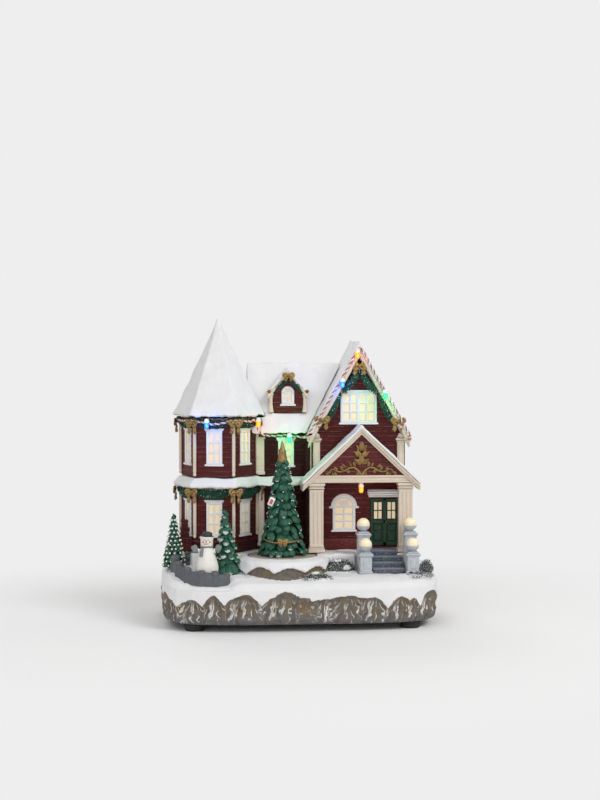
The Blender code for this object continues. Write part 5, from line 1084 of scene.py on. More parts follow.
class VILLAGE_OT_base(bpy.types.Operator):
    """Snow covered rock base with the mound that holds the turning tree"""

    bl_idname = "village.base"
    bl_label = "Base"

    def execute(self, context):
        mesh = remeshed(copy_of("base_casting"), BASE_GRAIN)
        relief = sizes().rock_relief * 1000
        above, fan, reach = [], [], []

        def outline_share(point):
            return abs(point.x / BASE_HALF[0]) ** BASE_POWER + abs(point.y / BASE_HALF[1]) ** BASE_POWER

        def move(point, normal):
            moved = point.copy()
            far = hypot(point.x - TREE.x, point.y - TREE.y)
            on_side = outline_share(point) > 0.80 and point.z > 5.0 and abs(normal.z) < 0.93
            on_mound = MOUND_REACH - 3.5 < far < MOUND_REACH + 3.0 and point.z > 40.0 and point.y < 0
            gap, lobe, peak = 6.0, 0.0, 30.0
            if on_side and point.z < 43:
                line, aside, peak = ground_line(point)
                lobe = atan2(aside, peak + 5 - point.z)
                gap = point.z - line + 0.7 * wave(point, 3.0, 2)
                outward = Vector((normal.x, normal.y, 0))
                if gap < 0:
                    ridge = noise.noise(Vector((lobe * 7, point.z * 0.05, peak)))
                    bulge = 0.9 * cos(max(-1.5, min(1.5, aside / 6))) - 0.3
                    carve = relief * (wave(point, 5.5, 5) + 0.6 * wave(point, 2.2, 6) + 0.9 * ridge) - bulge
                    moved -= outward * carve * min(1.0, -gap / 1.5) * min(1.0, max(0.0, (point.z - 5.5) / 2.5))
                else:
                    moved += outward * 0.45 * wave(point, 8.0, 3)
            elif on_mound and abs(normal.z) < 0.8:
                line, aside, peak = mound_line(point)
                if line is not None:
                    lobe = atan2(aside, peak + 4 - point.z)
                    gap = point.z - line + 0.6 * wave(point, 2.6, 2)
                    outward = Vector((normal.x, normal.y, 0))
                    if gap < 0:
                        ridge = noise.noise(Vector((lobe * 6, point.z * 0.05, peak)))
                        moved -= outward * (0.4 + 0.8 * wave(point, 3.0, 7) + 0.9 * ridge) * min(1.0, -gap / 0.8)
                    else:
                        moved += outward * (2.2 + 0.7 * wave(point, 6.0, 3))
            elif point.z > 40.0 and normal.z > 0.3 and far > 29.5 and point.y < 2:
                moved.z += 0.7 * wave(point, 9.0, 8) + 0.3 * wave(point, 3.2, 9)
            outside, degrees = round_garden(point)
            if outside > -3.4 and point.z > 33.0 and 190 < degrees < 304:
                share = min(1.0, (point.z - 33.0) / 4.0) * min(1.0, max(0.0, (outside + 3.4) / 0.6))
                moved.z -= garden_dip(degrees) * share * max(0.0, min(1.0, 1 - (outside - 7.0) / 9.0))
            if far < 29.5 and 52.0 < point.z < 57.4:
                if far > 26.6:
                    grow = max(far, 28.45) / far
                    moved.x = TREE.x + (point.x - TREE.x) * grow
                    moved.y = TREE.y + (point.y - TREE.y) * grow
                if point.z < 54.5:
                    moved.z = min(point.z, 53.85)
            above.append(gap)
            fan.append(lobe)
            reach.append(peak - point.z)
            return moved

        reshape(mesh, move)
        value_on(mesh, "above", above)
        value_on(mesh, "fan", fan)
        value_on(mesh, "reach", reach)
        parts = []
        for face in mesh.polygons:
            centre = face.center * 1000
            far = hypot(centre.x - TREE.x, centre.y - TREE.y)
            part = 1 if far < 28.9 and 44 < centre.z < 56.4 else 0
            outside, degrees = round_garden(centre)
            ground = ground_height(centre.y)
            if abs(outside) < 3.4 and 186 < degrees < 296 and centre.z > ground + 0.5 - garden_dip(degrees):
                part = 2
            elif centre.z > ground + 0.3 and in_bush(centre):
                part = 3
            parts.append(part)
        finishes = ["ground", "recess", "wall_stone", "leafy_bush"]
        piece = make("base_dressed", mesh, finishes, nodes=["base_casting"], angle=180)
        piece.data.polygons.foreach_set("material_index", parts)
        return {"FINISHED"}


def arch(middle, spring, radius, depth, steps):
    """Points on a half circle over an opening."""
    angles = [pi * k / steps for k in range(steps + 1)]
    return [(middle + radius * cos(angle), depth, spring + radius * sin(angle)) for angle in angles]


def casement(clay, place, centre, low, width, height, columns, rows, arched=False, cap=1.7, mullion=False, seed=1):
    """A hand-made window: frame, bars, head, sill and one small pane behind each opening.

    Paint 0 is the frame and paint 1 the panes. Local X runs along the wall and -Y looks out.
    """
    luck = random.Random(seed)
    left, right, top = centre - width / 2, centre + width / 2, low + height
    rim, bar = 2.1, 1.45
    spring = top - width / 2 if arched else top

    def strip(x, y, z, bevel, wobble):
        clay.slab(x, y, z, bevel, 0, 0, place, wobble, luck.random())

    for x in ((left, left + rim), (right - rim, right)):
        strip(x, (-1.15, 0.9), (low, spring), 0.35, 0.10)
    strip((left + 0.2, right - 0.2), (-1.05, 0.9), (low, low + rim), 0.35, 0.06)
    if arched:
        clay.tube(arch(centre, spring, width / 2 - rim / 2, -0.1, 12), rim * 0.62, 8, 0, 0, place)
    else:
        strip((left + 0.2, right - 0.2), (-1.05, 0.9), (top - rim, top), 0.35, 0.06)
        if cap:
            strip((left - 1.0, right + 1.0), (-1.7, 0.9), (top - 0.5, top + cap * 0.45), 0.3, 0.08)
            strip((left - 1.7, right + 1.7), (-2.2, 0.9), (top + cap * 0.35, top + cap), 0.4, 0.10)
    strip((left - 1.3, right + 1.3), (-2.0, 0.9), (low - 1.5, low + 0.15), 0.45, 0.10)
    inner_left, inner_right = left + rim * 0.8, right - rim * 0.8
    inner_low, inner_top = low + rim * 0.8, spring - (0 if arched else rim * 0.8)
    for step in range(1, columns):
        x = inner_left + (inner_right - inner_left) * step / columns
        thick = bar * (1.9 if mullion and step * 2 == columns else 1.0)
        strip(about(x, thick / 2), (-0.65, 0.5), (inner_low, inner_top), 0.25, 0.10)
    for step in range(1, rows + (1 if arched else 0)):
        z = inner_low + (inner_top - inner_low) * step / rows
        strip((inner_left, inner_right), (-0.60, 0.5), about(z, bar / 2), 0.25, 0.10)
    wide, tall = (inner_right - inner_left) / columns, (inner_top - inner_low) / rows
    for i in range(columns):
        for j in range(rows):
            x, z = inner_left + wide * (i + 0.5), inner_low + tall * (j + 0.5)
            small_pane(clay, place, x, z, wide / 2 + 0.1, tall / 2 + 0.1, 0.10 + 0.10 * luck.random())
    if arched:
        far = width / 2 - rim * 0.85
        for x, y, z in arch(centre, spring, far, -0.1, 3)[1:3]:
            clay.tube([(centre, -0.1, spring), (x, y, z)], 0.42, 6, 0, 0, place)
        clay.rings([arch(centre, spring, far, depth, 12) for depth in (0.25, 0.9)], 1, 0, place)


def small_pane(clay, place, x, z, half_wide, half_tall, crown):
    """A small pane with a slightly crowned face."""
    rings = []
    for share, depth in ((1.0, 0.9), (1.0, 0.30), (0.72, 0.30 - crown * 0.7), (0.30, 0.30 - crown)):
        rings.append([
            Vector((x + half_wide * share * a, depth, z + half_tall * share * b))
            for a, b in ((-1, -1), (1, -1), (1, 1), (-1, 1))
        ])
    clay.rings(rings, 1, 0, place)


class VILLAGE_OT_windows(bpy.types.Operator):
    """White framed windows with amber panes"""

    bl_idname = "village.windows"
    bl_label = "Windows"

    def execute(self, context):
        for node, low in (("tower_lower_windows", 71.2), ("tower_upper_windows", 130.0)):
            clay = Clay()
            for turn in range(-2, 2):
                casement(clay, tower_frame(turn, APOTHEM), 0, low, 13.2, 28, 2, 3, cap=1.6, seed=turn + low)
            dress(node, clay, ["frame", "pane"])
        for node, y, values, choices in (
            ("gable_window", 0, (WING_X, 163.2, 30.5, 25.8, 4, 3), {"cap": 1.5, "mullion": True, "seed": 31}),
            ("centre_window", CENTRE_FRONT, (-9.0, 127.0, 13.2, 21.5, 2, 3), {"cap": 2.2, "seed": 41}),
            ("dormer_window", 8, (DORMER_X, 178.5, 10.6, 15, 2, 2), {"arched": True, "seed": 51}),
        ):
            clay = Clay()
            casement(clay, Matrix.Translation((0, y, 0)), *values, **choices)
            dress(node, clay, ["frame", "pane"])
        clay = Clay()
        self.porch_window(clay)
        dress("porch_window", clay, ["frame", "pane"])
        return {"FINISHED"}

    def porch_window(self, clay):
        """The tall window with an eared round hood and petal tracery in its head."""
        place = Matrix.Identity(4)
        casement(clay, place, 38.8, 73.5, 19.0, 29.0, 2, 3, arched=True, seed=61)
        spring, middle = 93.0, 38.8
        for radius, proud, thick in ((10.3, -0.9, 0.8), (9.2, -0.4, 0.8)):
            clay.tube(arch(middle, spring, radius, proud, 18), thick, 8, 0, 0, place)
        for side in (-1, 1):
            x = middle + side * 10.6
            clay.slab(about(x, 1.9), (-1.7, 0.6), (spring - 1.3, spring + 0.5), 0.4, 0)
        for k in range(5):
            angle = radians(30 + 30 * k)
            way = Vector((cos(angle), 0, sin(angle)))
            start = Vector((middle, -0.15, spring + 0.6)) + way * 1.4
            clay.leaf(start, start + way * 4.6, FRONT, 1.9, 0.4, 0, 0.1)


def round_post(clay, spot, low, high):
    """A slender turned post with a capital and a rounded foot."""
    tall, radius = high - low, 1.4
    profile = [
        (0.0, low), (radius * 0.55, low + 0.2), (radius * 0.95, low + 1.0), (radius * 1.05, low + 1.9),
        (radius * 0.72, low + 2.9), (radius * 0.98, low + 3.7), (radius * 1.0, low + tall * 0.5),
        (radius * 0.92, high - 4.6), (radius * 1.12, high - 4.0), (radius * 1.12, high - 3.4),
        (radius * 0.92, high - 2.9), (radius * 1.3, high - 1.2), (radius * 1.4, high - 0.5), (0.0, high),
    ]
    clay.turned(spot, profile, 14)


class VILLAGE_OT_trims(bpy.types.Operator):
    """Cream posts, corner posts, pilasters, boards under the eaves and rake boards"""

    bl_idname = "village.trims"
    bl_label = "Trims"

    def execute(self, context):
        for node, low, high in (
            ("tower_lower_trim", 69.2, TOWER_SPLIT - 0.3), ("tower_upper_trim", TOWER_SPLIT + 9.6, 167.8)
        ):
            clay = Clay()
            for index in range(-2, 3):
                spot = tower_corner(index, 32.3)
                round_post(clay, (spot.x, spot.y), low, high)
            for turn in range(-2, 2):
                place = tower_frame(turn, APOTHEM)
                clay.slab((-16, 16), (-1.5, 0.2), (high - 2.2, high), 0.35, 0, 0, place)
                clay.slab((-15.6, 15.6), (-0.8, 0.2), (high - 3.2, high - 2.1), 0.3, 0, 0, place)
            dress(node, clay, ["cream"])
        self.pilasters()
        self.corner_posts()
        self.rakes()
        return {"FINISHED"}

    def pilasters(self):
        clay = Clay()
        for x, half in ((-29.8, 2.6), (12.6, 1.3)):
            for low, high in ((60.0, TOWER_SPLIT), (TOWER_SPLIT + 9.2, 151.5)):
                clay.slab(about(x, half), (8.35, 10.2), (low, high), 0.5)
                clay.slab(about(x, half + 0.8), (7.8, 10.2), (high - 2.2, high - 0.4), 0.4)
                clay.slab(about(x, half + 0.6), (7.9, 10.2), (low, low + 2.6), 0.4)
        make("centre_pilasters", clay, ["cream"], angle=35)

    def corner_posts(self):
        """Moulded posts with ball caps at the upper corners of the wing."""
        clay = Clay()
        for side in (-1, 1):
            x = WING_X + side * (WING_HALF - 2.7)
            clay.slab(about(x, 3.0), (-1.9, 0.2), (121.5, 152.0), 0.5)
            clay.slab(about(x, 1.7), (-2.5, -1.5), (127.0, 145.5), 0.5)
            for low, high, grow in (
                (121.2, 123.6, 1.0), (123.6, 124.8, 0.5), (147.0, 148.0, 0.5), (148.4, 150.4, 1.1)
            ):
                clay.slab((x - 3.0 - grow, x + 3.0 + grow), (-2.0 - grow, 0.2), (low, high), 0.4)
            clay.turned(
                (x, -2.2),
                [
                    (0.0, 150.2), (2.2, 150.3), (1.3, 150.9), (2.3, 151.7), (2.7, 152.8), (2.2, 154.0), (0.9, 154.7),
                    (0.0, 154.9),
                ],
                16,
            )
        make("wing_corner_posts", clay, ["cream"], angle=35)

    def rakes(self):
        """Boards that follow the wing's and the dormer's gables, under the snow."""
        clay = Clay()
        slope = (WING_RIDGE - WING_EAVE) / WING_SPAN
        for side in (-1, 1):
            for drop, tall, front, back in ((3.7, 2.4, -7.9, -6.0), (5.4, 1.4, -7.0, -4.9), (5.6, 1.5, -1.3, 0.3)):
                rake_board(clay, WING_X, side, WING_SPAN, WING_RIDGE, slope, drop, tall, front, back, 1.0)
            turned_end = Vector((WING_X + side * (WING_SPAN - 1.2), 0, WING_EAVE - 5.2))
            path = [turned_end + Vector((side * (2.3 * cos(a) - 1.2), -6.9, 2.3 * sin(a))) for a in
                    [radians(120 - 34 * k) for k in range(9)]]
            clay.tube(path, [1.5 - 0.12 * k for k in range(9)], 8, flat=0.8)
        clay_rounds = Clay()
        slope = (DORMER_RIDGE - DORMER_EAVE) / DORMER_SPAN
        for side in (-1, 1):
            rake_board(clay_rounds, DORMER_X, side, DORMER_SPAN - 0.4, DORMER_RIDGE, slope, 1.9, 2.3, 4.5, 6.2, 0.4)
            rake_board(clay_rounds, DORMER_X, side, DORMER_SPAN - 1.0, DORMER_RIDGE, slope, 3.0, 1.8, 5.4, 8.2, 0.4)
            x = DORMER_X + side * 14.2
            clay_rounds.turned(
                (x, 7.4),
                [
                    (0.0, 171.5), (2.4, 171.7), (2.0, 174.0), (1.45, 178.0), (1.3, 183.0), (1.7, 185.2), (2.4, 187.0),
                    (2.5, 188.4), (0.0, 188.8),
                ],
                14,
            )
        make("wing_rake_boards", clay, ["cream"], angle=35)
        make("dormer_trim", clay_rounds, ["cream"], angle=35)
        rosettes = Clay()
        for side in (-1, 1):
            rosette(rosettes, Vector((DORMER_X + side * (DORMER_SPAN - 1.6), 4.4, DORMER_EAVE + 0.2)), 1.9)
        make("dormer_rosettes", rosettes, ["gold"])


def rake_board(clay, centre, side, span, ridge, slope, drop, tall, front, back, trim):
    """A board along one slope of a gable, its upper edge a drop below the roof's top line."""
    rings = []
    for share in (0.0, 0.25, 0.5, 0.75, 1.0):
        x = share * (span - trim)
        z = ridge - x * slope - drop * hypot(1, slope)
        rings.append([
            Vector((centre + side * x, front + 0.3, z)), Vector((centre + side * x, back, z)),
            Vector((centre + side * x, back, z - tall * hypot(1, slope))),
            Vector((centre + side * x, front + 0.3, z - tall * hypot(1, slope))),
            Vector((centre + side * x, front, z - tall * hypot(1, slope) + 0.5)),
            Vector((centre + side * x, front, z - 0.5)),
        ])
    clay.rings(rings)


def rosette(clay, centre, radius):
    """A flower-shaped boss of six petals round a bead, facing the front."""
    for k in range(6):
        angle = pi * k / 3
        way = Vector((cos(angle), 0, sin(angle)))
        clay.leaf(centre + way * 0.3, centre + way * radius, FRONT, radius * 0.8, 0.6, 0, 0.3)
    clay.lump(centre + Vector((0, -0.4, 0)), (radius * 0.4, 0.5, radius * 0.4), 2, 0.05)


def sprig(clay, spot, out, luck, size=1.0, count=5):
    """A tuft of leaves that spread over a garland's skin."""
    out = Vector(out).normalized()
    side = out.cross(UP)
    side = side.normalized() if side.length > 0.1 else Vector((1, 0, 0))
    for _ in range(count):
        way = side * luck.uniform(-1, 1) + UP * luck.uniform(-1.35, 0.65) + out * luck.uniform(0.25, 0.9)
        base = Vector(spot) + side * luck.uniform(-0.8, 0.8) + UP * luck.uniform(-0.6, 0.6)
        clay.leaf(base, base + way.normalized() * size * luck.uniform(1.7, 2.8), out, size * luck.uniform(0.8, 1.2),
                  0.35, 0, 0.3, (0.0, luck.uniform(0.4, 1.0)))


def swag(clay, route, thick, out, luck, step=0.85, size=1.0):
    """A leafy rope along a route; thick is its radius in the middle."""
    path = smooth_route(route, step)
    last = len(path) - 1
    radii = [thick * (0.55 + 0.45 * sin(pi * min(1, max(0, k / last)))) for k in range(last + 1)]
    clay.tube(path, [radius * 0.8 for radius in radii], 8)
    for k, point in enumerate(path):
        facing = out(point) if callable(out) else Vector(out)
        side = Vector((0, 0, 1))
        for turn in (-0.75, 0.0, 0.75):
            spot = point + facing * radii[k] * 0.55 + side * radii[k] * turn
            sprig(clay, spot, facing + side * turn * 0.8, luck, size, 3)


def berries(clay, route, out, luck, spread, count):
    """Tiny white beads scattered over a garland."""
    path = smooth_route(route, 0.6)
    for _ in range(count):
        point = path[luck.randrange(len(path))]
        facing = out(point) if callable(out) else Vector(out)
        spot = point + facing * (spread * 0.95) + UP * luck.uniform(-spread, spread)
        clay.lump(spot, (0.34, 0.34, 0.34), 1, 0.0, 0, 1)


def from_tower(point):
    return Vector((point.x - TOWER.x, point.y - TOWER.y, 0)).normalized()


class VILLAGE_OT_garlands(bpy.types.Operator):
    """Leafy garlands under the tower's snow and over the gable and dormer windows"""

    bl_idname = "village.garlands"
    bl_label = "Garlands"

    def execute(self, context):
        luck = random.Random(7)
        clay = Clay()
        for top, sag in ((TOWER_SPLIT - 1.2, 2.0), (TOWER_SPLIT - 2.6, 3.8), (166.8, 1.6), (165.6, 3.4)):
            for index in range(-2, 2):
                start, end = tower_corner(index, 33.4), tower_corner(index + 1, 33.4)
                route = []
                for k in range(9):
                    point = start.lerp(end, k / 8)
                    point.z = top - sag * sin(pi * k / 8)
                    route.append(point)
                swag(clay, route, 1.7, from_tower, luck)
                berries(clay, route, from_tower, luck, 1.8, 12)
        make("tower_garland_leaves", clay, ["fir", "bead"], nodes=["tower_garland"], angle=180)
        clay = Clay()
        for route in (
            [(51.0, -4, 208.0), (46.8, -4.2, 200.0), (41.5, -4.4, 193.5), (37.0, -4.2, 189.8)],
            [(34.6, -4, 187.5), (31.2, -4.4, 179.0), (28.0, -4.4, 171.5), (23.6, -4, 164.6)],
            [(51.0, -4, 208.0), (55.4, -4.2, 200.0), (60.8, -4.4, 193.5), (65.3, -4.2, 189.8)],
            [(67.6, -4, 187.0), (71.0, -4.4, 179.0), (74.4, -4.4, 171.5), (78.6, -4, 164.6)],
        ):
            swag(clay, route, 3.3, FRONT, luck)
            berries(clay, route, FRONT, luck, 2.6, 15)
        make("gable_garland_leaves", clay, ["fir", "bead"], nodes=["gable_garland"], angle=180)
        clay = Clay()
        for route in (
            [(-20.3, 6.3, 190.0), (-16.8, 6.0, 192.0), (-12.6, 6.0, 196.0), (-8.6, 6.2, 199.6)],
            [(-6.4, 6.2, 199.6), (-2.4, 6.0, 196.0), (1.8, 6.0, 192.0), (5.3, 6.3, 190.0)],
        ):
            swag(clay, route, 2.1, FRONT, luck, 0.8, 0.7)
        make("dormer_garland_leaves", clay, ["fir", "bead"], angle=180)
        return {"FINISHED"}


def bow(clay, spot, out, width, drop):
    """A ribbon bow: two loops, a knot and two forked tails that hang down."""
    out = Vector(out).normalized()
    side = out.cross(UP).normalized()
    spot = Vector(spot)

    def at(along, level, proud):
        return spot + side * along + UP * level + out * proud

    half = width / 2
    for sign in (-1, 1):
        for wide, lean, grow, ahead in ((1.0, 0.22, 1.0, 0.0), (0.72, -0.30, 0.85, 0.5)):
            loop = []
            for k in range(15):
                turn = 2 * pi * k / 14
                along = half * wide * 0.52 * (1 - cos(turn))
                level = half * 0.40 * sin(turn) * (0.45 + 0.55 * along / half) + along * lean
                loop.append(at(sign * along, level, 0.7 + ahead + 0.9 * sin(turn / 2)))
            thick = [(0.8 + 0.55 * sin(pi * k / 14)) * grow for k in range(15)]
            clay.tube(loop, thick, 8, flat=0.45, face=tuple(out))
        tail = [
            at(sign * 0.4, -0.4, 1.0), at(sign * half * 0.35, -drop * 0.22, 1.3),
            at(sign * half * 0.62, -drop * 0.5, 0.8), at(sign * half * 0.52, -drop * 0.76, 1.1),
            at(sign * half * 0.78, -drop, 0.7),
        ]
        path = smooth_route(tail, 0.8)
        last = len(path) - 1
        clay.tube(path, [0.85 + 0.95 * k / last for k in range(last + 1)], 8, flat=0.36, face=tuple(out))
    clay.lump(at(0, 0.1, 1.6), (half * 0.21 + 0.3, half * 0.21 + 0.3, half * 0.24 + 0.3), 2, 0.1, 3)


class VILLAGE_OT_bows(bpy.types.Operator):
    """Antique gold ribbon bows on the tower, the gable and the dormer"""

    bl_idname = "village.bows"
    bl_label = "Bows"

    def execute(self, context):
        width = sizes().bow_width * 1000
        clay = Clay()
        for index in range(-2, 3):
            for reach, level, drop in ((34.8, 163.6, 8.0), (35.6, TOWER_SPLIT - 3.6, 8.0)):
                spot = tower_corner(index, reach)
                spot.z = level
                bow(clay, spot, from_tower(spot), width * 0.92, drop)
        make("tower_bows", clay, ["gold"], angle=60)
        clay = Clay()
        for x, z, wide, drop in ((51.0, 210.3, 12.5, 6.5), (19.8, 165.6, 10.8, 7.0), (83.4, 164.2, 10.4, 7.6)):
            bow(clay, (x, -6.4 if x != 51.0 else -5.6, z), FRONT, wide, drop)
        make("gable_bows", clay, ["gold"], angle=60)
        clay = Clay()
        bow(clay, (DORMER_X + 0.2, 4.4, 202.2), FRONT, 8.0, 3.6)
        make("dormer_bow", clay, ["gold"], angle=60)
        return {"FINISHED"}


def gable_shape(clay, centre, span, ridge, eave, top_drop, thick, front, back):
    """A bent board over a gable: two slopes with a thickness, between two depths."""
    slope = (ridge - eave) / span
    lean = hypot(1, slope)
    outline = []
    for share in [k / 8 for k in range(-8, 9)]:
        outline.append((centre + share * span, ridge - abs(share) * span * slope - top_drop * lean))
    under = [(x, z - thick * lean) for x, z in reversed(outline)]
    clay.rings([[Vector((x, y, z)) for x, z in outline + under] for y in (front, back)])


class VILLAGE_OT_porch(bpy.types.Operator):
    """Porch roof, pediment with gold scrolls, beam and fluted columns"""

    bl_idname = "village.porch"
    bl_label = "Porch"

    def execute(self, context):
        self.roof()
        self.pediment()
        self.scrolls()
        self.columns()
        return {"FINISHED"}

    def roof(self):
        clay = Clay()
        gable_shape(clay, WING_X, PORCH_SPAN, PORCH_RIDGE, PORCH_EAVE, 0.0, 2.3, -24.5, -0.35)
        mesh = remeshed(mesh_of("porch_snow", clay), sizes().snow_grain)
        swell = sizes().snow_lump * 900

        def move(point, normal):
            soft = wave(point, 9, 12) * swell + wave(point, 3.4, 13) * swell * 0.25
            if normal.z < -0.2:
                soft = -abs(soft) * 0.2
            return point + normal * (soft - 0.1)

        make("porch_roof_snow", reshape(mesh, move), ["snow"], nodes=["porch_roof"], angle=180)
        clay = Clay()
        for drop, thick, front in ((2.2, 1.0, -24.1), (3.1, 0.9, -23.5), (3.9, 1.7, -22.5)):
            gable_shape(clay, WING_X, PORCH_SPAN - 0.5, PORCH_RIDGE, PORCH_EAVE, drop, thick, front, -0.4)
        for side in (-1, 1):
            x = WING_X + side * (PORCH_SPAN - 3.5)
            clay.slab(about(x, 3.3), (-23.6, -1.0), (113.9, 115.9), 0.5)
        make("porch_mouldings", clay, ["cream"], angle=30)

    def pediment(self):
        clay = Clay()
        half = 40.5
        clay.slab(about(WING_X, half), (PORCH_FRONT, -17.6), (115.0, 120.3), 0.5)
        clay.slab(about(WING_X, half + 0.8), (PORCH_FRONT - 0.8, -17.4), (119.0, 120.8), 0.4)
        clay.slab(about(WING_X, half + 1.2), (PORCH_FRONT - 1.0, -17.4), (114.8, 116.0), 0.4)
        for side in (-1, 1):
            x = WING_X + side * 37.9
            clay.slab(about(x, 1.6), (-18.0, -0.4), (115.0, 119.5), 0.4)
        make("porch_beam", clay, ["cream"], angle=30)
        field = Clay()
        slope = (PORCH_RIDGE - PORCH_EAVE) / PORCH_SPAN
        low, peak = 119.5, PORCH_RIDGE - 4.9 * hypot(1, slope)
        reach = (peak - low) / slope
        field.rings([[Vector((WING_X - reach, y, low)), Vector((WING_X + reach, y, low)), Vector((WING_X, y, peak))]
                     for y in (-20.0, -17.5)])
        make("porch_tympanum", field, ["clapboard"], nodes=["porch_pediment"], angle=30)

    def scrolls(self):
        """A leafy palmette over branches that run out on both sides and curl at their ends."""
        clay = Clay()
        y, middle = -20.6, WING_X
        for level, wide, long, broad in (
            (129.5, 0.0, 9.0, 4.4), (129.0, 40.0, 7.6, 3.8), (131.5, 68.0, 6.4, 3.6), (134.5, 22.0, 9.0, 4.2),
            (136.0, 52.0, 7.6, 4.0), (140.5, 34.0, 6.8, 3.6), (140.5, 0.0, 8.6, 4.2),
        ):
            for side in (-1, 1):
                way = Vector((side * sin(radians(wide)), -0.06, cos(radians(wide))))
                base = Vector((middle + side * 0.6, y, level))
                clay.leaf(base, base + way * long, FRONT, broad, 1.4, 0, 0.35)
        for side in (-1, 1):
            def at(x, z, side=side):
                return Vector((middle + side * x, y, z))

            branch = smooth_route([at(0.3, 120.6), at(2.8, 124.6), at(6.4, 127.2), at(10.8, 126.6), at(15.0, 124.2),
                                   at(19.4, 123.9), at(23.0, 126.0), at(25.6, 125.0), at(26.6, 122.6)], 0.7)
            last = len(branch) - 1
            clay.tube(branch, [1.0 - 0.45 * k / last for k in range(last + 1)], 8, flat=0.75, face=tuple(FRONT))
            for x, z, radius, begin, turn in (
                (2.6, 121.9, 1.9, 160, -1), (10.6, 124.3, 1.7, 90, -1), (22.0, 122.3, 2.0, 20, -1),
                (27.6, 121.6, 1.5, 120, -1), (15.6, 127.4, 1.9, 250, 1), (5.4, 130.6, 1.7, 250, 1),
            ):
                curl = []
                for k in range(15):
                    angle = radians(begin + turn * 25 * k)
                    far = radius * (1 - 0.055 * k)
                    curl.append(at(x + far * cos(angle), z + far * sin(angle)))
                clay.tube(curl, [0.80 - 0.025 * k for k in range(15)], 8, flat=0.8, face=tuple(FRONT))
                clay.lump(at(x, z), (0.85, 0.8, 0.85), 1, 0.0)
            for x, z, way_x, way_z in (
                (13.0, 126.6, 3.2, 4.2), (19.5, 125.0, 3.4, 3.0), (24.8, 123.5, 5.0, -0.8), (8.0, 127.6, 2.0, 4.4)
            ):
                clay.leaf(at(x, z), at(x + way_x, z + way_z), FRONT, 2.2, 0.9, 0, 0.3)
        make("pediment_scrolls", clay, ["gold"], angle=60)

    def columns(self):
        for node, side in (("porch_column_left", -1), ("porch_column_right", 1)):
            clay = Clay()
            x, front, back = WING_X + side * 37.0, -20.3, -13.1
            for low, high, grow in (
                (57.3, 60.2, 1.3), (60.2, 61.4, 0.8), (61.4, 62.6, 0.3), (108.2, 109.2, 0.3), (109.6, 110.8, 0.9),
                (110.8, 112.2, 0.4), (112.2, 114.5, 1.3),
            ):
                clay.slab((x - 5.6 - grow, x + 5.6 + grow), (front - grow, back + grow), (low, high), 0.4)
            self.shaft(clay, x, (front + back) / 2, 62.4, 108.6)
            dress(node, clay, ["cream"])

    def shaft(self, clay, x, y, low, high):
        """A square shaft with three rounded flutes on its front and one on each side."""
        rings = []
        for level, depth, grow in (
            (low, 0.0, 0.35), (low + 1.6, 0.0, 0.0), (low + 3.0, 0.9, 0.0), (high - 3.0, 0.9, 0.0),
            (high - 1.6, 0.0, 0.0), (high, 0.0, 0.35),
        ):
            ring = []
            for face in range(4):
                turn = Matrix.Rotation(face * pi / 2, 2)
                reach, far, cuts = (5.6, 3.6, (-3.4, 0.0, 3.4)) if face % 2 == 0 else (3.6, 5.6, (0.0,))
                places = [-reach] + [middle + shift for middle in cuts for shift in (-1.15, -0.7, 0, 0.7, 1.15)]
                for place in places:
                    sunk = 0.0
                    for middle in cuts:
                        gap = abs(place - middle) / 1.15
                        if gap < 0.99:
                            sunk = depth * sqrt(1 - gap * gap)
                    flat = turn @ Vector((place, -far - grow + sunk))
                    ring.append(Vector((x + flat.x, y + flat.y, level)))
            rings.append(ring)
        clay.rings(rings)


class VILLAGE_OT_door(bpy.types.Operator):
    """Green panelled front door with amber panes, and its white canopy"""

    bl_idname = "village.door"
    bl_label = "Front door"

    def execute(self, context):
        clay = Clay()
        left, right, low, high = DOOR_X - 12.2, DOOR_X + 12.2, 60.0, 99.6
        clay.slab((left, right), (1.6, 3.2), (low, high), 0.3)
        for x0, x1, z0, z1 in (
            (left, left + 2.4, low, high), (right - 2.4, right, low, high), (DOOR_X - 1.5, DOOR_X + 1.5, low, high),
            (left + 2, right - 2, high - 2.2, high), (left + 2, right - 2, 78.8, 81.6),
            (left + 2, right - 2, low, low + 3.2),
        ):
            clay.slab((x0, x1), (0.35, 2.0), (z0, z1), 0.35)
        for side in (-1, 1):
            x0, x1 = sorted((DOOR_X + side * 2.2, DOOR_X + side * 9.2))
            for z0, z1 in ((64.2, 70.6), (72.2, 77.8)):
                clay.slab((x0, x1), (0.75, 2.0), (z0, z1), 0.6)
            wide, tall = (x1 - x0) / 2, (96.8 - 82.2) / 2
            for i in range(2):
                for j in range(2):
                    small_pane(clay, Matrix.Translation((0, 0.6, 0)), x0 + wide * (i + 0.5), 82.2 + tall * (j + 0.5),
                               wide / 2 - 0.35, tall / 2 - 0.45, 0.15)
            clay.slab(about(x0 + wide, 0.4), (0.5, 2.0), (82.0, 97.2), 0.25)
            clay.slab((x0, x1), (0.5, 2.0), (82.2 + tall - 0.45, 82.2 + tall + 0.45), 0.25)
        clay.lump((DOOR_X + 0.9, -0.1, 80.0), (0.75, 0.7, 0.75), 2, 0.0, 0, 2)
        dress("front_door", clay, ["door", "pane", "gold"])
        clay = Clay()
        for low, high, front, grow in (
            (100.9, 102.4, -2.6, -0.8), (102.4, 104.4, -4.2, 0.0), (104.4, 106.2, -5.6, 0.5),
            (106.2, 107.4, -4.4, 0.1),
        ):
            clay.slab((DOOR_X - 14.6 - grow, DOOR_X + 14.0 + grow), (front, -0.3), (low, high), 0.5)
        dress("door_canopy", clay, ["frame"])
        return {"FINISHED"}


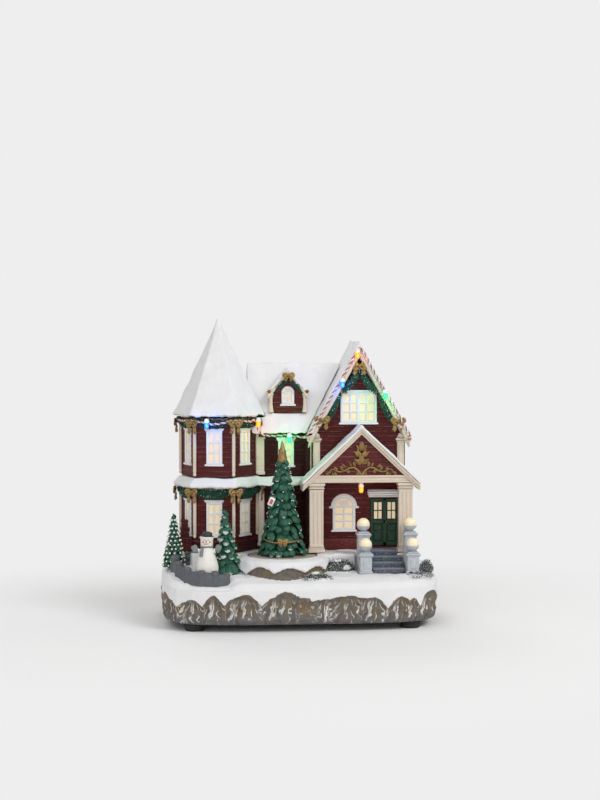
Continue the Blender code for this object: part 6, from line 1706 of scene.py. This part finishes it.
class VILLAGE_OT_steps(bpy.types.Operator):
    """Speckled stone steps, and the panelled posts with their globe lamps"""

    bl_idname = "village.steps"
    bl_label = "Steps and lamp posts"

    def execute(self, context):
        clay = Clay()
        low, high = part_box("entry_steps")
        left, right, front, floor = low.x * 1000, high.x * 1000, low.y * 1000, low.z * 1000
        top, back = high.z * 1000, high.y * 1000
        for step in range(4):
            near = front + step * 7.0
            level = top - (3 - step) * 4.0
            clay.slab((left, right), (near, back), (floor, level - 0.9), 0.3, 0, 0.0)
            clay.slab((left + 0.1, right - 0.1), (near - 0.25, back), (level - 1.1, level), 0.45, 0, 1.0)
        dress("entry_steps", clay, ["granite"])
        for node, side in (("stair_wall_left", -1), ("stair_wall_right", 1)):
            clay = Clay()
            low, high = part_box(node)
            x, floor = STEPS_X + side * 19.3, low.z * 1000
            for y, tall in ((-41.5, 14.0), (-27.5, 29.0)):
                self.post(clay, x, y, 42.7, 42.7 + tall)
            clay.slab(about(x, 3.4), (-38.5, -3.4), (floor + 0.4, 55.5), 0.5)
            dress(node, clay, ["post", "globe", "frame"])
        return {"FINISHED"}

    def post(self, clay, x, y, low, high):
        """A square post with sunk panels, a stepped cap and a globe in a cup."""
        half = 4.75
        clay.slab(about(x, half), about(y, half), (low, high), 0.5)
        clay.slab(about(x, half + 0.8), about(y, half + 0.8), (low, low + 2.2), 0.5)
        tall = high - low
        if tall > 20:
            for shift in (-1.9, 1.9):
                clay.slab(about(x + shift, 1.0), (y - half - 0.45, y), (low + 4.0, high - 2.4), 0.45)
            clay.slab(about(x, half + 0.45), about(y, 2.4), (low + 4.0, high - 2.4), 0.45)
        else:
            clay.slab(about(x, 2.6), (y - half - 0.45, y), (low + 4.0, high - 2.2), 0.6)
            clay.slab(about(x, half + 0.45), about(y, 2.4), (low + 4.0, high - 2.2), 0.6)
        clay.slab(about(x, 5.3), about(y, 5.3), (high - 0.4, high + 0.7), 0.3)
        clay.slab(about(x, 6.0), about(y, 6.0), (high + 0.5, high + 2.4), 0.6)
        clay.slab(about(x, 4.8), about(y, 4.8), (high + 2.1, high + 3.4), 0.5)
        base = high + 3.2
        clay.turned(
            (x, y),
            [
                (0.0, base - 0.2), (3.0, base - 0.1), (3.3, base + 0.6), (2.4, base + 1.2), (3.5, base + 1.9),
                (4.9, base + 3.4), (5.5, base + 5.0), (5.3, base + 5.3), (0.0, base + 5.2),
            ],
            24,
        )
        middle = base + 6.2
        clay.turned((x, y), [(5.3 * cos(a), middle + 5.3 * sin(a)) for a in
                             [radians(-70 + 160 * k / 14) for k in range(15)]], 28, 1)


def bough(clay, tip, way, long, wide, frost_and_highlight, luck):
    """A broad drooping spray of leaves that ends at a tip."""
    side = way.cross(UP).normalized()
    start = tip - way * long * 0.62 + UP * long * luck.uniform(0.62, 0.85)
    middle = start.lerp(tip, 0.55) + way * long * 0.17 + UP * long * 0.06
    # how pale the tips get: frost together with a painted highlight
    bright = luck.uniform(frost_and_highlight - 0.25, frost_and_highlight + 0.30)
    rings, tints = [], []
    for share, width in ((0.0, 0.45), (0.25, 0.82), (0.5, 1.0), (0.72, 0.88), (0.90, 0.55), (1.0, 0.12)):
        spot = start.lerp(middle, share).lerp(middle.lerp(tip, share), share)
        along = (middle - start).lerp(tip - middle, share).normalized()
        out = side.cross(along).normalized()
        rings.append([
            spot + (side * cos(k * pi / 4) + out * 0.5 * sin(k * pi / 4)) * wide * 0.5 * width
            for k in range(8)
        ])
        tints.extend([share * bright] * 8)
    clay.rings(rings, tint=tints)


def fir(clay, centre, low, radii, height, tiers, leaf, luck, frost_and_highlight=0.8, lean=0.0):
    """A fir tree: a carved cone under overlapping, uneven rows of boughs, from one radius to another."""
    wide, slim = radii
    x, y = centre[0], centre[1]

    def reach(share):
        return slim + (wide - slim) * (1 - share) ** 0.95

    clay.rings([
        [Vector((x + lean * share + max(0.2, reach(share) * 0.62) * cos(k * pi / 8),
                 y + max(0.2, reach(share) * 0.62) * sin(k * pi / 8), low + height * share)) for k in range(16)]
        for share in (0.0, 0.3, 0.6, 0.96)
    ], tint=0.05)
    for tier in range(tiers):
        share = tier / (tiers - 1)
        level = low + height * (0.03 + 0.95 * share)
        long_here = leaf * (1.0 - 0.28 * share)
        count = max(5, int(2 * pi * reach(share) / (long_here * 0.66)))
        for k in range(count):
            angle = 2 * pi * (k + 0.5 * (tier % 2)) / count + luck.uniform(-0.24, 0.24)
            way = heading(angle)
            long = long_here * luck.uniform(0.85, 1.15)
            tip = Vector((x + lean * share, y, max(level - long * luck.uniform(0.10, 0.55), low + 0.05)))
            bough(clay, tip + way * reach(share) * luck.uniform(0.90, 1.05), way, long, long * 0.72, frost_and_highlight, luck)


class VILLAGE_OT_trees(bpy.types.Operator):
    """The turning fir tree with its topper and disc, and the two small firs"""

    bl_idname = "village.trees"
    bl_label = "Trees"

    def execute(self, context):
        luck = random.Random(11)
        clay = Clay()
        fir(clay, TREE, 56.3, (19.2, 5.4), 76.0, 12, 9.6, luck, 0.72)
        for _ in range(60):
            share = luck.random() ** 1.2
            angle = luck.uniform(0, 2 * pi)
            spot = TREE + heading(angle) * (18.4 - 12.4 * share)
            clay.lump(spot + UP * (58.5 + 70 * share), (0.6, 0.6, 0.6), 1, 0, 0, 1)
        make("tree_leaves", clay, ["fir", "bead"], "tree", ["tree_body"], 50)
        clay = Clay()
        clay.turned(
            (TREE.x, TREE.y),
            [
                (0.0, 132.0), (3.6, 132.2), (4.1, 133.4), (3.8, 134.6), (3.3, 137.0), (2.7, 140.0), (2.9, 141.0),
                (2.7, 142.4), (2.0, 143.2), (1.6, 145.2), (0.9, 148.4), (0.0, 149.6),
            ],
            20, flute=lambda angle, level: 1 + 0.07 * cos(7 * angle),
        )
        dress("tree_topper", clay, ["gold"], "tree", 50)
        clay = Clay()
        bow(clay, TREE + Vector((-1.0, -19.0, 69.2)), Vector((0, -1, 0)), 6.5, 3.0)
        chain = []
        for k in range(9):
            angle = radians(-152 + 15 * k)
            chain.append(
                TREE + Vector(
                    (18.0 * cos(angle), 18.0 * sin(angle), 70.6 - 1.5 * k + 0.22 * k * k - 0.06 * max(0, k - 4) ** 3)
                )
            )
        clay.tube(smooth_route(chain, 0.8), 0.6, 8)
        make("tree_gold_garland", clay, ["gold"], "tree", angle=60)
        clay = Clay()
        ornament = Matrix.Translation(TREE + Vector((-9.6, -9.4, 101.0))) @ Matrix.Rotation(radians(24), 4, "Y")
        clay.slab((-2.3, 2.3), (-1.3, 0.4), (-3.6, 3.6), 0.6, 2, 0, ornament)
        clay.slab((-1.2, 1.2), (-1.9, -0.8), (-1.9, 2.0), 0.5, 1, 0, ornament)
        clay.tube([(0, -0.4, 3.4), (0.2, -0.6, 4.6), (0.9, -0.4, 5.2)], 0.3, 6, 0, 0, ornament)
        make("tree_gift_tag", clay, ["gold", "cheek", "candy_white"], "tree", angle=60)
        clay = Clay()
        clay.turned(
            (TREE.x, TREE.y), [(1.75, 54.4), (27.2, 54.4), (27.6, 54.8), (27.6, 55.6), (27.2, 56.0), (1.75, 56.0)], 72
        )
        dress("turntable_disc", clay, ["recess"], "tree", 40)
        clay = Clay()
        fir(clay, (-59.5, -34.5), 42.6, (12.6, 2.6), 49.0, 8, 9.6, luck, 1.05, -2.6)
        make("small_tree_front_leaves", clay, ["fir"], nodes=["small_tree_front"], angle=50)
        clay = Clay()
        fir(clay, (-103.0, -12.0), 46.0, (9.4, 2.0), 41.5, 11, 5.6, luck, 0.6)
        for row in range(12):
            share = row / 12
            for k in range(12 - row // 2):
                angle = 2 * pi * (k + 0.5 * (row % 2)) / (12 - row // 2) + luck.uniform(-0.1, 0.1)
                far = 9.3 - 7.2 * share
                spot = Vector((-103.0 + far * cos(angle), -12.0 + far * sin(angle), 48.0 + 40 * share))
                clay.lump(spot, (0.85, 0.85, 0.85), 2, 0.1, k, 1)
        make("small_tree_left_leaves", clay, ["fir", "bead"], nodes=["small_tree_left"], angle=50)
        return {"FINISHED"}


class VILLAGE_OT_snowman(bpy.types.Operator):
    """The snowman with hat, scarf and raised mittens"""

    bl_idname = "village.snowman"
    bl_label = "Snowman"

    def execute(self, context):
        clay = Clay()
        x, y = -77.0, -46.6
        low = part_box("snowman")[0].z * 1000
        clay.turned(
            (x, y),
            [
                (0.0, low), (8.2, low), (9.0, low + 1.5), (9.5, low + 6.5), (8.9, low + 9.5), (7.3, low + 14.5),
                (5.9, low + 19.0), (5.0, low + 22.4), (4.4, low + 23.6), (0.0, low + 23.8),
            ],
            32, flute=lambda angle, level: 1 + 0.018 * cos(7 * angle + level * 0.1),
        )
        clay.turned(
            (x, y),
            [
                (0.0, low + 23.4), (4.5, low + 23.8), (5.0, low + 24.8), (5.0, low + 28.0), (5.2, low + 29.8),
                (5.8, low + 30.9), (5.7, low + 31.6), (4.6, low + 32.0), (0.0, low + 32.1),
            ],
            24,
        )
        tilt = Matrix.Translation((x, y, low + 31.6)) @ Matrix.Rotation(radians(8), 4, "Y")
        clay.turned(
            (0.3, 0),
            [
                (0.0, 0.0), (5.0, 0.1), (5.5, 0.5), (5.2, 0.9), (4.0, 1.0), (3.9, 2.6), (3.3, 3.6), (1.8, 4.0),
                (0.0, 4.05),
            ],
            24, 1, 0, tilt,
        )
        ring = [(x + 4.6 * cos(a), y + 4.6 * sin(a), low + 23.5 + 0.2 * sin(3 * a)) for a in
                [2 * pi * k / 24 for k in range(24)]]
        clay.tube(ring + ring[:2], 0.75, 10, 2)
        clay.tube([(x - 3.6, y - 4.4, low + 23.0), (x - 4.4, y - 5.0, low + 19.6), (x - 4.8, y - 5.8, low + 16.2)],
                  [1.0, 1.4, 1.6], 8, 2, flat=0.5, face=tuple(FRONT))
        for side, far in ((-1, 9.6), (1, 8.9)):
            arm = [
                (x + side * 3.8, y - 1.0, low + 19.0), (x + side * 6.0, y - 1.8, low + 20.2),
                (x + side * (far - 1.6), y - 2.0, low + 21.4),
            ]
            clay.tube(arm, [2.0, 1.7, 1.5], 10)
            place = Matrix.Translation(
                (x + side * far, y - 2.0, low + 22.0)
            ) @ Matrix.Rotation(radians(side * 24), 4, "Y")
            clay.slab((-2.5, 2.5), (-1.7, 1.7), (-3.2, 3.0), 0.9, 3, 0, place)
        for dx, dz, size, tone_index in (
            (-2.2, 29.2, 0.42, 1), (0.9, 29.3, 0.42, 1), (-3.0, 27.6, 0.75, 4), (2.3, 27.6, 0.7, 4)
        ):
            clay.lump((x + dx, y - sqrt(25.5 - dx * dx), low + dz), (size, size * 0.6, size), 2, 0.05, 1, tone_index)
        clay.tube([(x - 0.6, y - 4.8, low + 28.2), (x - 0.9, y - 6.4, low + 28.0)], [0.75, 0.3], 8, 4)
        smile = [
            (x - 0.6 + dx, y - sqrt(26 - dx * dx), low + 26.0 + 0.16 * dx * dx)
            for dx in (-1.7, -0.9, 0.0, 0.9, 1.7)
        ]
        clay.tube(smile, 0.26, 6, 4)
        dress("snowman", clay, ["snowman", "hat", "mitten", "mitten", "cheek"], angle=45)
        return {"FINISHED"}


def leafy_bush(clay, centre, size, luck, count):
    """Small leaves over the uneven lump of a low bush."""
    for _ in range(count):
        way = Vector((luck.gauss(0, 1), luck.gauss(0, 1), abs(luck.gauss(0, 1)) * 0.9 + 0.05)).normalized()
        swell = luck.uniform(0.72, 0.98)
        base = Vector([centre[i] + way[i] * size[i] * swell for i in range(3)])
        lean = (
            way + Vector((luck.uniform(-0.7, 0.7), luck.uniform(-0.7, 0.7), luck.uniform(-0.2, 0.6)))
        ).normalized()
        clay.leaf(base, base + lean * luck.uniform(1.3, 2.3), way, luck.uniform(0.7, 1.1), 0.35, 0, 0.2,
                  (0.0, luck.uniform(0.3, 1.0)))


class VILLAGE_OT_garden(bpy.types.Operator):
    """Low stone wall, cobbles, snowy bushes and the stepped wall behind the left tree"""

    bl_idname = "village.garden"
    bl_label = "Garden"

    def execute(self, context):
        luck = random.Random(23)
        clay = Clay()
        centre, reach = Vector((*GARDEN, 0)), Vector((*GARDEN_REACH, 0))

        def along(degrees):
            angle = radians(degrees)
            return Vector((centre.x + reach.x * cos(angle), centre.y + reach.y * sin(angle), 0))

        def section(degrees, far):
            spot, way = along(degrees), (along(degrees + 1) - along(degrees)).normalized()
            side = Vector((way.y, -way.x, 0))
            base = ground_height(spot.y) - garden_dip(degrees)
            swell = 0.5 * wave((degrees * 0.4, far, 3), 2.0, 4)
            outline = [
                (-2.5, -2.0), (-2.5, 4.0), (-2.1, 6.3), (-1.2, 7.2), (1.2, 7.2), (2.1, 6.3), (2.5, 4.0), (2.6, -2.0)
            ]
            return [
                spot + side * (across + swell * 0.6) + UP * (base + up + (swell if up > 0 else 0))
                for across, up in outline
            ]

        for first, last in ((188, 206), (206.5, 228), (228.5, 252), (252.5, 273), (273.5, 294)):
            clay.rings([section(first + (last - first) * k / 8, k) for k in range(9)])
        for degrees, radius, tall in (
            (189, 3.8, 12.4), (207, 3.3, 11.0), (228, 3.4, 10.8), (252, 3.4, 10.6), (273, 3.4, 10.4), (291, 3.0, 8.4)
        ):
            spot = along(degrees)
            base = ground_height(spot.y) - garden_dip(degrees)
            clay.turned(
                (spot.x, spot.y),
                [
                    (radius * wide, base + level)
                    for wide, level in (
                        (0.0, -2.0), (1.0, -1.9), (1.05, 1.0), (0.95, 2.4), (0.93, tall * 0.6), (1.0, tall * 0.72),
                        (0.92, tall * 0.88), (0.6, tall * 0.98), (0.0, tall),
                    )
                ],
                18, flute=lambda angle, level: 1 + 0.05 * cos(5 * angle + level),
            )
        make("garden_wall_stones", clay, ["wall_stone"], angle=60)
        clay = Clay()
        for row in range(4):
            for k in range(5):
                x, z = -94.0 + k * 3.9 + (row % 2) * 1.9, 47.5 + row * 3.0
                clay.lump((x, -9.0 + (k - 2) ** 2 * 0.55 - row * 0.1, z), (2.2, 1.9, 1.7), 2, 0.18, luck.random() * 9)
        make("tower_cobbles", clay, ["wall_stone"], angle=180)
        clay = Clay()
        for left, front, top in ((-98.6, -3.4, 66.0), (-97.6, -1.0, 71.0), (-97.0, 2.0, 76.0), (-96.4, 5.0, 82.0)):
            clay.slab((left, -84.0), (front, 13.6), (56.9, top), 0.5)
            clay.slab((left - 0.6, -84.0), (front - 0.5, 14.1), (top - 0.9, top + 0.5), 0.4)
        make("tower_buttress", clay, ["clapboard"], angle=35)
        clay = Clay()
        for centre, size, count in BUSHES + [
            ((94, -50, 40.5), (12.0, 6.0, 3.6), 240), ((2, -57, 40.0), (8.0, 5.0, 3.0), 120)
        ]:
            leafy_bush(clay, centre, [value + 0.4 for value in size], luck, count)
        make("snowy_bushes", clay, ["leafy_bush"], angle=180)
        clay = Clay()
        for spot, size in (
            ((30.0, -32.0, 51.4), (5.0, 4.0, 2.2)), ((36.5, -36.6, 46.8), (4.0, 3.0, 2.6)),
            ((10, -57.0, 45.2), (4.6, 3.0, 1.6)),
        ):
            clay.lump(spot, size, 3, 0.2, spot[0])
        make("bush_snow", clay, ["snow"], angle=180)
        return {"FINISHED"}


def twine_stops():
    """The route of the light string, in metres as the solids have it, turned into millimetres."""
    high = 0.1683 - 0.0009 - 0.0016
    reach = 0.031 + 0.0003 + 0.0018 + 0.0003 + 0.0009 + 0.0006
    stops = []
    for corner, height in (
        (-1, high), (-0.5, high - 0.0005), (0, high + 0.0004), (0.5, high - 0.0026), (1, high + 0.0003),
        (1.5, high - 0.0010),
    ):
        angle = TOWER_TURN + corner * pi / 3
        far = reach if corner == int(corner) else reach * 0.93
        stops.append(Vector((-0.065 + far * cos(angle), 0.014 + far * sin(angle), height)))
    for place in (
        (-0.0366, -0.0030, 0.1659), (-0.0344, -0.0014, 0.1640), (-0.0334, -0.0010, 0.1600),
        (-0.0318, -0.0010, 0.1556), (-0.0276, 0.0006, 0.1530),
    ):
        stops.append(Vector(place))
    hang_y = 0.010 - 0.0012 - 0.0003 - 0.0009 - 0.0022
    for x, z in ((-0.0200, 0.1522), (-0.0090, 0.1528), (-0.0010, 0.1518), (0.0050, 0.1508)):
        stops.append(Vector((x, hang_y, z)))
    rake_y = -0.008 - 0.0003 - 0.0009
    stops.append(Vector((0.051 - 0.0432 - 0.0014, -0.0040, 0.155 - 0.0030)))
    stops.append(Vector((0.051 - 0.0432 - 0.0008, rake_y - 0.0003, 0.155 - 0.0018)))
    for share in (-0.8, -0.6, -0.4, -0.2, -0.05, 0.05, 0.2, 0.4, 0.6, 0.8, 0.97):
        lift = 0.0004 * cos(9 * share)
        z = 0.232 - 0.0050 - abs(share) * (0.232 - 0.155 - 0.0040) + lift
        stops.append(Vector((0.051 + share * 0.0432 * 0.96, rake_y, z)))
    stops.append(Vector((0.051 + 0.0432 * 0.99, rake_y + 0.0002, 0.155 - 0.0030)))
    stops.append(Vector((0.051 + 0.0432 * 0.93, rake_y + 0.0004, 0.155 - 0.0062)))
    return [stop * 1000 for stop in stops]


class VILLAGE_OT_twine(bpy.types.Operator):
    """Red and white twisted twine of the light string"""

    bl_idname = "village.twine"
    bl_label = "Twine"

    def execute(self, context):
        route = smooth_route(twine_stops(), 0.55)
        lay = sizes().twine_lay * 1000
        clay = Clay()
        walked = [0.0]
        for near, far in zip(route, route[1:]):
            walked.append(walked[-1] + (far - near).length)
        side = None
        strands = ([], [])
        for index, point in enumerate(route):
            along = (route[min(index + 1, len(route) - 1)] - route[max(index - 1, 0)]).normalized()
            if side is None:
                side = along.cross(UP)
            side = (side - along * side.dot(along)).normalized()
            other = along.cross(side)
            turn = 2 * pi * walked[index] / lay
            for number, strand in enumerate(strands):
                angle = turn + pi * number
                strand.append(point + (side * cos(angle) + other * sin(angle)) * 0.47)
        for number, strand in enumerate(strands):
            clay.tube(strand, 0.55, 8, number)
        make("light_string_twine", clay, ["twine_red", "twine_white"], nodes=["light_string"], angle=60)
        return {"FINISHED"}


# Colour and strength of the light that each kind of lamp throws on the wall behind it.
GLOWS = {
    "lamp_blue": ((0.04, 0.20, 1.0), 0.010),
    "lamp_green": ((0.02, 1.0, 0.22), 0.009),
    "lamp_orange": ((1.0, 0.36, 0.05), 0.002),
}


class VILLAGE_OT_lamps(bpy.types.Operator):
    """Coloured lamps with their sockets"""

    bl_idname = "village.lamps"
    bl_label = "Lamps"

    def execute(self, context):
        for node in (
            "lamp_blue_tower", "lamp_orange_tower", "lamp_green_centre", "lamp_blue_gable", "lamp_orange_gable",
            "lamp_green_gable", "lamp_orange_porch",
        ):
            low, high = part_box(node)
            x, y = (low.x + high.x) * 500, (low.y + high.y) * 500
            foot, top = low.z * 1000, high.z * 1000
            clay = Clay()
            clay.turned(
                (x, y),
                [
                    (0.0, foot), (0.8, foot + 0.15), (1.5, foot + 0.7), (1.85, foot + 1.6), (1.9, foot + 3.0),
                    (1.85, foot + 4.6), (2.15, foot + 4.8), (2.15, foot + 5.3), (0.0, foot + 5.4),
                ],
                24,
            )
            clay.turned(
                (x, y),
                [
                    (0.0, foot + 4.9), (2.0, foot + 5.0), (2.2, foot + 5.3), (2.15, foot + 6.6), (1.7, foot + 7.4),
                    (1.75, foot + 7.9), (1.3, top - 0.1), (0.0, top),
                ],
                20, 1, flute=lambda angle, level: 1 + 0.03 * cos(10 * angle),
            )
            hue = "_".join(node.split("_")[:2])
            dress(node, clay, [hue, "socket"], angle=40)
            glow = bpy.data.lights.new(node + "_glow", "POINT")
            glow.color, power = GLOWS[hue]
            glow.energy = power
            glow.shadow_soft_size = 0.002
            linked(node + "_glow", glow).location = (x * MM, (y - 4.5) * MM, (foot + 2.0) * MM)
        return {"FINISHED"}


def repaint(finishes):
    """Gives solids that keep their own shape a finish."""
    for node, finish in finishes.items():
        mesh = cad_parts[node].data
        mesh.materials.clear()
        mesh.materials.append(paint(finish))


class VILLAGE_OT_drive(bpy.types.Operator):
    """Finishes of the motor, gears, cells, board and switch inside the base"""

    bl_idname = "village.drive"
    bl_label = "Drive and batteries"

    def execute(self, context):
        repaint(
            {
                "gear_motor": "motor", "tree_gear": "gear", "output_pinion": "gear", "tree_spindle": "spindle",
                "battery_cell_1": "jacket", "battery_cell_2": "jacket", "battery_cell_3": "jacket",
                "circuit_board": "board", "switch_body": "switch_body", "switch_knob": "knob",
            }
        )
        return {"FINISHED"}


class VILLAGE_OT_underside(bpy.types.Operator):
    """Bottom plate, feet and battery door, with the screws that hold the plate"""

    bl_idname = "village.underside"
    bl_label = "Underside"

    def execute(self, context):
        repaint({
            "bottom_plate": "black_plastic", "battery_door": "black_plastic", "foot_front_left": "rubber",
            "foot_front_right": "rubber", "foot_back_left": "rubber", "foot_back_right": "rubber",
        })
        clay = Clay()
        for x, y in ((-98, 0), (98, 0), (0, -56), (-30, 58), (30, 58)):
            clay.turned(
                (x, y), [(0.0, 6.55), (0.9, 6.45), (1.0, 5.75), (1.9, 5.7), (2.3, 6.1), (2.4, 6.7), (0.0, 6.8)], 18
            )
            for turn in (0, 90):
                place = Matrix.Translation((x, y, 0)) @ Matrix.Rotation(radians(turn), 4, "Z")
                clay.slab((-1.2, 1.2), (-0.22, 0.22), (5.72, 6.0), 0.05, 1, 0, place)
        make("plate_screws", clay, ["spindle", "black_plastic"], angle=40)
        return {"FINISHED"}


class VILLAGE_OT_stage(bpy.types.Operator):
    """Pale floor, soft studio lights and the camera"""

    bl_idname = "village.stage"
    bl_label = "Stage"

    def execute(self, context):
        self.floor()
        self.world()
        self.lights()
        self.camera()
        context.scene.view_settings.view_transform = "Standard"
        return {"FINISHED"}

    def seen_only(self, tree, seen, lit):
        """A seen shader for the camera and for mirror and glass rays, and a lit one for the rest."""
        camera, mirror, glass = (
            new_node(tree, "ShaderNodeLightPath", out=f"Is {kind} Ray")
            for kind in ("Camera", "Glossy", "Transmission")
        )
        rays = camera.sum("ADD", camera + mirror, glass, clamp=True)
        return new_node(tree, "ShaderNodeMixShader", None, {0: rays, 1: lit, 2: seen})

    def floor(self):
        mesh = bpy.data.meshes.new("studio_floor")
        profile = [(-1.6, 0.0)] + [(1.3 + 0.5 * sin(a), 0.5 - 0.5 * cos(a)) for a in
                                   [pi / 2 * k / 10 for k in range(11)]] + [(1.8, 2.4)]
        points, faces = [], []
        for y, z in profile:
            points += [(-3.5, y, z), (3.5, y, z)]
        for k in range(len(profile) - 1):
            faces.append([2 * k, 2 * k + 1, 2 * k + 3, 2 * k + 2])
        mesh.from_pydata(points, [], faces)
        mesh.shade_smooth()
        look = Finish("studio_floor_paint", 0.95, Specular_IOR_Level=0.0)
        look.feed("Base Color", look.mix(look.cloud(400, 2), (0.86, 0.86, 0.86), (0.88, 0.88, 0.88)))
        glow = look.node("ShaderNodeEmission", None, {"Color": (0.855, 0.855, 0.855, 1.0)})
        far = look.node("ShaderNodeVectorMath", {"operation": "LENGTH"}, {0: look.place}, "Value")
        lit = Wire(look.tree, look.shader.outputs[0])
        seen = look.node("ShaderNodeMixShader", None, {0: far.above(0.30, 0.24), 1: lit, 2: glow})
        surface = self.seen_only(look.tree, seen, lit)
        look.tree.links.new(surface.socket, look.tree.nodes["Material Output"].inputs["Surface"])
        mesh.materials.append(look.material)
        floor = linked("studio_floor", mesh)

    def world(self):
        world = bpy.data.worlds.new("studio_world")
        world.use_nodes = True
        tree = world.node_tree
        lit = tree.nodes["Background"]
        lit.inputs["Color"].default_value = (1.0, 0.99, 0.98, 1.0)
        lit.inputs["Strength"].default_value = 0.52
        values = {"Color": (0.86, 0.86, 0.86, 1.0), "Strength": 1.0}
        seen = new_node(tree, "ShaderNodeBackground", None, values)
        surface = self.seen_only(tree, seen, Wire(tree, lit.outputs[0]))
        tree.links.new(surface.socket, tree.nodes["World Output"].inputs["Surface"])
        bpy.context.scene.world = world

    def lights(self):
        for name, place, aim, size, power in (
            ("key_light", (0.95, -1.0, 1.25), (0.0, 0.0, 0.12), 0.8, 13.0),
            ("front_fill", (-0.7, -1.6, 0.75), (0.0, 0.0, 0.12), 1.4, 8.0),
            ("back_light", (-0.4, 1.3, 1.1), (0.0, 0.0, 0.12), 1.0, 6.0),
        ):
            data = bpy.data.lights.new(name, "AREA")
            data.size = size
            data.energy = power
            lamp = linked(name, data)
            lamp.location = place
            lamp.rotation_euler = (Vector(aim) - Vector(place)).to_track_quat("-Z", "Y").to_euler()

    def camera(self):
        data = bpy.data.cameras.new("photo_camera")
        data.sensor_fit = "VERTICAL"
        data.sensor_height = 36
        data.lens = 74.25
        data.clip_start = 0.05
        eye = linked("photo_camera", data)
        eye.location = (-0.1174, -1.365, 0.232)
        eye.rotation_euler = (radians(90 - 2.08), 0, radians(-5))
        bpy.context.scene.camera = eye


OPERATORS = [
    VILLAGE_OT_stage, VILLAGE_OT_base, VILLAGE_OT_walls, VILLAGE_OT_snow_roofs, VILLAGE_OT_windows,
    VILLAGE_OT_trims, VILLAGE_OT_garlands, VILLAGE_OT_bows, VILLAGE_OT_porch, VILLAGE_OT_door,
    VILLAGE_OT_steps, VILLAGE_OT_trees, VILLAGE_OT_snowman, VILLAGE_OT_garden, VILLAGE_OT_twine,
    VILLAGE_OT_lamps, VILLAGE_OT_drive, VILLAGE_OT_underside,
]


class VILLAGE_PT_house(bpy.types.Panel):
    """Lists the pieces of the village house and their settings"""

    bl_idname = "VILLAGE_PT_house"
    bl_label = "Village House"
    bl_space_type = "VIEW_3D"
    bl_region_type = "UI"
    bl_category = "Village House"

    def draw(self, context):
        for group in (context.scene.village_sizes, context.scene.village_colours):
            for name in group.bl_rna.properties.keys():
                if name not in ("rna_type", "name"):
                    self.layout.prop(group, name)
        for operator in OPERATORS:
            self.layout.operator(operator.bl_idname)


CLASSES = [VillageSizes, VillageColours, *OPERATORS, VILLAGE_PT_house]


def register():
    for item in CLASSES:
        bpy.utils.register_class(item)
    bpy.types.Scene.village_sizes = bpy.props.PointerProperty(type=VillageSizes)
    bpy.types.Scene.village_colours = bpy.props.PointerProperty(type=VillageColours)


def unregister():
    del bpy.types.Scene.village_colours
    del bpy.types.Scene.village_sizes
    for item in reversed(CLASSES):
        bpy.utils.unregister_class(item)


def main():
    register()
    for operator in OPERATORS:
        group, name = operator.bl_idname.split(".")
        getattr(getattr(bpy.ops, group), name)()


if __name__ == "__main__":
    main()
